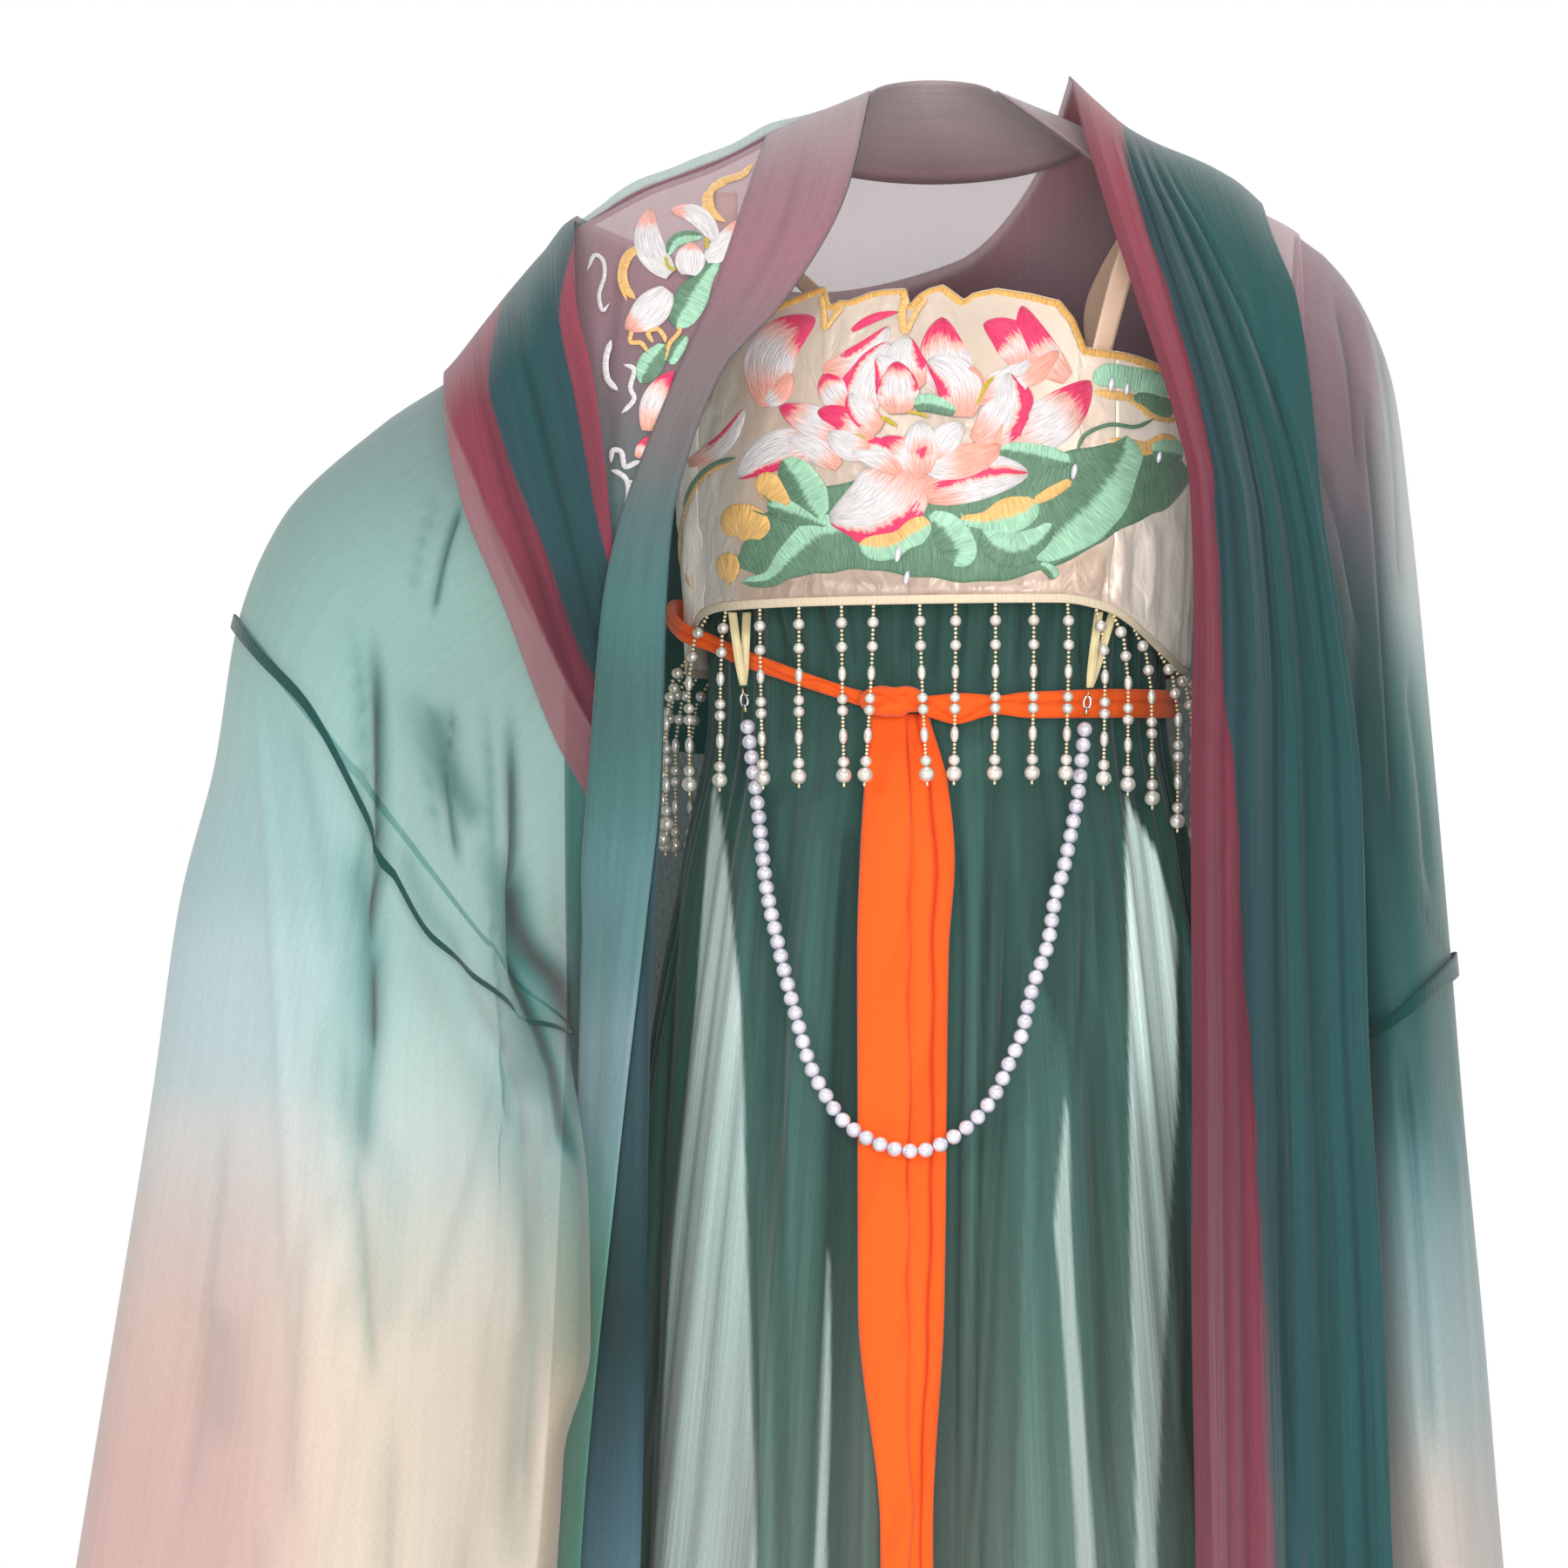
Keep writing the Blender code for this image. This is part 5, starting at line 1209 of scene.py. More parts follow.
def make_sleeve(name, side, table, binding, creases):
    """A sleeve in two stretches, above and below the dark binding that covers their seam."""
    front = np.linspace(0, math.pi, 124, endpoint=False)
    behind = np.linspace(math.pi, 2 * math.pi, 56, endpoint=False)
    turns = np.concatenate((front, behind))
    for part, places in (
        ("upper", np.linspace(0, binding, 70)), ("lower", np.linspace(binding, len(table) - 1, 110)),
    ):
        grid, shade = sleeve_grid(table, places, turns, creases)
        colours = sleeve_colours(grid, side, shade, turns)
        if part == "upper":
            tuck = np.maximum(1 - np.arange(len(places)) / SEAM_ROWS, 0)
            grid[..., 0] -= side * SEAM_TUCK * tuck[:, None]
        made = cloth(f"{name}_{part}_cloth", grid, colours, ORGANZA, closed=True)
        sheet(made, grid, [f"{name}_{part}"], closed=True)
    places = np.linspace(binding - BINDING_HALF, binding + BINDING_HALF, 6)
    grid, _ = sleeve_grid(table, places, turns, creases, 2 * LAY)
    made = cloth(f"{name}_tape", grid, colour_grid(grid, BINDING_COLOUR), CREPE,
                 closed=True, thickness=0.0006)
    sheet(made, grid, [f"{name}_binding"], closed=True)


# Creases, and some wide bands of painted shade: points on the sheet, half width, push in m, shade.
SLEEVE_RIGHT_CREASES = (
    (((428, 703), (440, 800), (446, 960), (440, 1113), (417, 1270)), 8, -0.010, 0.95),
    (((416, 960), (434, 1060), (432, 1160), (424, 1260), (424, 1360)), 24, -0.004, 0.60),
    (((450, 1280), (466, 1360), (462, 1450), (450, 1540)), 22, 0.003, 0.20),
    (((584, 960), (610, 1080), (636, 1190), (654, 1320)), 18, -0.004, 0.95),
    (((500, 800), (520, 880), (560, 960)), 22, -0.003, 0.58),
    (((560, 1180), (590, 1300), (612, 1420), (630, 1560)), 26, 0.003, 0.34),
    (((612, 1560), (600, 1660), (596, 1800)), 24, -0.002, 0.28),
    (((585, 790), (590, 880), (597, 1010), (604, 1136), (630, 1260), (660, 1396)), 7, -0.008, 0.92),
    (((594, 1000), (612, 1130), (634, 1300), (646, 1480), (640, 1640)), 30, -0.003, 0.43),
    (((610, 1480), (600, 1600), (606, 1760)), 22, -0.004, 0.26),
    (((526, 800), (519, 880), (524, 925), (534, 1000)), 6, -0.006, 0.78),
    (((470, 960), (500, 1040), (540, 1110)), 16, -0.003, 0.29),
    (((534, 575), (514, 640), (500, 715)), 5, -0.004, 0.85),
    (((412, 1150), (404, 1260), (420, 1420), (436, 1600)), 12, -0.008, 0.36),
    (((505, 1030), (530, 1130), (580, 1230), (600, 1340)), 14, 0.006, 0.14),
    (((590, 1200), (560, 1330), (520, 1450), (470, 1560)), 12, -0.005, 0.17),
    (((292, 743), (318, 1000), (337, 1300), (350, 1588)), 7, 0.004, 0.09),
    (((630, 1250), (622, 1450), (600, 1740)), 13, -0.010, 0.40),
    (((330, 800), (352, 900), (372, 1010), (380, 1120)), 14, -0.004, 0.17),
    (((372, 1380), (368, 1560), (360, 1740)), 16, 0.009, 0.07),
    (((250, 1480), (262, 1560), (252, 1660)), 34, -0.004, 0.17),
    (((260, 1240), (236, 1480), (215, 1740)), 16, -0.007, 0.14),
    (((455, 1560), (446, 1800), (440, 2300)), 15, -0.010, 0.22),
    (((300, 1700), (280, 2100), (262, 2640)), 16, -0.010, 0.17),
    (((560, 1650), (540, 2050), (530, 2640)), 15, -0.010, 0.22),
)
SLEEVE_LEFT_CREASES = (
    (((1528, 330), (1546, 430), (1556, 560)), 6, -0.003, 0.26),
    (((1552, 330), (1572, 430), (1584, 540)), 5, 0.003, 0.00),
    (((1572, 360), (1590, 450), (1600, 560), (1606, 700)), 4, -0.003, 0.30),
    (((1560, 420), (1580, 600), (1592, 800), (1600, 1000)), 8, -0.005, 0.30),
    (((1624, 1034), (1640, 1062), (1667, 1108)), 4, -0.001, 0.45),
    (((1540, 560), (1556, 700), (1562, 900)), 14, -0.004, 0.26),
    (((1500, 500), (1545, 640), (1580, 780)), 8, -0.004, 0.25),
    (((1612, 760), (1630, 900), (1640, 1040)), 6, -0.004, 0.22),
    (((1600, 1180), (1625, 1400), (1640, 1700)), 9, -0.005, 0.14),
    (((1660, 1250), (1675, 1500), (1690, 1800)), 9, 0.004, 0.06),
    (((1620, 1750), (1640, 2100), (1665, 2600)), 11, -0.006, 0.12),
)
ROBE_RIGHT_CREASES = (
    (((720, 260), (700, 400), (706, 560)), 9, -0.002, 0.20),
    (((680, 900), (672, 1200), (660, 1500), (640, 1900)), 12, -0.004, 0.20),
    (((745, 960), (740, 1250), (736, 1700), (720, 2500)), 7, -0.003, 0.28),
    (((600, 1900), (580, 2400), (560, 3100)), 18, -0.006, 0.15),
    (((680, 2100), (660, 2600), (640, 3100)), 18, 0.005, 0.06),
)
ROBE_LEFT_CREASES = (
    (((1500, 330), (1525, 460), (1540, 620)), 10, -0.003, 0.22),
    (((1470, 1300), (1490, 1700), (1510, 2500)), 14, -0.004, 0.16),
    (((1560, 1500), (1590, 2000), (1620, 3000)), 18, -0.006, 0.15),
    (((1420, 2400), (1440, 2800), (1450, 3100)), 16, 0.005, 0.08),
)
BACK_CREASES = (
    (((700, 700), (690, 1200), (670, 2100), (640, 3000)), 20, -0.006, 0.16),
    (((860, 500), (850, 1100), (845, 2000), (830, 3050)), 24, 0.005, 0.05),
    (((980, 620), (985, 1300), (990, 2200), (1000, 3000)), 20, -0.006, 0.15),
    (((1130, 480), (1135, 1200), (1150, 2100), (1160, 3050)), 22, 0.004, 0.05),
    (((1270, 700), (1285, 1300), (1310, 2200), (1340, 3000)), 20, -0.006, 0.16),
    (((1400, 600), (1420, 1200), (1470, 2200), (1520, 3000)), 20, -0.005, 0.14),
    (((1050, 300), (1060, 420), (1050, 560)), 14, -0.003, 0.12),
)
BAND_RIGHT_CREASES = (
    (((930, 150), (900, 260), (840, 380)), 7, -0.0006, 0.12),
    (((800, 460), (760, 580), (735, 700)), 8, -0.0006, 0.10),
    (((735, 760), (725, 950), (706, 1150), (690, 1400)), 8, 0.0006, 0.08),
    (((700, 1000), (690, 1250), (676, 1600)), 7, -0.0006, 0.10),
)


# ---- Shawl ----------------------------------------------------------------------------------------
# Share of the left stretch that is burgundy, down the sheet.
SHAWL_SPLIT = (
    (84, 0.36), (112, 0.30), (160, 0.26), (226, 0.22), (387, 0.22), (488, 0.217), (599, 0.16),
    (745, 0.175), (891, 0.25), (1145, 0.31), (1400, 0.365), (1740, 0.40), (2400, 0.45),
)
# Long folds of the left stretch, and of the other two: place across at one end, place across at the
# other, half width across, height in m.
SHAWL_LEFT_FOLDS = (
    (0.10, 0.07, 0.026, 0.0018), (0.20, 0.15, 0.020, -0.0014), (0.30, 0.24, 0.030, -0.0020),
    (0.38, 0.33, 0.034, 0.0024), (0.50, 0.45, 0.024, -0.0020), (0.56, 0.52, 0.026, 0.0022),
    (0.66, 0.69, 0.040, -0.0022), (0.76, 0.78, 0.030, 0.0022), (0.84, 0.88, 0.018, -0.0014),
    (0.93, 0.95, 0.020, 0.0010),
)
SHAWL_RIGHT_FOLDS = (
    (0.28, 0.30, 0.045, -0.0016), (0.45, 0.50, 0.050, 0.0016), (0.60, 0.62, 0.035, -0.0012),
    (0.74, 0.74, 0.040, 0.0014),
)
# Bands of the right stretch: share of its way down, where the teal begins and ends, and the end of
# the single outermost layer.
SHAWL_BANDS = (
    (0.00, 0.46, 1.10, -0.05), (0.20, 0.33, 0.88, 0.04), (0.40, 0.35, 0.86, 0.12),
    (0.65, 0.40, 0.86, 0.17), (0.85, 0.44, 0.90, 0.25), (1.00, 0.52, 0.95, 0.30),
)
# Bands of the back stretch, which meet those of both fronts: share of its way, where the teal
# begins and ends.
SHAWL_BACK_BANDS = (
    (0.00, -0.10, 0.54), (0.12, 0.06, 0.80), (0.22, 0.12, 0.86), (0.78, 0.12, 0.86),
    (0.90, 0.20, 1.10), (1.00, 0.36, 1.40),
)


# Long folds fan out from here, within this share of their length.
FAN_START = 0.16
FAN_END = 0.16
FAN_SPREAD = 0.34          # the width across which they start
TROUGH_SHADE = 0.28        # troughs are this much darker, and ridges this much lighter
RIDGE_LIGHT = 0.07
SHAWL_WALL = 0.0006        # thickness of the shawl
LEFT_FINE = 0.0022         # height of the fine folds of the left stretch, and of the others
RIGHT_FINE = 0.0020
SINGLE_BACK = 0.03         # the back stretch is a single layer as far across as this
LEFT_FOLDS_RISE = 1.4      # the left stretch's long folds stand this much higher than listed
EDGE_SHADE = 0.25          # shade of the burgundy beside the teal
STRIP_SHADE = 0.28         # shade of the burgundy where a second layer lies behind it
LEFT_STRIP = (0.085, 0.012)     # where that is on the left stretch: place across, softness
FOLDED_END = (600, 120, 0.38, 0.7)  # the right stretch's end: down, softness, shade, cover
LAYER_COVER = 0.52         # cover and colour of a single layer, and how much of that colour
LAYER_COLOUR = (176, 120, 128)
LAYER_SHARE = 0.6
TUCK_FRONT = (0.72, 0.2)   # the right stretch goes under the collar here: share, softness
TUCK_LAY = 0.0023          # and lies this far from the robe
FLAT_FRONT = (0.6, 0.25)   # where its folds flatten
# The upper edge that shows behind the right shoulder: x of its ends, how softly they begin and end,
# height above the ridge and below it, depth behind the middle, how far it leans, and its colours.
EDGE_X = (-0.212, -0.062)
EDGE_SOFT = (0.03, 0.05)
EDGE_HEIGHT = 0.0078
EDGE_WAVER = 0.0006
EDGE_UNDER = 0.003
EDGE_DEPTH = 0.0105
EDGE_LEAN = 0.0085
EDGE_BURGUNDY = (150, 84, 100)
EDGE_TEAL = (150, 196, 188)


def long_folds(table, across, share):
    """Height and shade of long folds that keep their place across a stretch."""
    height, shade = np.zeros_like(across), np.zeros_like(across)
    for top, low, width, rise in table:
        fan = ease((share + 0.01) / FAN_END)
        place = mix(FAN_START + FAN_SPREAD * top, mix(top, low, share), fan)
        fold = bell(across - place, width * (0.45 + 0.55 * fan))
        height += rise * fold
        shade = np.maximum(shade, TROUGH_SHADE * fold) if rise < 0 else shade - RIDGE_LIGHT * fold
    return height, shade


def shawl_colours(down, teal_share, slate_share, inner):
    """Burgundy and teal with a narrow step between them, slate where the teal leaves the edge."""
    teal = mix(dyed(TEAL_INNER_DYE, down), dyed(TEAL_DYE, down), slate_share[..., None])
    burgundy = dyed(BURGUNDY_DYE, down)
    dim(burgundy, 1 - STRIP_SHADE * inner)
    return mix(burgundy, teal, teal_share[..., None])


def end_of_shawl(colours, down):
    """Folded on itself at its lower end, where less light comes through."""
    begin, soft, shade, cover = FOLDED_END
    folded = ease((down - begin) / soft)
    dim(colours, 1 - shade * folded)
    colours[..., 3] = mix(colours[..., 3], 1.0, cover * folded)
    return colours


def make_shawl_left():
    rows, columns = 190, 84
    share = np.linspace(0, 1, rows)[:, None] ** 1.5
    across = np.linspace(0, 1, columns)[None, :] * np.ones((rows, 1))
    inner = edge_at(SHAWL_LEFT_EDGES, 0, share, SHAWL_HEM_Z, SHAWL_LIFT)
    outer = edge_at(SHAWL_LEFT_EDGES, 1, share, SHAWL_HEM_Z, SHAWL_LIFT)
    away = mix(inner, outer, across)
    z = mix(shawl_ridge(ROBE_X + away), SHAWL_HEM_Z, share)
    uneven = np.sin(22 * across + 0.6 + 0.7 * np.sin(9 * across + 3 * share))
    fold = LEFT_FINE * (1 + uneven) * ease(share / 0.12)
    extra, shade = long_folds(SHAWL_LEFT_FOLDS, across, share * np.ones_like(across))
    extra = extra * LEFT_FOLDS_RISE
    depth = shawl_depth(ROBE_X + away, z) + fold + extra * ease(share / 0.03) + CLOTH_GAP
    grid = xyz(ROBE_X + away, -depth, z)
    _, down = on_sheet(grid)
    split = look(SHAWL_SPLIT, down)[0]
    waver = 0.006 * np.sin(down / 46) + 0.004 * np.sin(down / 17 + 1)
    teal = ease((across - split - waver) / 0.014 + 0.5)
    slate = ease((across - split) / 0.35)
    strip = ease((LEFT_STRIP[0] - across) / LEFT_STRIP[1])
    edge = EDGE_SHADE * bell(across - split - waver + 0.01, 0.012)
    colours = darker(shawl_colours(down, teal, slate, strip), np.maximum(shade, edge))
    made = cloth("shawl_left_cloth", grid, colours, CREPE_SHAWL, thickness=SHAWL_WALL)
    sheet(made, grid, ["shawl_left"])


def shawl_patch(name, node, edges, front, rows, columns, folds):
    """The stretch over the right shoulder, or the one across the back."""
    even = np.linspace(0, 1, rows)
    share = (even if front else (1 - np.cos(math.pi * even)) / 2)[:, None]
    first_x, first_z, last_x, last_z = look(edges, share)
    across = np.linspace(0, 1, columns)[None, :] * np.ones((rows, 1))
    x, z = mix(first_x, last_x, across), mix(first_z, last_z, across)
    ridge = shawl_ridge(x)
    z = np.minimum(z, ridge)
    z[0] = ridge[0]
    if not front:
        z[-1] = ridge[-1]
    depth = shawl_depth(x, z)
    fold = RIGHT_FINE * (1 + np.sin(20 * across + 0.6)) * np.sin(math.pi * share) ** 0.5
    if front:
        tuck = ease((share - TUCK_FRONT[0]) / TUCK_FRONT[1])
        depth = mix(depth, robe_depth(np.abs(x - ROBE_X), z) + TUCK_LAY, tuck)
        fold = fold * (1 - ease((share - FLAT_FRONT[0]) / FLAT_FRONT[1]))
    extra, shade = long_folds(folds, across, share * np.ones_like(across))
    fold = fold + extra * np.sin(math.pi * share) ** 0.7
    grid = xyz(x, (depth + fold + CLOTH_GAP) * (-1 if front else 1), z)
    _, down = on_sheet(grid)
    if front:
        begin, end, single = look(SHAWL_BANDS, share)
    else:
        (begin, end), single = look(SHAWL_BACK_BANDS, share), SINGLE_BACK
    teal = band(across, begin, end, 0.02)
    edge = EDGE_SHADE * bell(across - begin + 0.02, 0.02)
    lone = ease((single - across) / 0.02 + 0.5)
    slate = span(across, begin, 0.3, end, 0.3)
    colours = shawl_colours(down, teal, slate, 0.2 * ease((0.4 - across) / 0.2))
    if front:
        colours = end_of_shawl(colours, down)
    colours = darker(colours, np.maximum(shade, edge))
    colours[..., 3] = mix(colours[..., 3], LAYER_COVER, lone)
    colours[..., :3] = mix(colours[..., :3], linear(LAYER_COLOUR), LAYER_SHARE * lone[..., None])
    made = cloth(name, grid, colours, CREPE_SHAWL, thickness=SHAWL_WALL)
    sheet(made, grid, [node],
          with_pieces=() if front else [make_shoulder_edge()])


def make_shoulder_edge():
    """The shawl's upper edge, which shows behind the right shoulder: sheer teal over burgundy."""
    x = np.linspace(*EDGE_X, 90)[None, :]
    rise = np.linspace(0, 1, 12)[:, None]
    ends = span(x, EDGE_X[0], EDGE_SOFT[0], EDGE_X[1], EDGE_SOFT[1])
    height = (EDGE_HEIGHT + EDGE_WAVER * np.sin(x * 170)) * (0.25 + 0.75 * ends)
    z = look(RIDGE, np.abs(x - ROBE_X))[0] - EDGE_UNDER + rise * (height + EDGE_UNDER)
    grid = xyz(x, EDGE_DEPTH - EDGE_LEAN * rise ** 1.5, z)
    pale = ease((rise - 0.5) / 0.08)[..., None] * np.ones_like(x)[..., None]
    colours = mix(np.append(linear(EDGE_BURGUNDY), 0.92), np.append(linear(EDGE_TEAL), 0.62), pale)
    return cloth("shawl_shoulder_edge", grid, colours, CREPE_SHAWL)


# ---- Skirt ----------------------------------------------------------------------------------------
# Sage of the pale wedges down the sheet, lighter near their top with painted light against the shade
# under the sash.
SAGE = (
    (880, 186, 206, 200, 0.98), (1100, 186, 205, 199, 0.98), (1300, 166, 186, 181, 0.98),
    (1500, 158, 176, 171, 0.98), (1740, 160, 174, 168, 0.97), (3300, 154, 174, 166, 0.96),
)
UMBER = (84, 92, 84)
# Pale wedges where one layer shows: down the sheet, left edge, right edge.
WEDGES = (
    ((900, 819, 822), (980, 812, 834), (1154, 799, 851), (1264, 788, 854), (1428, 772, 858),
     (1740, 755, 865), (2400, 725, 880), (3300, 690, 890)),
    ((925, 1290, 1294), (980, 1289, 1325), (1077, 1291, 1350), (1264, 1292, 1347),
     (1428, 1292, 1336), (1740, 1298, 1320), (2400, 1305, 1335), (3300, 1310, 1360)),
    ((1255, 1219, 1221), (1400, 1205, 1224), (1483, 1213, 1229), (1740, 1229, 1248),
     (2400, 1250, 1285), (3300, 1270, 1320)),
    ((1440, 949, 951), (1600, 942, 952), (1740, 936, 948), (2400, 910, 950), (3300, 890, 950)),
)
# Widths of chiffon a little paler or deeper than the rest: down, left edge, right edge; factor.
WIDTHS = (
    (((1090, 1176, 1180), (1200, 1176, 1222), (1400, 1170, 1226), (1740, 1160, 1244),
      (2400, 1150, 1290), (3300, 1140, 1330)), 1.42),
    (((880, 836, 862), (1200, 858, 870), (1500, 866, 886), (1740, 868, 890), (3300, 900, 930)), 1.16),
    (((860, 888, 940), (1200, 902, 944), (1740, 908, 936), (3300, 910, 950)), 1.14),
    (((860, 1100, 1128), (1200, 1100, 1124), (1500, 1096, 1114), (3300, 1090, 1120)), 1.24),
    (((960, 964, 984), (1100, 956, 984), (1740, 944, 990), (3300, 930, 990)), 0.80),
    (((900, 868, 890), (1100, 878, 904), (1740, 888, 908), (3300, 900, 930)), 0.84),
    (((900, 1128, 1142), (1400, 1112, 1120), (1740, 1100, 1112)), 0.74),
    (((880, 1344, 1364), (1740, 1338, 1366), (3300, 1360, 1420)), 1.45),
    (((880, 1180, 1216), (1100, 1184, 1240), (1260, 1226, 1286), (1740, 1250, 1290),
      (3300, 1290, 1320)), 0.84),
    (((880, 742, 790), (1200, 742, 776), (1740, 738, 750)), 0.90),
    (((880, 1140, 1160), (1400, 1118, 1150), (1740, 1090, 1140), (3300, 1080, 1140)), 0.88),
)
SKIRT_CREASES = (
    (((786, 860), (776, 1050), (756, 1400), (742, 1760), (700, 2500)), 6, -0.0030, 0.42),
    (((868, 905), (862, 1200), (868, 1700), (880, 2500)), 6, -0.0025, 0.22),
    (((905, 925), (898, 1200), (894, 1500), (890, 1900)), 4, -0.0015, 0.14),
    (((978, 880), (968, 1050), (958, 1300), (950, 1500), (930, 1900)), 7, -0.0030, 0.32),
    (((930, 1200), (922, 1500), (915, 1800)), 14, 0.0030, 0.00),
    (((1096, 900), (1100, 1100), (1094, 1400), (1090, 1800)), 6, -0.0030, 0.32),
    (((1130, 900), (1126, 1100), (1118, 1400), (1106, 1800)), 5, -0.0030, 0.34),
    (((1160, 910), (1150, 1150), (1124, 1450), (1104, 1760)), 4, -0.0015, 0.20),
    (((1182, 880), (1166, 1100), (1142, 1400), (1120, 1760), (1100, 2400)), 5, -0.0025, 0.28),
    (((1245, 940), (1241, 1130), (1226, 1280)), 7, -0.0030, 0.26),
    (((1216, 1040), (1200, 1300), (1172, 1550), (1150, 1800)), 4, -0.0010, 0.12),
    (((1262, 900), (1262, 1100), (1258, 1280), (1264, 1500), (1270, 1800)), 15, -0.0040, 0.34),
    (((905, 880), (902, 980), (900, 1080)), 16, -0.0025, 0.26),
    (((1162, 980), (1158, 1120), (1148, 1260)), 12, -0.0025, 0.24),
    (((1350, 930), (1356, 1100), (1360, 1400), (1356, 1800)), 7, -0.0030, 0.34),
    (((1000, 1900), (990, 2400), (985, 3100)), 16, -0.0050, 0.22),
    (((1180, 1900), (1200, 2500), (1215, 3100)), 16, -0.0050, 0.22),
)
# Gathers under the bodice: x on the sheet at the top and lower down, how far down, half width, push.
GATHERS = (
    (832, 826, 800, 6, -0.0018), (858, 880, 772, 5, -0.0016), (884, 918, 790, 5, -0.0018),
    (905, 930, 760, 4, -0.0012), (938, 960, 782, 6, -0.0018), (972, 982, 770, 5, -0.0014),
    (1003, 1010, 786, 5, -0.0018), (1040, 1036, 762, 6, -0.0014), (1075, 1068, 790, 5, -0.0018),
    (1108, 1096, 775, 5, -0.0016), (1140, 1120, 800, 6, -0.0020), (1172, 1166, 780, 5, -0.0016),
    (1206, 1190, 800, 6, -0.0020), (1236, 1238, 776, 4, -0.0014), (1262, 1270, 790, 5, -0.0016),
    (1292, 1300, 800, 5, -0.0016), (1322, 1336, 810, 6, -0.0018),
)


GATHER_TOP = 676           # gathers start here and have left their first line by the next height
GATHER_BEND = 720
GATHER_SHADE = 0.30


def gathers():
    return tuple(
        (((top, GATHER_TOP), (mix(top, low, 0.35), GATHER_BEND), (low, reach)), width, push,
         GATHER_SHADE)
        for top, low, reach, width, push in GATHERS
    )


def wedge_share(right, down, wedge, soft):
    """1 inside a wedge that is given by its left and right edge down the sheet."""
    rows = np.array(wedge, dtype=float)
    left, end = (np.interp(down, rows[:, 0], rows[:, i]) for i in (1, 2))
    return band(right, left, end, soft) * (down > rows[0, 0])


SKIRT_GAP = 0.18           # gap at each side seam, in degrees
SKIRT_TOP_DROP = 0.0125    # the skirt's cloth starts this far under its waistband's top
WAISTBAND_HEIGHT = 0.0115
WAISTBAND_COLOUR = (38, 78, 68)
WIDTHS_FROM = (820, 200)   # the widths' own depth of green begins here: down the sheet, softness
UMBER_FROM = (1250, 450)   # a little umber comes into the green here
UMBER_MOST = 0.6
LIT_SAGE = (1270, 20, 1340, 160, 0.50)  # painted light on a wedge's top against the shawl's shade: right, softness, down, softness, how much
# Painted shade in the troughs of the skirt's folds: from this far down, and how much.
TROUGHS_FROM = (780, 200)
SKIRT_TROUGH_SHADE = 0.26


def skirt_colours(right, down, angle):
    """Green that pales downwards, in overlapping widths of different depth, with sage wedges."""
    green = dyed(SKIRT_DYE, down)
    a = np.radians(angle)
    widths = 0.07 * np.tanh(3 * np.sin(9 * a + 0.8 * np.sin(4 * a))) + 0.05 * np.sin(23 * a + 2)
    dim(green, 1 + widths * ease((down - WIDTHS_FROM[0]) / WIDTHS_FROM[1]))
    for rows, factor in WIDTHS:
        dim(green, 1 + (factor - 1) * wedge_share(right, down, rows, 3.0))
    brown = ease((down - UMBER_FROM[0]) / UMBER_FROM[1]) * (0.5 + 0.5 * np.sin(7 * a + 0.4)) * UMBER_MOST
    green[..., :3] = mix(green[..., :3], linear(UMBER), brown[..., None])
    sage = dyed(SAGE, down)
    # Painted light on the top of the wedge nearest the shawl.
    place, soft, low, fade, most = LIT_SAGE
    dim(sage, 1 + most * ease((right - place) / soft) * ease((low - down) / fade))
    for wedge in WEDGES:
        green = mix(green, sage, wedge_share(right, down, wedge, 4.0)[..., None])
    return green


def make_skirt_panel(name, node, first, columns, rows):
    """Half of the skirt, from one side seam to the other."""
    top = SKIRT_TOP_Z - SKIRT_TOP_DROP
    angle = np.linspace(first + SKIRT_GAP, first + 180 - SKIRT_GAP, columns)[None, :]
    z = mix(top, SKIRT_HEM_Z, np.linspace(0, 1, rows)[:, None] ** 1.3)
    small = 0.0008 * np.sin(np.radians(angle) * 61 + 0.9) * ease((z - top) / -0.05 + 0.4)
    small = small + 0.0012 * np.sin(np.radians(angle) * 37 + 0.4) * ease((top - z) / 0.4)
    grid = skirt_point(angle, z, small)
    right, down = on_sheet(grid)
    if first > 0:
        right = 2 * (SHEET_ORIGIN[0] + SHEET_UNIT * BODY_X) - right
    push, shade = near_lines(right, down, SKIRT_CREASES + gathers())
    grid = grid + facing(grid) * push[..., None]
    # Painted shade in the troughs, less inside the pale wedges.
    troughs = ease(-skirt_wave(angle) * 1.2) * ease((down - TROUGHS_FROM[0]) / TROUGHS_FROM[1])
    pale = sum(wedge_share(right, down, wedge, 4.0) for wedge in WEDGES)
    shade = np.maximum(shade, SKIRT_TROUGH_SHADE * troughs) * (1 - 0.9 * np.minimum(pale, 1))
    colours = darker(skirt_colours(right, down, angle), shade)
    made = cloth(name, grid, colours, CHIFFON)
    sheet(made, grid, [node])


def make_skirt():
    make_skirt_panel("skirt_front_cloth", "skirt_front", -90, 320, 120)
    make_skirt_panel("skirt_back_cloth", "skirt_back", 90, 220, 90)
    angle = np.linspace(0, 360, 240, endpoint=False)[None, :]
    z = np.linspace(SKIRT_TOP_Z, SKIRT_TOP_Z - WAISTBAND_HEIGHT, 8)[:, None]
    grid = skirt_point(angle, z, LAY / 2)
    made = cloth("waistband_cloth", grid, colour_grid(grid, WAISTBAND_COLOUR), CREPE,
                 closed=True, thickness=0.0008)
    sheet(made, grid, ["skirt_waistband"], closed=True)


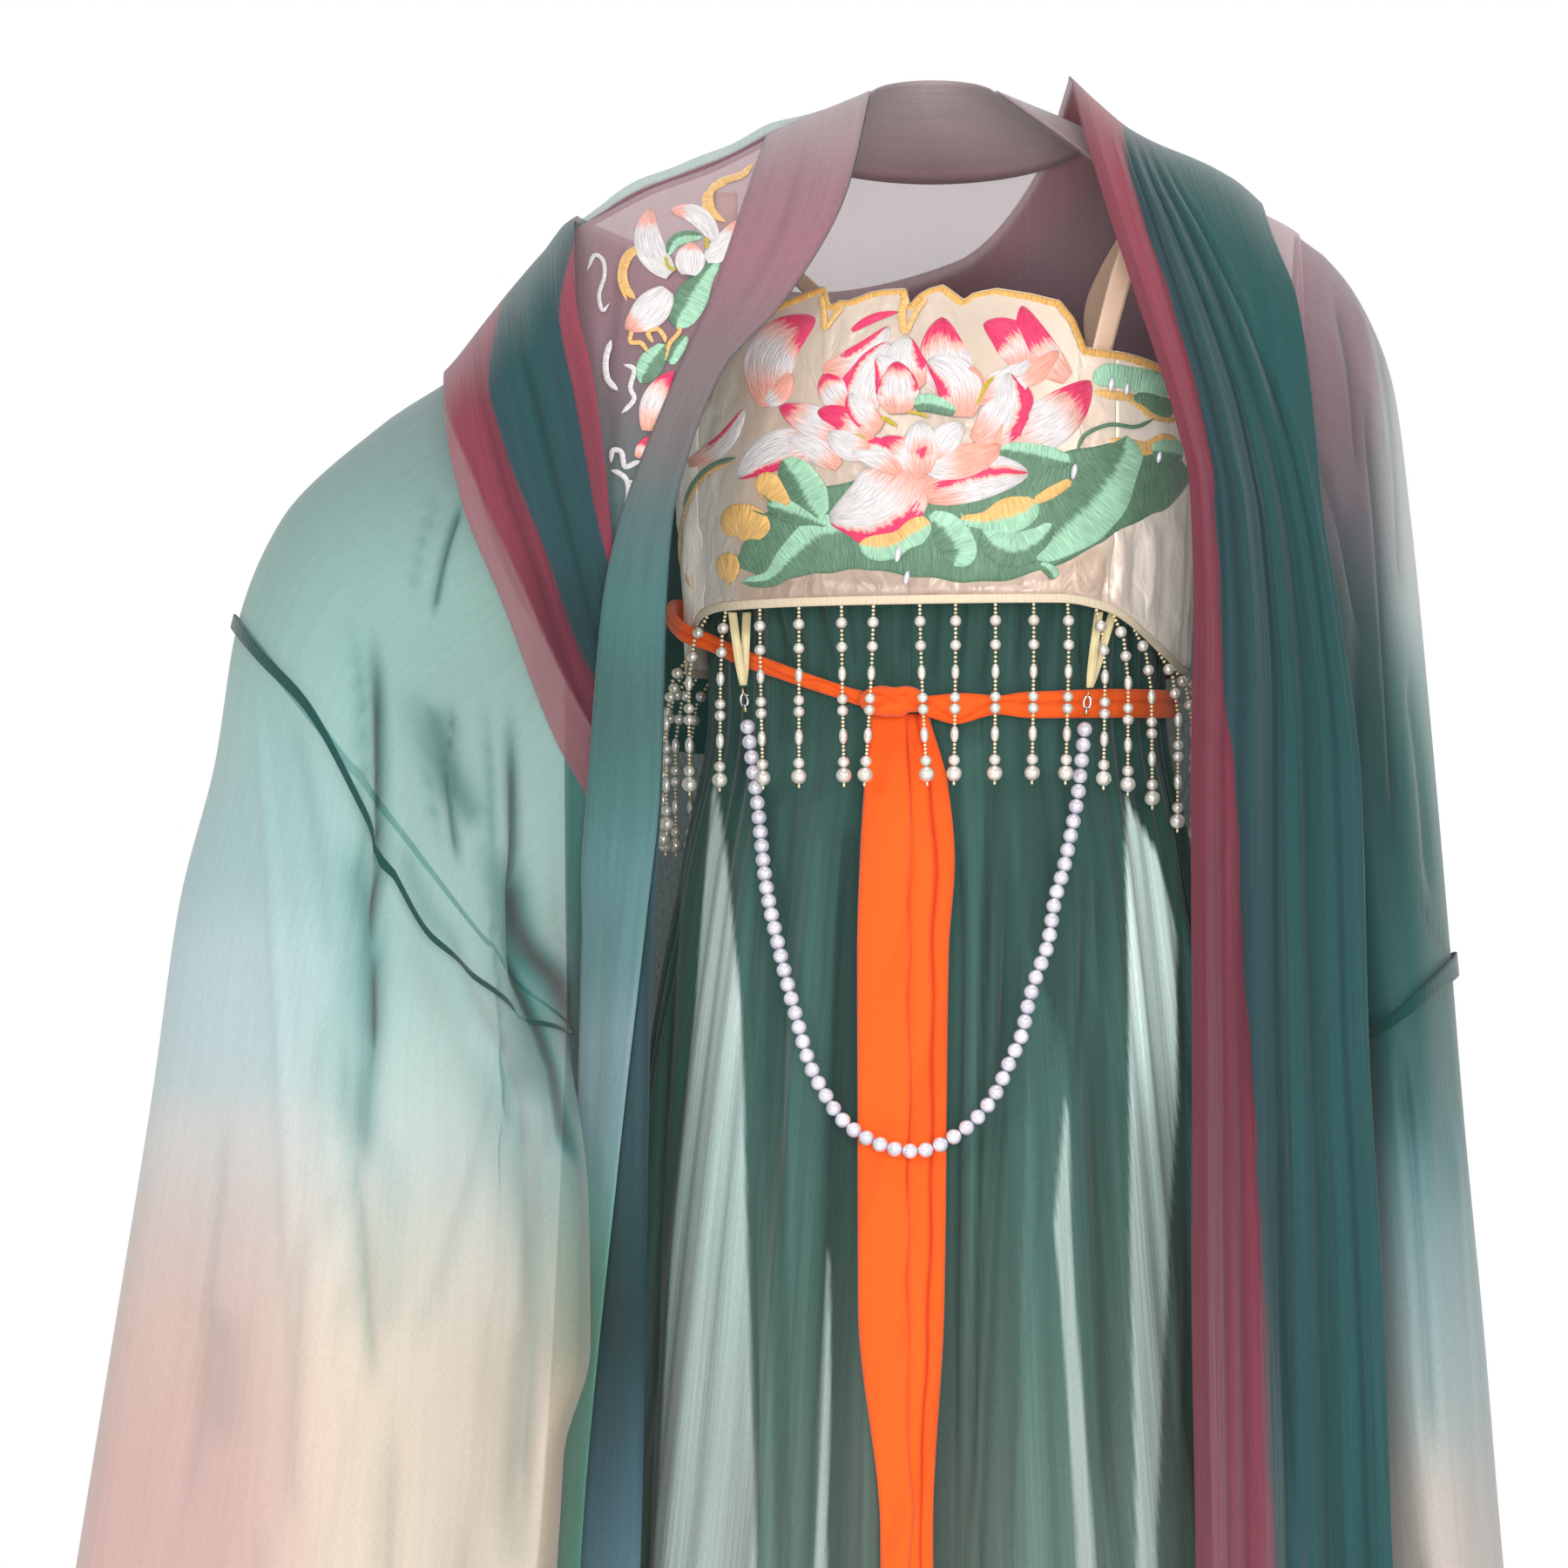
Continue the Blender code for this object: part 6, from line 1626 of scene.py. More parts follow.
# ---- Sash -----------------------------------------------------------------------------------------
ORANGE = (246, 96, 26)
# The orange under full painted shade.
SHADED_ORANGE = (206, 58, 8)
BELT_HALF = 0.0026         # half thickness of the rolled belt
BELT_GROOVE = 0.0011       # depth of its groove, and of a second one near the knot
SECOND_GROOVE = 0.0007
NEAR_KNOT = (40, 28)       # the second groove starts here: degrees from the knot, softness
BELT_LUMPS = ((15, 5.0, 0.45), (26, 4.0, -0.25))    # degrees from the knot, width, how much fuller
LUMP_SINKS = (15, 6.0, 0.0020)          # and where the belt sinks a little, by how much
KNOT_SQUARE = 0.86         # below 1 squares the knot's ball
KNOT_PINCH = 0.16
TAIL_WAVER = 0.0011        # how far the fold between the two tails wavers
TAIL_LAP = 0.004           # lap of one tail under the other
TAIL_STEP = 0.0014         # depth of the left tail's own fold
TAIL_RIM = 0.0016
TAIL_WALL = 0.0010


def orange_grid(grid, shade):
    # Orange, deepened by painted shade.
    colours = colour_grid(grid, ORANGE)
    deep = np.append(linear(SHADED_ORANGE), 1.0)
    return mix(colours, deep, np.clip(shade, 0, 1)[..., None])


def capped(name, grid, colours, material):
    """A closed loft round rings, one row of the grid for each, with a point at both ends."""
    rows, count = grid.shape[:2]
    points = np.vstack([grid.reshape(-1, 3), grid[0].mean(axis=0), grid[-1].mean(axis=0)])
    tints = np.vstack([colours.reshape(-1, 4), colours[0].mean(axis=0), colours[-1].mean(axis=0)])
    faces = grid_faces(rows, count, True).tolist()
    for i in range(count):
        last = (rows - 1) * count + i
        after, last_after = (i + 1) % count, last - i + (i + 1) % count
        faces += [(rows * count, i, after), (rows * count + 1, last_after, last)]
    uv = np.append(grid_uv(grid, True), np.zeros(12 * count))
    return put(name, mesh_of(name, points, faces, tints, uv), material)


def make_belt(name, node, first, last, sections):
    """A stretch of the rolled belt, from one angle round the waist to another."""
    angle = np.linspace(first, last, sections)
    z, out, half_height = look(BELT, np.where(angle > 180, angle - 360, angle))
    half_width, half_depth, _ = look(SKIRT_FORM, WAIST_Z)
    turn = np.linspace(0, 2 * math.pi, 32, endpoint=False)[None, :]
    height = np.sin(turn) * (0.88 + 0.12 * np.abs(np.sin(turn)))
    run, left = np.abs(angle)[:, None], angle[:, None] > 0
    near_knot = ease((NEAR_KNOT[0] - run) / NEAR_KNOT[1])
    line = mix(0.12, 0.75 * np.sin(np.radians(angle[:, None]) * 16), near_knot)
    groove = bell(height - line, 0.16) * (np.cos(turn) > 0)
    second = bell(height - line + 0.75, 0.12) * (np.cos(turn) > 0) * near_knot
    thick = BELT_HALF * np.cos(turn) - BELT_GROOVE * groove - SECOND_GROOVE * second
    step = out[:, None] + thick
    lumps = 1
    for place, width, fuller in BELT_LUMPS:
        lumps = lumps + fuller * bell(run - place, width)
    lumps = np.where(left, lumps, 1.0)
    place, width, depth = LUMP_SINKS
    sunk = np.where(left, -depth * bell(run - place, width), 0)
    grid = turned(half_width + step, half_depth + step, angle[:, None],
                  z[:, None] + sunk + half_height[:, None] * height * lumps)
    # Painted shade in the grooves and towards the belt's top and bottom.
    shade = 0.55 * groove + 0.35 * second + 0.25 * np.abs(height) ** 6
    made = capped(name, grid, orange_grid(grid, shade), SASH_CREPE)
    sheet(made, grid, [node], closed=True, layers=2)


KNOT_CREASES = (
    (((984, 800), (1000, 796), (1018, 800), (1036, 812)), 5, -0.0016, 0.55),
    (((996, 816), (1012, 808), (1030, 798), (1046, 792)), 4, -0.0016, 0.50),
    (((1034, 788), (1040, 802), (1052, 814), (1060, 818)), 4, -0.0014, 0.50),
    (((1010, 789), (1020, 794), (1032, 793)), 3, -0.0008, 0.30),
    (((1046, 800), (1054, 803), (1062, 803)), 3, -0.0008, 0.35),
)


def make_knot():
    theta = np.linspace(0.02, math.pi - 0.02, 40)[:, None]
    phi = np.linspace(0, 2 * math.pi, 64, endpoint=False)[None, :]
    round_ball = xyz(np.sin(theta) * np.cos(phi), np.sin(theta) * np.sin(phi), np.cos(theta))
    squared = np.sign(round_ball) * np.abs(round_ball) ** KNOT_SQUARE
    waist = round_ball[..., 0] - 0.30 + 0.25 * round_ball[..., 2]
    pinch = 1 - KNOT_PINCH * bell(waist, 0.22)
    grid = squared * np.array(KNOT_HALF) * pinch[..., None] + np.array(KNOT)
    push, shade = near_lines(*on_sheet(grid), KNOT_CREASES)
    front = grid[..., 1] < KNOT[1]
    grid = grid + facing(grid, closed=True) * np.where(front, push, 0)[..., None]
    colours = orange_grid(grid, np.where(front, shade, 0))
    made = capped("knot_cloth", grid, colours, SASH_CREPE)
    sheet(made, grid, ["sash_knot"], closed=True, layers=2)


def make_tail(name, node, first, out):
    """A tail of the sash between two columns of edges; the right one is 0 and lies on top."""
    rows, columns = 160, 30
    top = TAILS[0][0]
    z = np.linspace(top + 0.003, TAIL_END_Z, rows)[:, None]
    share = np.linspace(0, 1, columns)[None, :]
    low, high = look(TAILS, z)[first:first + 2]
    down = SHEET_ORIGIN[1] - SHEET_UNIT * z
    if first:
        low = low - TAIL_LAP
    else:
        waver = TAIL_WAVER * np.sin(down / 24 + np.sin(down / 57))
        high = high + waver * ease((down - 820) / 60)
    swing = 0.0012 * np.sin(down / 75) + 0.0007 * np.sin(down / 31 + 1)
    bulge = 0.0010 * np.sin(math.pi * share) + (swing * np.sin(math.pi * share))
    depth = skirt_front_depth(mix(low, high, share), z, out + bulge)
    # Painted shade along the edges and folds of the tails, on slanting creases, and across them just
    # under the knot.
    shade = np.zeros((rows, columns)) + 0.10 * bell(share, 0.05)
    if first:
        fold_at = 0.60 + 0.05 * np.sin(down / 160) + 0.02 * np.sin(down / 22)
        step = ease((share - fold_at) / 0.05)
        depth = depth - TAIL_STEP * step
        shade = shade + 0.95 * bell(share - fold_at - 0.03, 0.06)
        shade = shade + 0.85 * bell(share - 0.10, 0.10) + 0.16 * step
    else:
        shade = shade + 0.55 * bell(1 - share, 0.035)
    slant = np.sin(down / 46 + 3.2 * share + first) * np.sin(down / 129 + 1.7 * first)
    shade = shade + 0.16 * ease(slant * 2 - 0.6)
    shade = shade + 0.25 * bell(z + 0.290, 0.008)
    rim = TAIL_RIM * (bell(share, 0.05) + bell(1 - share, 0.05))
    clear = ease((top + 0.03 - z) / 0.03)
    grid = xyz(mix(low, high, share), -mix(depth + 0.003, depth, clear) + rim, z)
    made = cloth(name, grid, orange_grid(grid, shade), SASH_CREPE, thickness=TAIL_WALL)
    sheet(made, grid, [node])


# ---- Bodice ---------------------------------------------------------------------------------------
# Top edge of the front panel on the layout sheet.
BODICE_LINE = (
    (790, 466), (812, 462), (820, 452), (834, 410), (848, 386), (870, 366), (898, 351), (925, 340),
    (937, 336), (945, 334), (949, 338), (951, 348), (954, 355), (958, 354), (964, 350), (975, 350),
    (983, 347), (997, 341), (1014, 338), (1039, 337), (1042, 348), (1044, 355), (1048, 349),
    (1054, 343), (1064, 337), (1080, 333), (1087, 337), (1094, 342), (1105, 350), (1114, 343),
    (1125, 340), (1142, 337), (1180, 343), (1213, 351), (1230, 372), (1243, 404), (1286, 409),
    (1330, 418), (1380, 430),
)
# Colour of the satin, darker towards the hem with painted shade; the last column is how much it crumples.
SATIN_DYE_AND_SHADE = (
    (330, 234, 214, 194, 0.25), (450, 232, 210, 190, 0.30), (560, 228, 205, 185, 0.50),
    (640, 216, 190, 170, 0.90), (700, 212, 185, 167, 1.00), (780, 216, 192, 174, 0.90),
)
# Colour towards which painted light lifts the satin's sides.
SATIN_PAINTED_LIGHT = (252, 240, 226)
# Creases of the satin: along the hem and the gathers of the side walls.
SATIN_CREASES = (
    (((1268, 640), (1266, 670), (1262, 694)), 6, -0.0018, 0.16),
    (((1284, 610), (1282, 655), (1278, 700)), 4, 0.0024, 0.00),
    (((1300, 606), (1298, 650), (1294, 705)), 5, -0.0024, 0.24),
    (((1316, 596), (1318, 650), (1312, 715)), 4, 0.0026, 0.00),
    (((1332, 600), (1334, 660), (1328, 730)), 5, -0.0024, 0.22),
    (((1348, 590), (1352, 660), (1346, 745)), 4, 0.0026, 0.00),
    (((1362, 590), (1364, 660), (1362, 740)), 5, -0.0022, 0.24),
    (((1350, 420), (1356, 470), (1362, 500)), 7, -0.0016, 0.14),
    (((866, 680), (940, 668), (1010, 672), (1060, 678)), 5, -0.0012, 0.06),
    (((1090, 680), (1150, 676), (1210, 664), (1250, 648)), 6, -0.0014, 0.08),
    (((1180, 664), (1230, 640), (1290, 618)), 8, 0.0014, 0.00),
    (((806, 600), (804, 650), (812, 690)), 5, -0.0020, 0.16),
    (((793, 590), (790, 650), (796, 700)), 5, 0.0020, 0.00),
    (((781, 600), (778, 660), (782, 730)), 5, -0.0020, 0.20),
    (((822, 470), (812, 500), (802, 530)), 7, -0.0012, 0.08),
)
BORDER_WIDTH = 0.0046
BORDER_DOME = 0.0007
PANEL_ANGLE = 54           # the front panel reaches this far round on both sides
BODICE_WALL = 0.0009
HEM_LAP = 0.0016           # the satin goes down this far behind the hem's tape
PLEATS_FROM = (80, 10)     # the shirred back: degrees from the front, softness
PLEAT = 0.0016
PLEAT_SHADE = 0.10
PAINTED_LIGHT_SIDES = ((1250, 60), (870, 60), 0.95)  # painted light on the satin's sides, which lie in shadow: right of, left of, how much
FRONT_DIM = (0.74, 6, 44)  # painted shade: the satin's middle is coloured darker against the lamps' stronger light there: share, degrees, softness
STRAP_ANGLES = (-53.0, 50.0)        # angle of the right and the left strap's front end
STRAP_FRONT = (-0.088, -0.042)      # heights of the strap inside the front, and at its edge
STRAP_BACK = (-0.112, -0.055)
STRAP_OVER = (0.112, 0.009, -0.004) # distance from the middle and heights over the shoulder
STRAP_UNDER = (-0.004, -0.007, -0.014)  # it lies so far inside at its ends, front edge, back edge
STRAP_ASIDE = 0.014        # the left strap leaves the bodice this far aside
STRAP_COLOUR = (232, 196, 170)
STRAP_WALL = 0.0010
BORDER_COLOUR = (232, 176, 92)


def bodice_edges(angle):
    """Top and bottom heights of the bodice at each angle."""
    key = np.where(angle > 180, angle - 360, angle)
    top, hem = look(BODICE_TOP, key)[0], look(BODICE_HEM, key)[0]
    line = np.array(BODICE_LINE, dtype=float)
    right, _ = on_sheet(bodice_point(angle, top))
    drawn = (SHEET_ORIGIN[1] - np.interp(right, line[:, 0], line[:, 1])) / SHEET_UNIT
    front = np.abs(key) < PANEL_ANGLE + 4
    return np.where(front, drawn, top), hem


def bodice_grid(angles, rows):
    top, hem = bodice_edges(angles)
    share = (np.linspace(0, 1, rows) ** 1.2)[:, None]
    angle = angles[None, :] * np.ones_like(share)
    return bodice_point(angle, mix(top[None, :], hem[None, :] - HEM_LAP, share)), angle


def make_bodice_panel(name, node, first, last, columns, rows, trims):
    """A panel of the bodice: smooth with a few creases in front, shirred behind."""
    grid, angle = bodice_grid(np.linspace(first, last, columns), rows)
    right, down = on_sheet(grid)
    push, shade = near_lines(right, down, SATIN_CREASES)
    key = np.minimum(angle, 360 - angle)
    behind = ease((key - PLEATS_FROM[0]) / PLEATS_FROM[1])
    pleats = PLEAT * np.sin(np.radians(angle) * 44 + np.sin(np.radians(angle) * 9))
    push = mix(push, pleats * ease((down - 450) / 60), behind)
    shade = mix(shade, PLEAT_SHADE * ease(-pleats / PLEAT), behind)
    grid = grid + facing(grid) * push[..., None]
    # The satin's colour, with painted shade towards the hem.
    colours = dyed(SATIN_DYE_AND_SHADE, down)
    # Painted light on the satin's sides, which lie in the shadow of the collar bands and the shawl.
    (right_from, right_soft), (left_from, left_soft), pale = PAINTED_LIGHT_SIDES
    sides = np.maximum(ease((right - right_from) / right_soft), ease((left_from - right) / left_soft))
    colours[..., :3] = mix(colours[..., :3], linear(SATIN_PAINTED_LIGHT), pale * sides[..., None])
    # Painted shade on the satin's middle, then in its creases and pleats.
    least, begin, soft = FRONT_DIM
    dim(colours, least + (1 - least) * ease((key - begin) / soft))
    dim(colours, 1 - shade)
    made = cloth(name, grid, colours, SATIN, thickness=BODICE_WALL)
    sheet(made, grid, [node], with_pieces=trims)


def make_bodice():
    trims = [
        make_border(), make_drops(),
        embroider("bodice_leaves", on_bodice, (), LEAF_FILLS + CLOUD_FILLS, ()),
        embroider("bodice_lotus", on_bodice, LOTUS_PETALS, (), LINES),
    ]
    make_bodice_panel("bodice_front_cloth", "bodice_front", -PANEL_ANGLE, PANEL_ANGLE, 230, 72,
                      trims)
    make_bodice_panel("bodice_back_cloth", "bodice_back", PANEL_ANGLE, 360 - PANEL_ANGLE, 210, 40,
                      ())
    make_strap("strap_right_cloth", "strap_right", -1, STRAP_ANGLES[0], 0.0)
    make_strap("strap_left_cloth", "strap_left", 1, STRAP_ANGLES[1], STRAP_ASIDE)


def make_strap(name, node, side, angle, aside):
    """A shoulder strap from inside the bodice's front, over the shoulder, to inside its back."""
    behind = 180 - 0.7 * angle
    ends, front_edge, back_edge = STRAP_UNDER
    front = bodice_point(angle, STRAP_FRONT[0], ends)
    back = bodice_point(behind, STRAP_BACK[0], ends)
    away, over, beside = STRAP_OVER
    x = ROBE_X + side * away
    middle = (
        bodice_point(angle, STRAP_FRONT[1], front_edge) + (aside, 0, 0),
        np.array((x, front[1] * 0.45, beside)), np.array((x, 0.0, over)),
        np.array((x, back[1] * 0.4, beside)), bodice_point(behind, STRAP_BACK[1], back_edge),
    )
    halves = []
    for at, z, way in ((angle, STRAP_FRONT[0], 1), (behind, STRAP_BACK[0], -1)):
        half = bodice_point(at + 1, z) - bodice_point(at - 1, z)
        halves.append(half * way * STRAP_WIDTH / 2 / np.linalg.norm(half))
    line = smooth_line([front, *middle, back], 60)
    share = np.linspace(0, 1, 60)[:, None]
    half = mix(halves[0], np.array((STRAP_WIDTH / 2, 0, 0)), ease(share * 5))
    half = mix(half, halves[1], ease(share * 5 - 4))
    across = np.linspace(-1, 1, 7)
    grid = line[:, None, :] + half[:, None, :] * across[None, :, None]
    colours = colour_grid(grid, STRAP_COLOUR, 0.1)
    # Painted shade along the strap's two edges.
    colours[:, [0, -1], :3] *= 0.85
    made = cloth(name, grid, colours, SATIN, thickness=STRAP_WALL)
    sheet(made, grid, [node])


def make_border():
    """The gold satin-stitched edge along the top of the bodice."""
    angles = np.linspace(-PANEL_ANGLE - 3, PANEL_ANGLE + 36, 700)
    top, _ = bodice_edges(angles)
    edge = bodice_point(angles, top - 0.0004, 0.0009)
    even = np.linspace(0, lengths(edge)[-1], 620)
    line = points_at(edge, even)
    run = unit(np.gradient(line, axis=0))
    out = line - (BODY_X, 0, 0)
    out[:, 2] = 0
    out = unit(out)
    inward = np.cross(run, out)
    inward *= -np.sign(inward[:, 2:3])
    share = np.linspace(0, 1, 9)[None, :, None]
    dome = BORDER_DOME * np.sqrt(np.maximum(1 - (2 * share - 1) ** 2, 0)) - 0.0003
    wide = BORDER_WIDTH * (1 + 0.05 * np.sin(even * 900))[:, None, None]
    grid = line[:, None] + inward[:, None] * share * wide + out[:, None] * dome
    colours = colour_grid(grid, BORDER_COLOUR)
    # Painted shade along the border's two edges.
    colours[:, :2, :3] *= 0.82
    colours[:, -1, :3] *= 0.75
    return cloth("bodice_border", grid.transpose(1, 0, 2), colours.transpose(1, 0, 2), FLOSS)


# ---- Embroidery -----------------------------------------------------------------------------------
# Colours of the floss.
WHITE_FLOSS = (228, 222, 222)
BLUSH = (250, 172, 152)
CRIMSON = (238, 54, 106)
DARK_LEAF = (98, 136, 108)
MINT = (164, 212, 180)
GOLD_FLOSS = (240, 190, 116)
YELLOW = (200, 176, 40)
FLOSS_LAY = 0.0005         # the lowest layer of floss over the cloth
FLOSS_STEP = 0.0004        # one layer of floss over another
FLOSS_DOME = 0.0011        # how far a patch swells in its middle
SINK = 0.0003              # floss follows the satin's creases down no further than this
STITCHES = np.random.default_rng(11)

# Petals of the lotus, hindmost first: base, tip, width, bend to the side, how crimson lies, layer.
LOTUS_PETALS = (
    ((884, 470), (936, 370), 58, -26, "tip", 0), ((880, 466), (906, 432), 26, 5, "blush", 1),
    ((945, 432), (1020, 380), 34, 12, "left", 0), ((977, 385), (1030, 364), 10, -4, "all", 1),
    ((1172, 430), (1126, 378), 44, 12, "top", 0), ((1222, 440), (1170, 357), 40, -10, "top", 0),
    ((1108, 462), (1080, 370), 58, -12, "tip", 0), ((1150, 442), (1212, 408), 32, 6, "blush", 1),
    ((1118, 462), (1182, 418), 40, 8, "none", 1), ((1145, 514), (1248, 442), 58, 12, "tip", 0),
    ((1118, 516), (1154, 432), 54, 16, "right", 2), ((1176, 478), (1176, 450), 9, 2, "all", 3),
    ((1166, 506), (1178, 484), 8, -4, "all", 3), ((975, 470), (947, 432), 38, -5, "tip", 1),
    ((986, 500), (1020, 398), 50, -14, "left", 1), ((1052, 452), (1042, 392), 52, -10, "right", 1),
    ((1020, 470), (1004, 412), 40, 8, "left", 2), ((1102, 484), (1062, 420), 52, 16, "left", 3),
    ((1090, 470), (1110, 424), 44, 6, "blush", 2), ((1030, 480), (1027, 420), 50, 0, "rim", 3),
    ((985, 504), (894, 470), 40, -4, "ends", 1), ((998, 512), (936, 478), 36, 8, "top", 2),
    ((1010, 496), (974, 456), 34, -6, "left", 3), ((1000, 520), (950, 500), 34, -6, "none", 3),
    ((948, 516), (846, 552), 46, 14, "left", 0), ((962, 540), (900, 508), 30, 6, "none", 1),
    ((1046, 536), (950, 600), 88, -20, "left", 2), ((1030, 548), (970, 524), 36, 12, "right", 3),
    ((1060, 572), (1178, 548), 56, -8, "stripe", 2), ((1062, 540), (1146, 514), 44, 9, "blush", 3),
    ((1056, 552), (1010, 508), 34, 5, "tip", 3), ((1058, 548), (1054, 488), 44, 0, "heart", 4),
    ((1066, 536), (1104, 492), 36, -4, "none", 3), ((1120, 524), (1150, 486), 30, 4, "blush", 2),
    ((790, 534), (855, 472), 22, 11, "left", 0),
)
# Fills of leaf and cloud shapes: middle line with half widths, colour, edge colour, layer.
LEAF_FILLS = (
    (((842, 652, 16), (880, 636, 34), (930, 616, 46), (990, 606, 50), (1050, 606, 58),
      (1130, 604, 66), (1200, 592, 58), (1250, 570, 52), (1310, 552, 42), (1368, 548, 34)),
     DARK_LEAF, DARK_LEAF, 0),
    (((1140, 530, 18), (1190, 548, 30), (1226, 560, 20)), DARK_LEAF, DARK_LEAF, 0),
    (((1136, 520, 6), (1165, 522, 12), (1196, 528, 12), (1226, 536, 8)), MINT, DARK_LEAF, 1),
    (((850, 670, 4), (884, 666, 10), (908, 642, 20), (938, 618, 25), (972, 612, 18), (996, 622, 5)),
     MINT, DARK_LEAF, 1),
    (((1290, 504, 10), (1286, 528, 26), (1266, 562, 36), (1236, 596, 34), (1204, 624, 24),
      (1180, 646, 8)), MINT, DARK_LEAF, 1),
    (((1124, 612, 8), (1142, 630, 18), (1166, 634, 20), (1190, 622, 15), (1206, 604, 6)),
     MINT, DARK_LEAF, 2),
    (((1062, 596, 10), (1084, 612, 24), (1098, 634, 24), (1092, 654, 8)), MINT, DARK_LEAF, 1),
    (((898, 530, 8), (912, 548, 20), (926, 574, 24), (942, 600, 14)), MINT, DARK_LEAF, 1),
    (((880, 582, 6), (908, 590, 16), (934, 600, 14), (952, 610, 5)), MINT, DARK_LEAF, 1),
    (((1318, 520, 8), (1336, 520, 15), (1356, 524, 12)), MINT, DARK_LEAF, 1),
    (((1250, 442, 7), (1268, 436, 13), (1290, 438, 13), (1318, 444, 14), (1342, 452, 12)),
     MINT, MINT, 1),
    (((1296, 462, 3), (1312, 462, 9), (1330, 470, 12), (1346, 474, 8)), DARK_LEAF, DARK_LEAF, 1),
    (((1190, 650, 5), (1202, 658, 7), (1208, 667, 6)), MINT, DARK_LEAF, 0),
    (((1046, 470, 8), (1062, 468, 10), (1086, 474, 9), (1102, 480, 5)), MINT, DARK_LEAF, 3),
)
CLOUD_FILLS = (
    (((830, 612, 8), (846, 602, 20), (866, 606, 19), (880, 618, 9)), GOLD_FLOSS, GOLD_FLOSS, 1),
    (((824, 660, 6), (835, 656, 19), (848, 660, 9)), GOLD_FLOSS, GOLD_FLOSS, 1),
    (((866, 556, 6), (880, 560, 15), (896, 574, 12), (908, 590, 4)), GOLD_FLOSS, GOLD_FLOSS, 1),
    (((984, 628, 5), (1002, 630, 16), (1022, 628, 17), (1034, 622, 14), (1050, 612, 17),
      (1068, 604, 7)), GOLD_FLOSS, MINT, 2),
    (((1098, 600, 5), (1124, 602, 10), (1148, 598, 20), (1172, 590, 18), (1188, 580, 8)),
     GOLD_FLOSS, MINT, 2),
    (((1184, 580, 5), (1206, 568, 7), (1226, 556, 5)), GOLD_FLOSS, GOLD_FLOSS, 2),
    (((1270, 508, 3), (1290, 516, 9), (1312, 520, 10), (1334, 510, 9), (1352, 512, 5)),
     GOLD_FLOSS, GOLD_FLOSS, 0),
    (((1250, 454, 2), (1272, 458, 5), (1296, 462, 5), (1320, 480, 5), (1348, 486, 4)),
     GOLD_FLOSS, GOLD_FLOSS, 0),
)
# Fine stitched lines: points, half width, colour, layer.
LINES = (
    (((1322, 484), (1300, 494), (1270, 492), (1242, 504), (1232, 524)), 2.2, DARK_LEAF, 2),
    (((846, 528), (818, 536), (796, 556), (784, 584)), 2.2, DARK_LEAF, 2),
    (((846, 532), (818, 542), (798, 562), (785, 592), (780, 630), (786, 662), (796, 678)), 1.8,
     GOLD_FLOSS, 2),
    (((874, 570), (900, 590), (950, 604)), 0.9, DARK_LEAF, 3),
    (((862, 588), (886, 596), (936, 606)), 0.9, DARK_LEAF, 3),
    (((990, 470), (1002, 484), (1014, 486), (1028, 494)), 2.4, YELLOW, 4),
    (((966, 502), (976, 508), (984, 504), (996, 512)), 2.2, YELLOW, 4),
    (((1064, 524), (1072, 516), (1076, 506), (1086, 508)), 2.4, YELLOW, 4),
    (((1116, 474), (1122, 462), (1128, 450), (1138, 438)), 2.2, YELLOW, 4),
    (((1040, 478), (1052, 480), (1064, 484)), 1.6, YELLOW, 4),
    (((1100, 592), (1110, 612), (1104, 632)), 0.8, MINT, 3),
    (((1260, 560), (1252, 590), (1226, 620)), 0.7, DARK_LEAF, 3),
    (((942, 344), (945, 364), (945, 384)), 3.0, GOLD_FLOSS, 3),
    (((966, 358), (956, 370), (946, 384)), 2.6, GOLD_FLOSS, 3),
    (((1040, 346), (1034, 364), (1036, 390)), 4.2, GOLD_FLOSS, 3),
    (((1062, 348), (1050, 364), (1038, 390)), 2.8, GOLD_FLOSS, 3),
)
DROP_SLIM = 0.42           # half width of a drop, as a share of its half length
DROP_OUT = 0.0034          # its middle over the satin
# Clear drops sewn to the leaves: place on the sheet and half length.
DROPS = ((1029, 640, 9), (1039, 666, 8), (1229, 546, 9), (1327, 528, 7), (1272, 446, 8),
         (1290, 451, 7))

# The spray on the shoulder of the robe.
YOKE_PETALS = (
    ((772, 322), (748, 243), 34, -14, "pale", 0), ((822, 282), (770, 246), 24, 12, "pale", 0),
    ((812, 306), (847, 260), 28, 6, "pale", 1), ((792, 324), (796, 285), 34, 0, "pale", 2),
    ((768, 340), (720, 384), 40, -4, "pale", 1), ((745, 500), (776, 432), 26, -8, "tip", 1),
    ((734, 530), (748, 506), 14, 0, "top", 1),
)
YOKE_FILLS = (
    (((826, 306, 6), (812, 322, 10), (798, 344, 18), (784, 370, 16), (778, 384, 7)),
     MINT, DARK_LEAF, 0),
    (((766, 402, 6), (752, 420, 14), (744, 434, 13), (738, 446, 4)), DARK_LEAF, MINT, 0),
    (((790, 392, 4), (780, 406, 8), (770, 424, 6)), MINT, DARK_LEAF, 0),
    (((768, 300, 3), (776, 284, 7), (792, 278, 7), (808, 278, 3)), DARK_LEAF, MINT, 1),
)
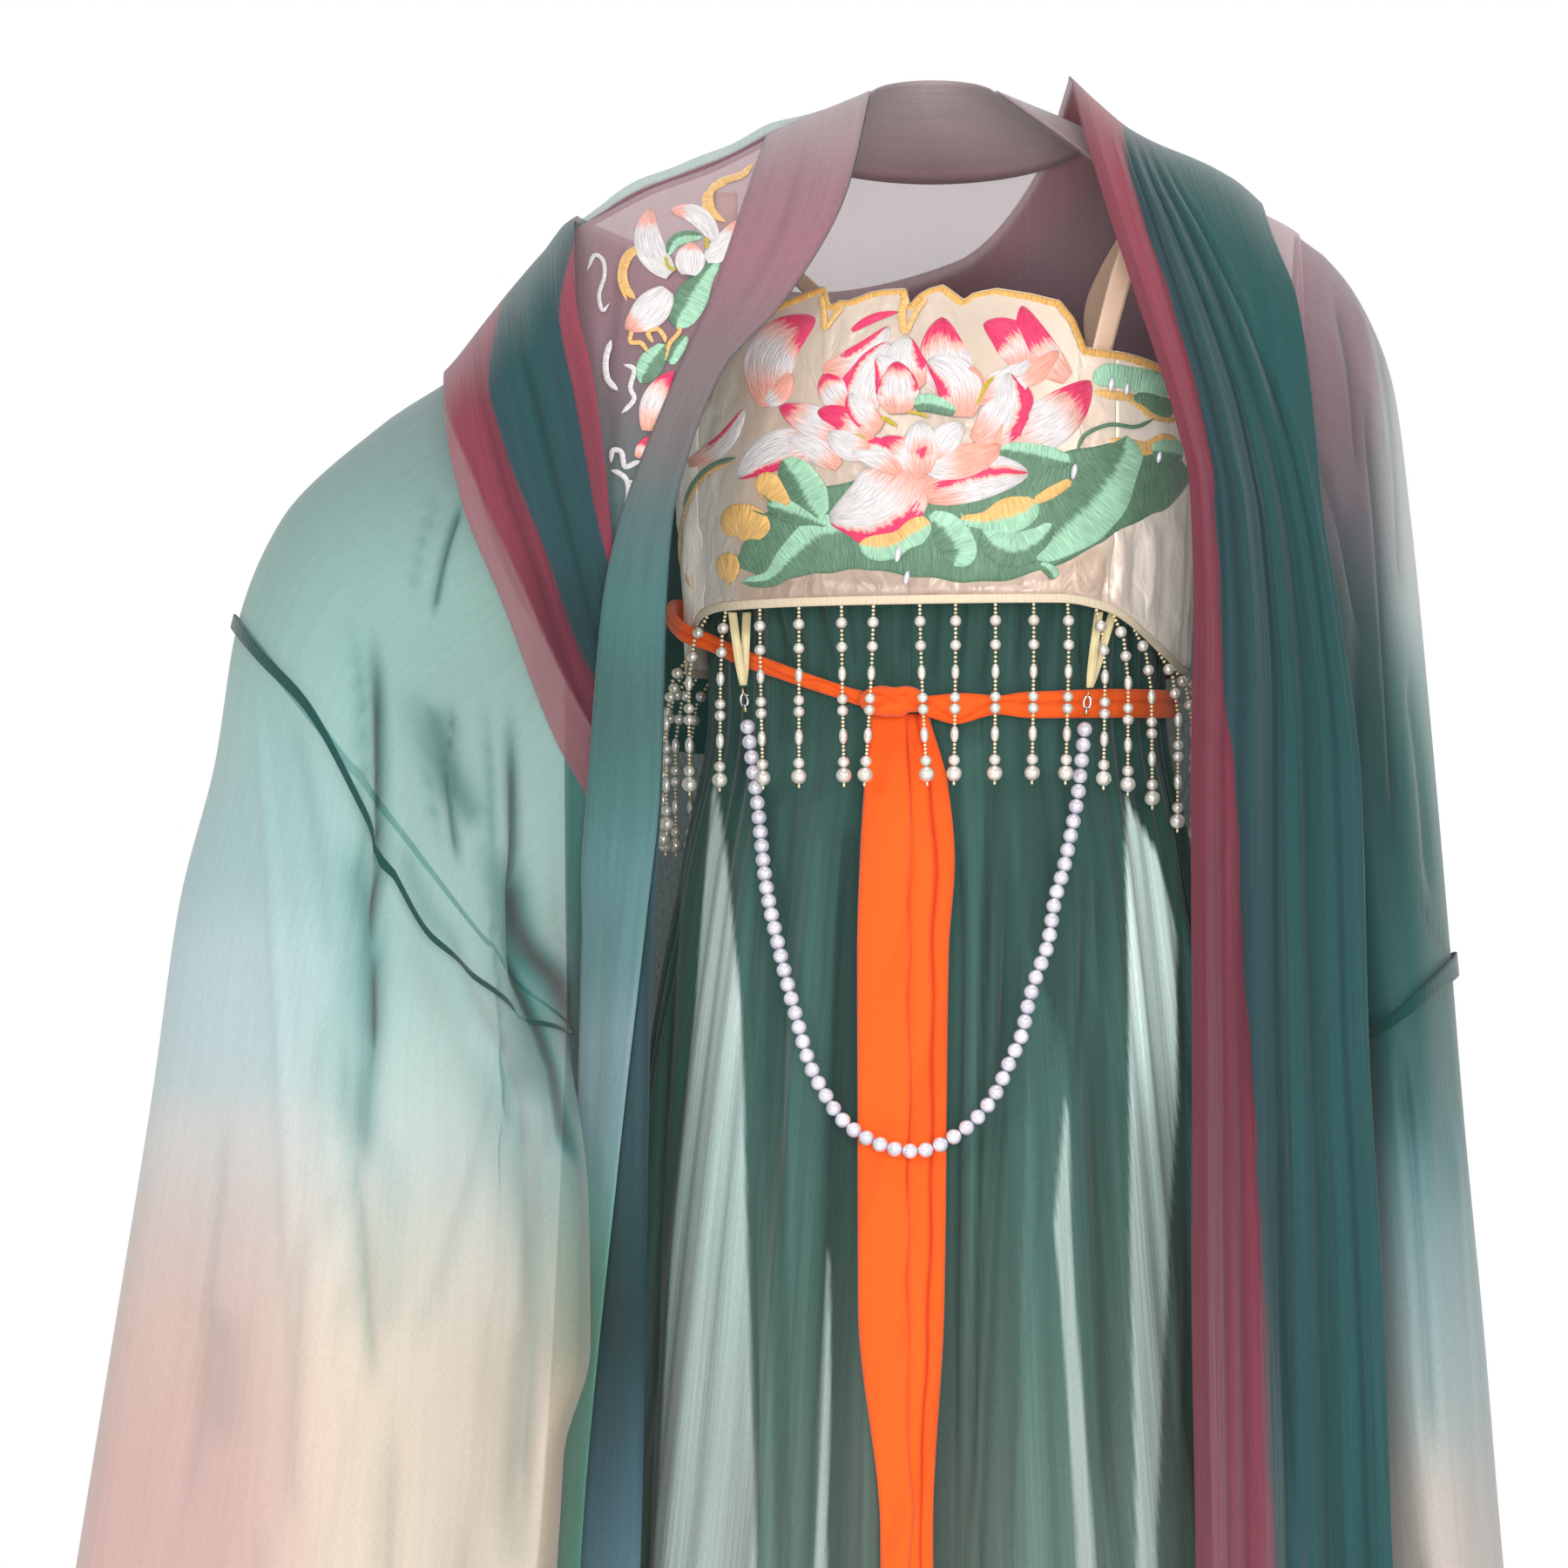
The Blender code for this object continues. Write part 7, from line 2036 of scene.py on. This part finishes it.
YOKE_LINES = (
    (((866, 192), (852, 206), (828, 214), (816, 228), (820, 250), (834, 262)), 4.0, GOLD_FLOSS, 1),
    (((842, 208), (824, 220), (810, 230), (812, 246), (824, 258)), 2.6, GOLD_FLOSS, 0),
    (((742, 290), (726, 298), (718, 318), (722, 338), (732, 350)), 4.0, GOLD_FLOSS, 0),
    (((736, 286), (718, 300), (713, 326), (722, 352)), 2.0, GOLD_FLOSS, 0),
    (((729, 380), (726, 398), (738, 400), (746, 410)), 2.4, GOLD_FLOSS, 1),
    (((752, 400), (746, 388), (756, 384), (764, 392), (766, 400)), 2.6, GOLD_FLOSS, 1),
    (((778, 370), (782, 386), (770, 402), (766, 420)), 2.4, GOLD_FLOSS, 1),
    (((676, 316), (684, 298), (694, 304), (696, 322), (690, 344), (694, 362), (702, 354)), 2.2,
     WHITE_FLOSS, 0),
    (((704, 396), (698, 418), (700, 440), (712, 454)), 3.4, WHITE_FLOSS, 0),
    (((718, 424), (730, 430), (726, 450), (730, 464), (716, 480)), 2.6, WHITE_FLOSS, 0),
    (((704, 536), (706, 522), (716, 524), (720, 540), (732, 536), (740, 534)), 2.8,
     WHITE_FLOSS, 0),
    (((704, 544), (714, 548), (722, 556), (724, 572), (721, 588)), 2.8, WHITE_FLOSS, 0),
    (((724, 556), (734, 560), (736, 548)), 2.0, WHITE_FLOSS, 0),
    (((766, 302), (770, 314), (778, 318)), 1.8, YELLOW, 3),
    (((812, 280), (814, 294)), 2.2, YELLOW, 3), (((752, 494), (756, 506)), 1.6, YELLOW, 3),
)


def petal_paint(kind, t, s):
    """Crimson and blush of a petal from its base (t = 0) to its tip (t = 1), s across."""
    edge = np.abs(s)
    measures = {
        "tip": t - 0.80 + 0.10 * edge, "top": t - 0.56 + 0.08 * edge, "all": t + 1,
        "left": np.where(t > 0.3, -s - 0.56, -1.0), "right": np.where(t > 0.3, s - 0.56, -1.0),
        "rim": np.where(t > 0.4, np.maximum(edge, 1.25 * t - 0.25) - 0.80, -1.0),
        "stripe": np.where(t > 0.1, 0.16 - np.abs(s + 0.12), -1.0),
        "ends": np.abs(t - 0.55) - 0.28, "heart": 0.10 - np.hypot(t - 0.42, 0.35 * s),
    }
    found = measures.get(kind, t - 9)
    crimson = ease(found / 0.05 + 0.5)
    blush = np.maximum(0.85 * ease((found + 0.24) / 0.22), 0.95 * ease((0.44 - t) / 0.34))
    if kind == "blush":
        blush = ease((t - 0.15) / 0.3)
    if kind == "pale":
        crimson, blush = 0 * t, 0.95 * ease((t - 0.70) / 0.1)
    colours = mix(linear(WHITE_FLOSS), linear(BLUSH), blush[..., None])
    return mix(colours, linear(CRIMSON), crimson[..., None])


class Stitching:
    """Patches of floss gathered into one mesh that lies on a cloth."""

    def __init__(self, surface):
        self.surface, self.points, self.faces, self.tints, self.uv = surface, [], [], [], []
        self.count = 0

    def patch(self, middle, half, colours, layer, along):
        """Rows follow the middle line. Threads run along it, or across it."""
        rows, columns = colours.shape[:2]
        s = np.linspace(-1, 1, columns)[None, :]
        run = unit(np.gradient(middle, axis=0), 1e-9)
        side = np.stack([-run[:, 1], run[:, 0]], axis=1)
        spot = middle[:, None] + side[:, None] * (s * half[:, None])[..., None]
        dome = FLOSS_DOME * np.sqrt(np.maximum(1 - s**2, 0)) * np.minimum(half / 8, 1)[:, None]
        grid = self.surface(spot[..., 0], spot[..., 1], FLOSS_LAY + FLOSS_STEP * layer + dome)
        length = (lengths(middle) / SHEET_UNIT)[:, None]
        if along:
            u, v = s * half.max() / SHEET_UNIT, length
        else:
            u, v = length, s * half[:, None] / SHEET_UNIT
        u, v = np.broadcast_arrays(u + STITCHES.uniform(0, 5), v + np.zeros((rows, columns)))
        faces = grid_faces(rows, columns, False)
        self.points.append(grid.reshape(-1, 3))
        self.tints.append(np.insert(colours.reshape(-1, 3), 3, 1.0, axis=1))
        self.uv.append(np.stack([u, v], axis=-1).reshape(-1, 2)[faces.reshape(-1)])
        self.faces.append(faces + self.count)
        self.count += rows * columns

    def petal(self, base, tip, width, bend, kind, layer):
        base, tip = np.array(base, dtype=float), np.array(tip, dtype=float)
        run = tip - base
        length = np.hypot(*run)
        side = np.array((-run[1], run[0])) / length
        rows, columns = int(length * 0.40) + 8, int(width * 0.62) + 8
        t = np.linspace(0, 1, rows)
        middle = base + t[:, None] * run + (bend * np.sin(math.pi * t))[:, None] * side
        half = width / 2 * np.sin(math.pi * (0.06 + 0.94 * t) ** 0.9) ** 0.62
        s = np.linspace(-1, 1, columns)[None, :]
        thread = STITCHES.uniform(-1, 1, (1, columns))
        rough = STITCHES.uniform(-1, 1, (rows, 1))
        colours = petal_paint(kind, t[:, None] + 0.055 * thread, s + 0.07 * rough)
        # Threads vary at random; the petal's edges are painted darker, as shade.
        dim(colours, 1 + 0.05 * thread - 0.12 * (np.abs(s) > 0.93))
        self.patch(middle, half, colours, layer, True)

    def fill(self, spine, colour, edge_colour, layer):
        rough_line = np.array(spine, dtype=float)
        length = np.hypot(*np.diff(rough_line[:, :2], axis=0).T).sum()
        rows, columns = int(length * 0.5) + 8, int(rough_line[:, 2].max() * 0.9) + 8
        line = smooth_line(spine, rows)
        t = np.linspace(0, 1, rows)[:, None]
        half = np.maximum(line[:, 2], 0.5) * (1 + 0.018 * np.sin(5 * t[:, 0] * length / 40))
        half *= np.sqrt(span(t[:, 0], 0, 0.08, 1, 0.08)) + 0.02
        s = np.linspace(-1, 1, columns)[None, :]
        thread = STITCHES.uniform(-1, 1, (rows, 1))
        share = ease((s + 0.10 * thread) / 0.25 + 0.2) * (edge_colour != colour)
        colours = mix(linear(colour), linear(edge_colour), share[..., None])
        veins = 0.05 * np.sin(t * length / 9 + 2 * s)
        # Threads and veins vary the colour; the patch's edges are painted darker, as shade.
        dim(colours, 1 + 0.07 * thread + veins - 0.15 * (np.abs(s) > 0.95))
        self.patch(line[:, :2], half, colours, layer, False)

    def line(self, points, half, colour, layer):
        length = np.hypot(*np.diff(np.array(points, dtype=float), axis=0).T).sum()
        rows = int(length * 0.7) + 8
        t = np.linspace(0, 1, rows)
        width = half * np.sqrt(span(t, 0, 0.15, 1, 0.15)) + 0.15
        thread = STITCHES.uniform(0.88, 1.08, (rows, 1, 1))
        colours = np.broadcast_to(linear(colour), (rows, 7, 3)) * thread
        self.patch(smooth_line(points, rows), width, colours, layer, False)

    def finish(self, name):
        points, faces, tints, uv = map(np.vstack, (self.points, self.faces, self.tints, self.uv))
        return put(name, mesh_of(name, points, faces.tolist(), tints, uv), FLOSS)


def on_bodice(right, down, out):
    x, z = off_sheet(right, down)
    half_width, half_depth = look(BODICE_FORM, z)
    out = out + np.maximum(near_lines(right, down, SATIN_CREASES)[0], -SINK)
    return xyz(x, -front_depth(half_width + out, half_depth + out, x), z)


def on_yoke(right, down, out):
    x, z = off_sheet(right, down)
    return robe_front(-1, np.maximum(ROBE_X - x, 0.0), z, out)


def embroider(name, surface, petals, fills, lines):
    work = Stitching(surface)
    for fill in fills:
        work.fill(*fill)
    for petal in petals:
        work.petal(*petal)
    for line in lines:
        work.line(*line)
    return work.finish(name)


def make_drops():
    places = []
    for right, down, half in DROPS:
        centre = on_bodice(np.array(float(right)), np.array(float(down)), DROP_OUT)
        places.append((centre, (0.2, 0, 1), DROP_SLIM * half / SHEET_UNIT, half / SHEET_UNIT))
    return beads("bodice_drops", places, 16, 10, COOL_PEARL)


# ---- Bead fringe ----------------------------------------------------------------------------------
# The pearls along a strand, in mm: drop of the middle, radius, half length.
STRAND_BEADS = (
    (9.5, 3.2, 3.1), (22.4, 3.1, 3.0), (36.7, 2.2, 4.2), (50.2, 3.0, 2.9), (56.4, 3.1, 3.0),
    (70.0, 2.3, 4.5), (83.8, 3.2, 3.1), (91.0, 4.3, 4.2),
)
STRAND_END = (96.2, 0.0008, 0.0012)     # the last bead: drop in mm, then half sizes in metres
SEED_PITCH = 1.9           # seed beads fill what is between the pearls; in mm too
SEED = 0.95
SEED_WIDE = 1.12
SEED_LONG = 0.92
SWING_DROP = 95            # the drop at which a strand has swung by its whole lean
STRAND_LEANS = (1, -1, 2.6, 0, 1.4, -5, 3.8, -1, -0.6, -1.2, -2.4, -1.4, -0.4, 0.8, -1.2, 4)
SIDE_LEAN = 1.5
FRONTAL = (58, 20)         # nearer the front than this, strands stand off straight forwards
TAPE_DROP = 0.0015         # the tape starts this far under the hem
TAPE_COLOUR = (222, 205, 178)


def strand_angles():
    """Angles of all bead strands, round the front and both sides, with the lean of each."""
    half_width, half_depth = look(BODICE_FORM, look(BODICE_HEM, 0)[0])
    steps = np.arange(-80, 80.25, 0.25)
    reach = turned(half_width, half_depth, steps, 0.0)[:, 0]
    found = [
        (steps[np.abs(reach - x).argmin()], lean) for x, lean in zip(FRONT_STRANDS, STRAND_LEANS)
    ]
    return sorted(found + [(angle, SIDE_LEAN * math.sin(angle)) for angle in SIDE_STRANDS])


class Strand:
    """One bead strand, which hangs from the tape, a little off the cloth behind it."""

    def __init__(self, angle, lean):
        at = np.array(float(angle))
        top = float(look(BODICE_HEM, at)[0]) - TAPE_DROP - TAPE
        self.hang = bodice_point(at, np.array(top))
        out = bodice_point(at, np.array(top), 1.0) - self.hang
        out[2] = 0
        out /= np.linalg.norm(out)
        self.sideways = np.cross((0, 0, 1), out)
        forward = float(ease((FRONTAL[0] - abs(angle)) / FRONTAL[1]))
        out = out * (1 - forward) + (0, -forward, 0)
        self.out = out / np.linalg.norm(out)
        self.lean = lean

    def spot(self, drop):
        """The place on the strand at a drop in mm."""
        rows = np.array(STRAND_FORM)
        share = np.interp(drop / 1000, rows[:, 0], rows[:, 2])
        swing = self.lean / 1000 * (drop / SWING_DROP) ** 1.5
        across = self.out * STRAND_STEP_OUT * share + self.sideways * swing
        return self.hang + across - (0, 0, drop / 1000)

    def bead(self, drop, radius, half):
        return self.spot(drop), self.spot(drop + 1) - self.spot(drop), radius, half

    def beads(self):
        """Its pearls, and the seed beads that fill the gaps above each of them."""
        pearls, seeds, drop = [], [], SEED
        for middle, radius, half in STRAND_BEADS:
            gap = middle - half - drop + SEED
            count = max(int(gap / SEED_PITCH), 0)
            for i in range(count):
                place = drop + (i + 0.5) * gap / count - SEED
                seeds.append(self.bead(place, SEED_WIDE * SEED / 1000, SEED_LONG * SEED / 1000))
            pearls.append(self.bead(middle, radius / 1000, half / 1000))
            drop = middle + half + SEED
        return pearls, seeds, self.bead(*STRAND_END)


def make_fringe():
    angles = np.linspace(0, 360, 360, endpoint=False)
    top = look(BODICE_HEM, np.where(angles > 180, angles - 360, angles))[0] - TAPE_DROP
    share = np.linspace(0, 1, 5)[:, None]
    grid = bodice_point(angles[None, :] + 0 * share, top[None, :] - TAPE * share, 0.0)
    tape = cloth("fringe_tape", grid, colour_grid(grid, TAPE_COLOUR), TAPE_CLOTH,
                 closed=True, thickness=0.0012)
    pearls, seeds, ends = [], [], []
    for angle, lean in strand_angles():
        own_pearls, own_seeds, end = Strand(angle, lean).beads()
        pearls += own_pearls
        seeds += own_seeds
        ends.append(end)
    made = beads("fringe_pearls", pearls, 14, 10, WARM_PEARL)
    beads("fringe_seeds", seeds + ends, 8, 6, SEED_GLASS)
    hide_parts("bead_fringe")
    sheet(tape, grid, [], closed=True)


# ---- Clasps and ribbons ---------------------------------------------------------------------------
# Parts of a clasp, up from the end of the swag: middle, then half sizes or radii.
RING = (0.0150, 0.0019, 0.0005)         # middle, radius, half thickness of the ring's bar
CLAW = (0.0106, 0.0018, 0.0034, 0.0007) # middle, half width, half height, half thickness of its bar
CLAW_TAPER = 0.25
SWIVEL_BEADS = ((0.0057, 0.0011, 0.0014), (0.0074, 0.0013, 0.0007))
LEVER = (0.0128, 0.0019, 0.0005, 0.0010)
CAP_BEADS = ((0.0041, 0.0016, 0.0004), (0.0047, 0.0012, 0.0005))
CLASP_ROUTE = 12           # points of the swag's route that give a clasp its slope
RIBBON_LEG = 0.0016        # the ribbon's two legs lie this far in front and behind
RIBBON_FOLD = (0.0018, 0.0044)          # heights of its fold over its foot
# x of the ribbon's line from its foot, on the way down, through the fold and up again.
RIBBON_LINE = (-0.0035, -0.0018, 0.0, 0.0004, 0.0008, 0.0024, 0.0042)
RIBBON_OUT = (0.0080, 0.0060, 0.014)    # off the waist at its top, further off below, over a height
RIBBON_ASIDE = 0.004       # the waist is measured this far nearer the middle
RIBBON_NEAR = (0.020, 0.015)            # how far over its foot it leaves the waist's form
RIBBON_NARROWS = (0.25, 0.006)
RIBBON_CUP = 0.0004
RIBBON_COLOUR = (226, 210, 160)


def make_clasp(name, end, beyond):
    """A lobster clasp: ring through the ribbon, claw with its lever, swivel and end bead."""
    axis = unit(end - beyond)
    side = unit(np.cross(axis, (0, -1, 0)))
    front = np.cross(side, axis)
    turn = np.linspace(0, 2 * math.pi, 40, endpoint=False)[:, None]
    middle, radius, bar = RING
    line = end + axis * middle + front * radius * np.cos(turn) + axis * radius * np.sin(turn)
    ring = tube(f"{name}_ring", line, bar, GOLD, True)
    middle, half, tall, bar = CLAW
    taper = half * (1 - CLAW_TAPER * np.sin(turn))
    line = end + axis * (middle + tall * np.sin(turn)) + side * taper * np.cos(turn)
    tube(f"{name}_claw", line, bar, SILVER, True)
    places = [(end + axis * up, axis, wide, long) for up, wide, long in SWIVEL_BEADS]
    up, aside, wide, long = LEVER
    places.append((end + axis * up + side * aside, side, wide, long))
    beads(f"{name}_swivel", places, 20, 12, SILVER)
    caps = [(end + axis * up, axis, wide, long) for up, wide, long in CAP_BEADS]
    beads(f"{name}_caps", caps, 20, 12, GOLD)
    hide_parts(name)
    return end + axis * (CLASP_LENGTH + PEARL * 0.1)


def make_ribbon(name, node, foot, lean):
    """A ribbon that comes down behind the tape, folds round the clasp's ring and goes up again."""
    low, high = foot[2] + RIBBON_FOLD[0], foot[2] + RIBBON_FOLD[1]
    half_way = (RIBBON_TOP_Z + foot[2]) / 2
    heights = (RIBBON_TOP_Z, half_way, high, low, high, half_way, RIBBON_TOP_Z)
    deeps = (RIBBON_LEG,) * 3 + (0.0,) + (-RIBBON_LEG,) * 3
    across, z, deep = smooth_line(tuple(zip(RIBBON_LINE, heights, deeps)), 80).T
    leaned = foot[0] + lean * (z - foot[2])
    fullest = leaned - math.copysign(RIBBON_ASIDE, foot[0])
    least, more, height = RIBBON_OUT
    inside = waist_depth(fullest, least + more * ease((RIBBON_TOP_Z - z) / height))
    near = ease((foot[2] + RIBBON_NEAR[0] - z) / RIBBON_NEAR[1])
    depth = mix(inside, -foot[1], near) + deep
    place = np.linspace(-0.5, 0.5, 9)[None, :]
    narrow = 1 - RIBBON_NARROWS[0] * bell(z - foot[2], RIBBON_NARROWS[1])
    x = (leaned + across)[:, None] + place * RIBBON_WIDTH * narrow[:, None]
    cup = RIBBON_CUP * np.cos(2 * math.pi * place)
    grid = xyz(x, -(depth[:, None] + cup), z[:, None])
    made = cloth(name, grid, colour_grid(grid, RIBBON_COLOUR), RIBBON, thickness=0.0005)
    sheet(made, grid, [node])


def make_clasps():
    route = swag_route()
    first = make_clasp("clasp_right", route[0], route[CLASP_ROUTE])
    last = make_clasp("clasp_left", route[-1], route[-1 - CLASP_ROUTE])
    make_ribbon("ribbon_right_strip", "ribbon_right", first, -0.05)
    make_ribbon("ribbon_left_strip", "ribbon_left", last, 0.22)


# ---- Stage ----------------------------------------------------------------------------------------
FLOOR_SIZE = 10.0
FLOOR_DROP = 0.02          # the floor lies this far under the skirt's hem
FLOOR_COLOUR = (238, 237, 236)
LIT_PLACE = (0, 0, -0.5)   # all lamps point here
LAMPS = (                  # name, place, size, power
    ("key", (-2.0, -3.6, 1.4), 1.5, 40.0), ("fill", (2.4, -3.5, 0.5), 1.8, 28.0),
    ("top", (0.0, -0.8, 3.0), 1.8, 22.0), ("front", (0.25, -4.6, -0.2), 1.6, 84.0),
    ("back", (0.6, 3.0, 1.2), 2.4, 10.0),
)
# The room's own light, weaker from the front: y of a direction, and the strength there.
ROOM_LIGHT = {"From Min": -0.4, "From Max": 0.8, "To Min": 0.52, "To Max": 1.0}


def make_floor():
    bpy.ops.mesh.primitive_plane_add(size=FLOOR_SIZE, location=(0, 0, SKIRT_HEM_Z - FLOOR_DROP))
    floor = bpy.context.object
    floor.name = "floor"
    floor.data.materials.append(stone("floor_paper", FLOOR_COLOUR))
    return floor


def make_lamp(name, place, size, power):
    light = bpy.data.lights.new(name, "AREA")
    light.size = size
    light.energy = power
    made = bpy.data.objects.new(name, light)
    made.location = place
    aim = Vector(LIT_PLACE) - Vector(place)
    made.rotation_euler = aim.to_track_quat("-Z", "Y").to_euler()
    COLLECTION.objects.link(made)
    return made


def make_room():
    world = bpy.data.worlds.new("studio")
    world.use_nodes = True
    tree = world.node_tree
    way = tree.nodes.new("ShaderNodeTexCoord")
    parts = tree.nodes.new("ShaderNodeSeparateXYZ")
    tree.links.new(way.outputs["Generated"], parts.inputs["Vector"])
    spread = tree.nodes.new("ShaderNodeMapRange")
    tree.links.new(parts.outputs["Y"], spread.inputs["Value"])
    for socket, value in ROOM_LIGHT.items():
        spread.inputs[socket].default_value = value
    background = tree.nodes["Background"].inputs
    tree.links.new(spread.outputs["Result"], background["Strength"])
    background["Color"].default_value = (1.0, 1.0, 1.0, 1.0)
    bpy.context.scene.world = world
    bpy.context.scene.view_settings.view_transform = "Standard"


# ---- Everything -----------------------------------------------------------------------------------
make_camera()
make_floor()
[make_lamp(*lamp) for lamp in LAMPS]
make_room()
make_swag()
make_clasps()
make_bodice()
make_fringe()
make_skirt()
make_belt("belt_right_cloth", "sash_belt_right", -90, -7, 60)
make_belt("belt_left_cloth", "sash_belt_left", 7, 90, 60)
make_belt("belt_back_cloth", "sash_belt_back", 90, 270, 90)
make_knot()
make_tail("tail_right_cloth", "sash_tail_right", 0, 0.0066)
make_tail("tail_left_cloth", "sash_tail_left", 1, 0.0038)
make_robe_back()
make_robe_front("robe_right_cloth", "robe_front_right", -1, RIGHT_EDGES, ROBE_RIGHT_CREASES)
make_robe_front("robe_left_cloth", "robe_front_left", 1, LEFT_EDGES, ROBE_LEFT_CREASES)
make_band("collar_right", "collar_band_right", -1, RIGHT_EDGES, 0.0035, BAND_RIGHT_CREASES)
make_band("collar_left", "collar_band_left", 1, LEFT_EDGES, 0.0, ())
make_neck_band()
make_sleeve("sleeve_right", -1, RIGHT_SLEEVE, RIGHT_BINDING, SLEEVE_RIGHT_CREASES)
make_sleeve("sleeve_left", 1, LEFT_SLEEVE, LEFT_BINDING, SLEEVE_LEFT_CREASES)
make_shawl_left()
shawl_patch("shawl_right_cloth", "shawl_right", SHAWL_RIGHT_EDGES, True, 110, 60, SHAWL_RIGHT_FOLDS)
shawl_patch("shawl_back_cloth", "shawl_back", SHAWL_BACK_EDGES, False, 90, 60, SHAWL_RIGHT_FOLDS)
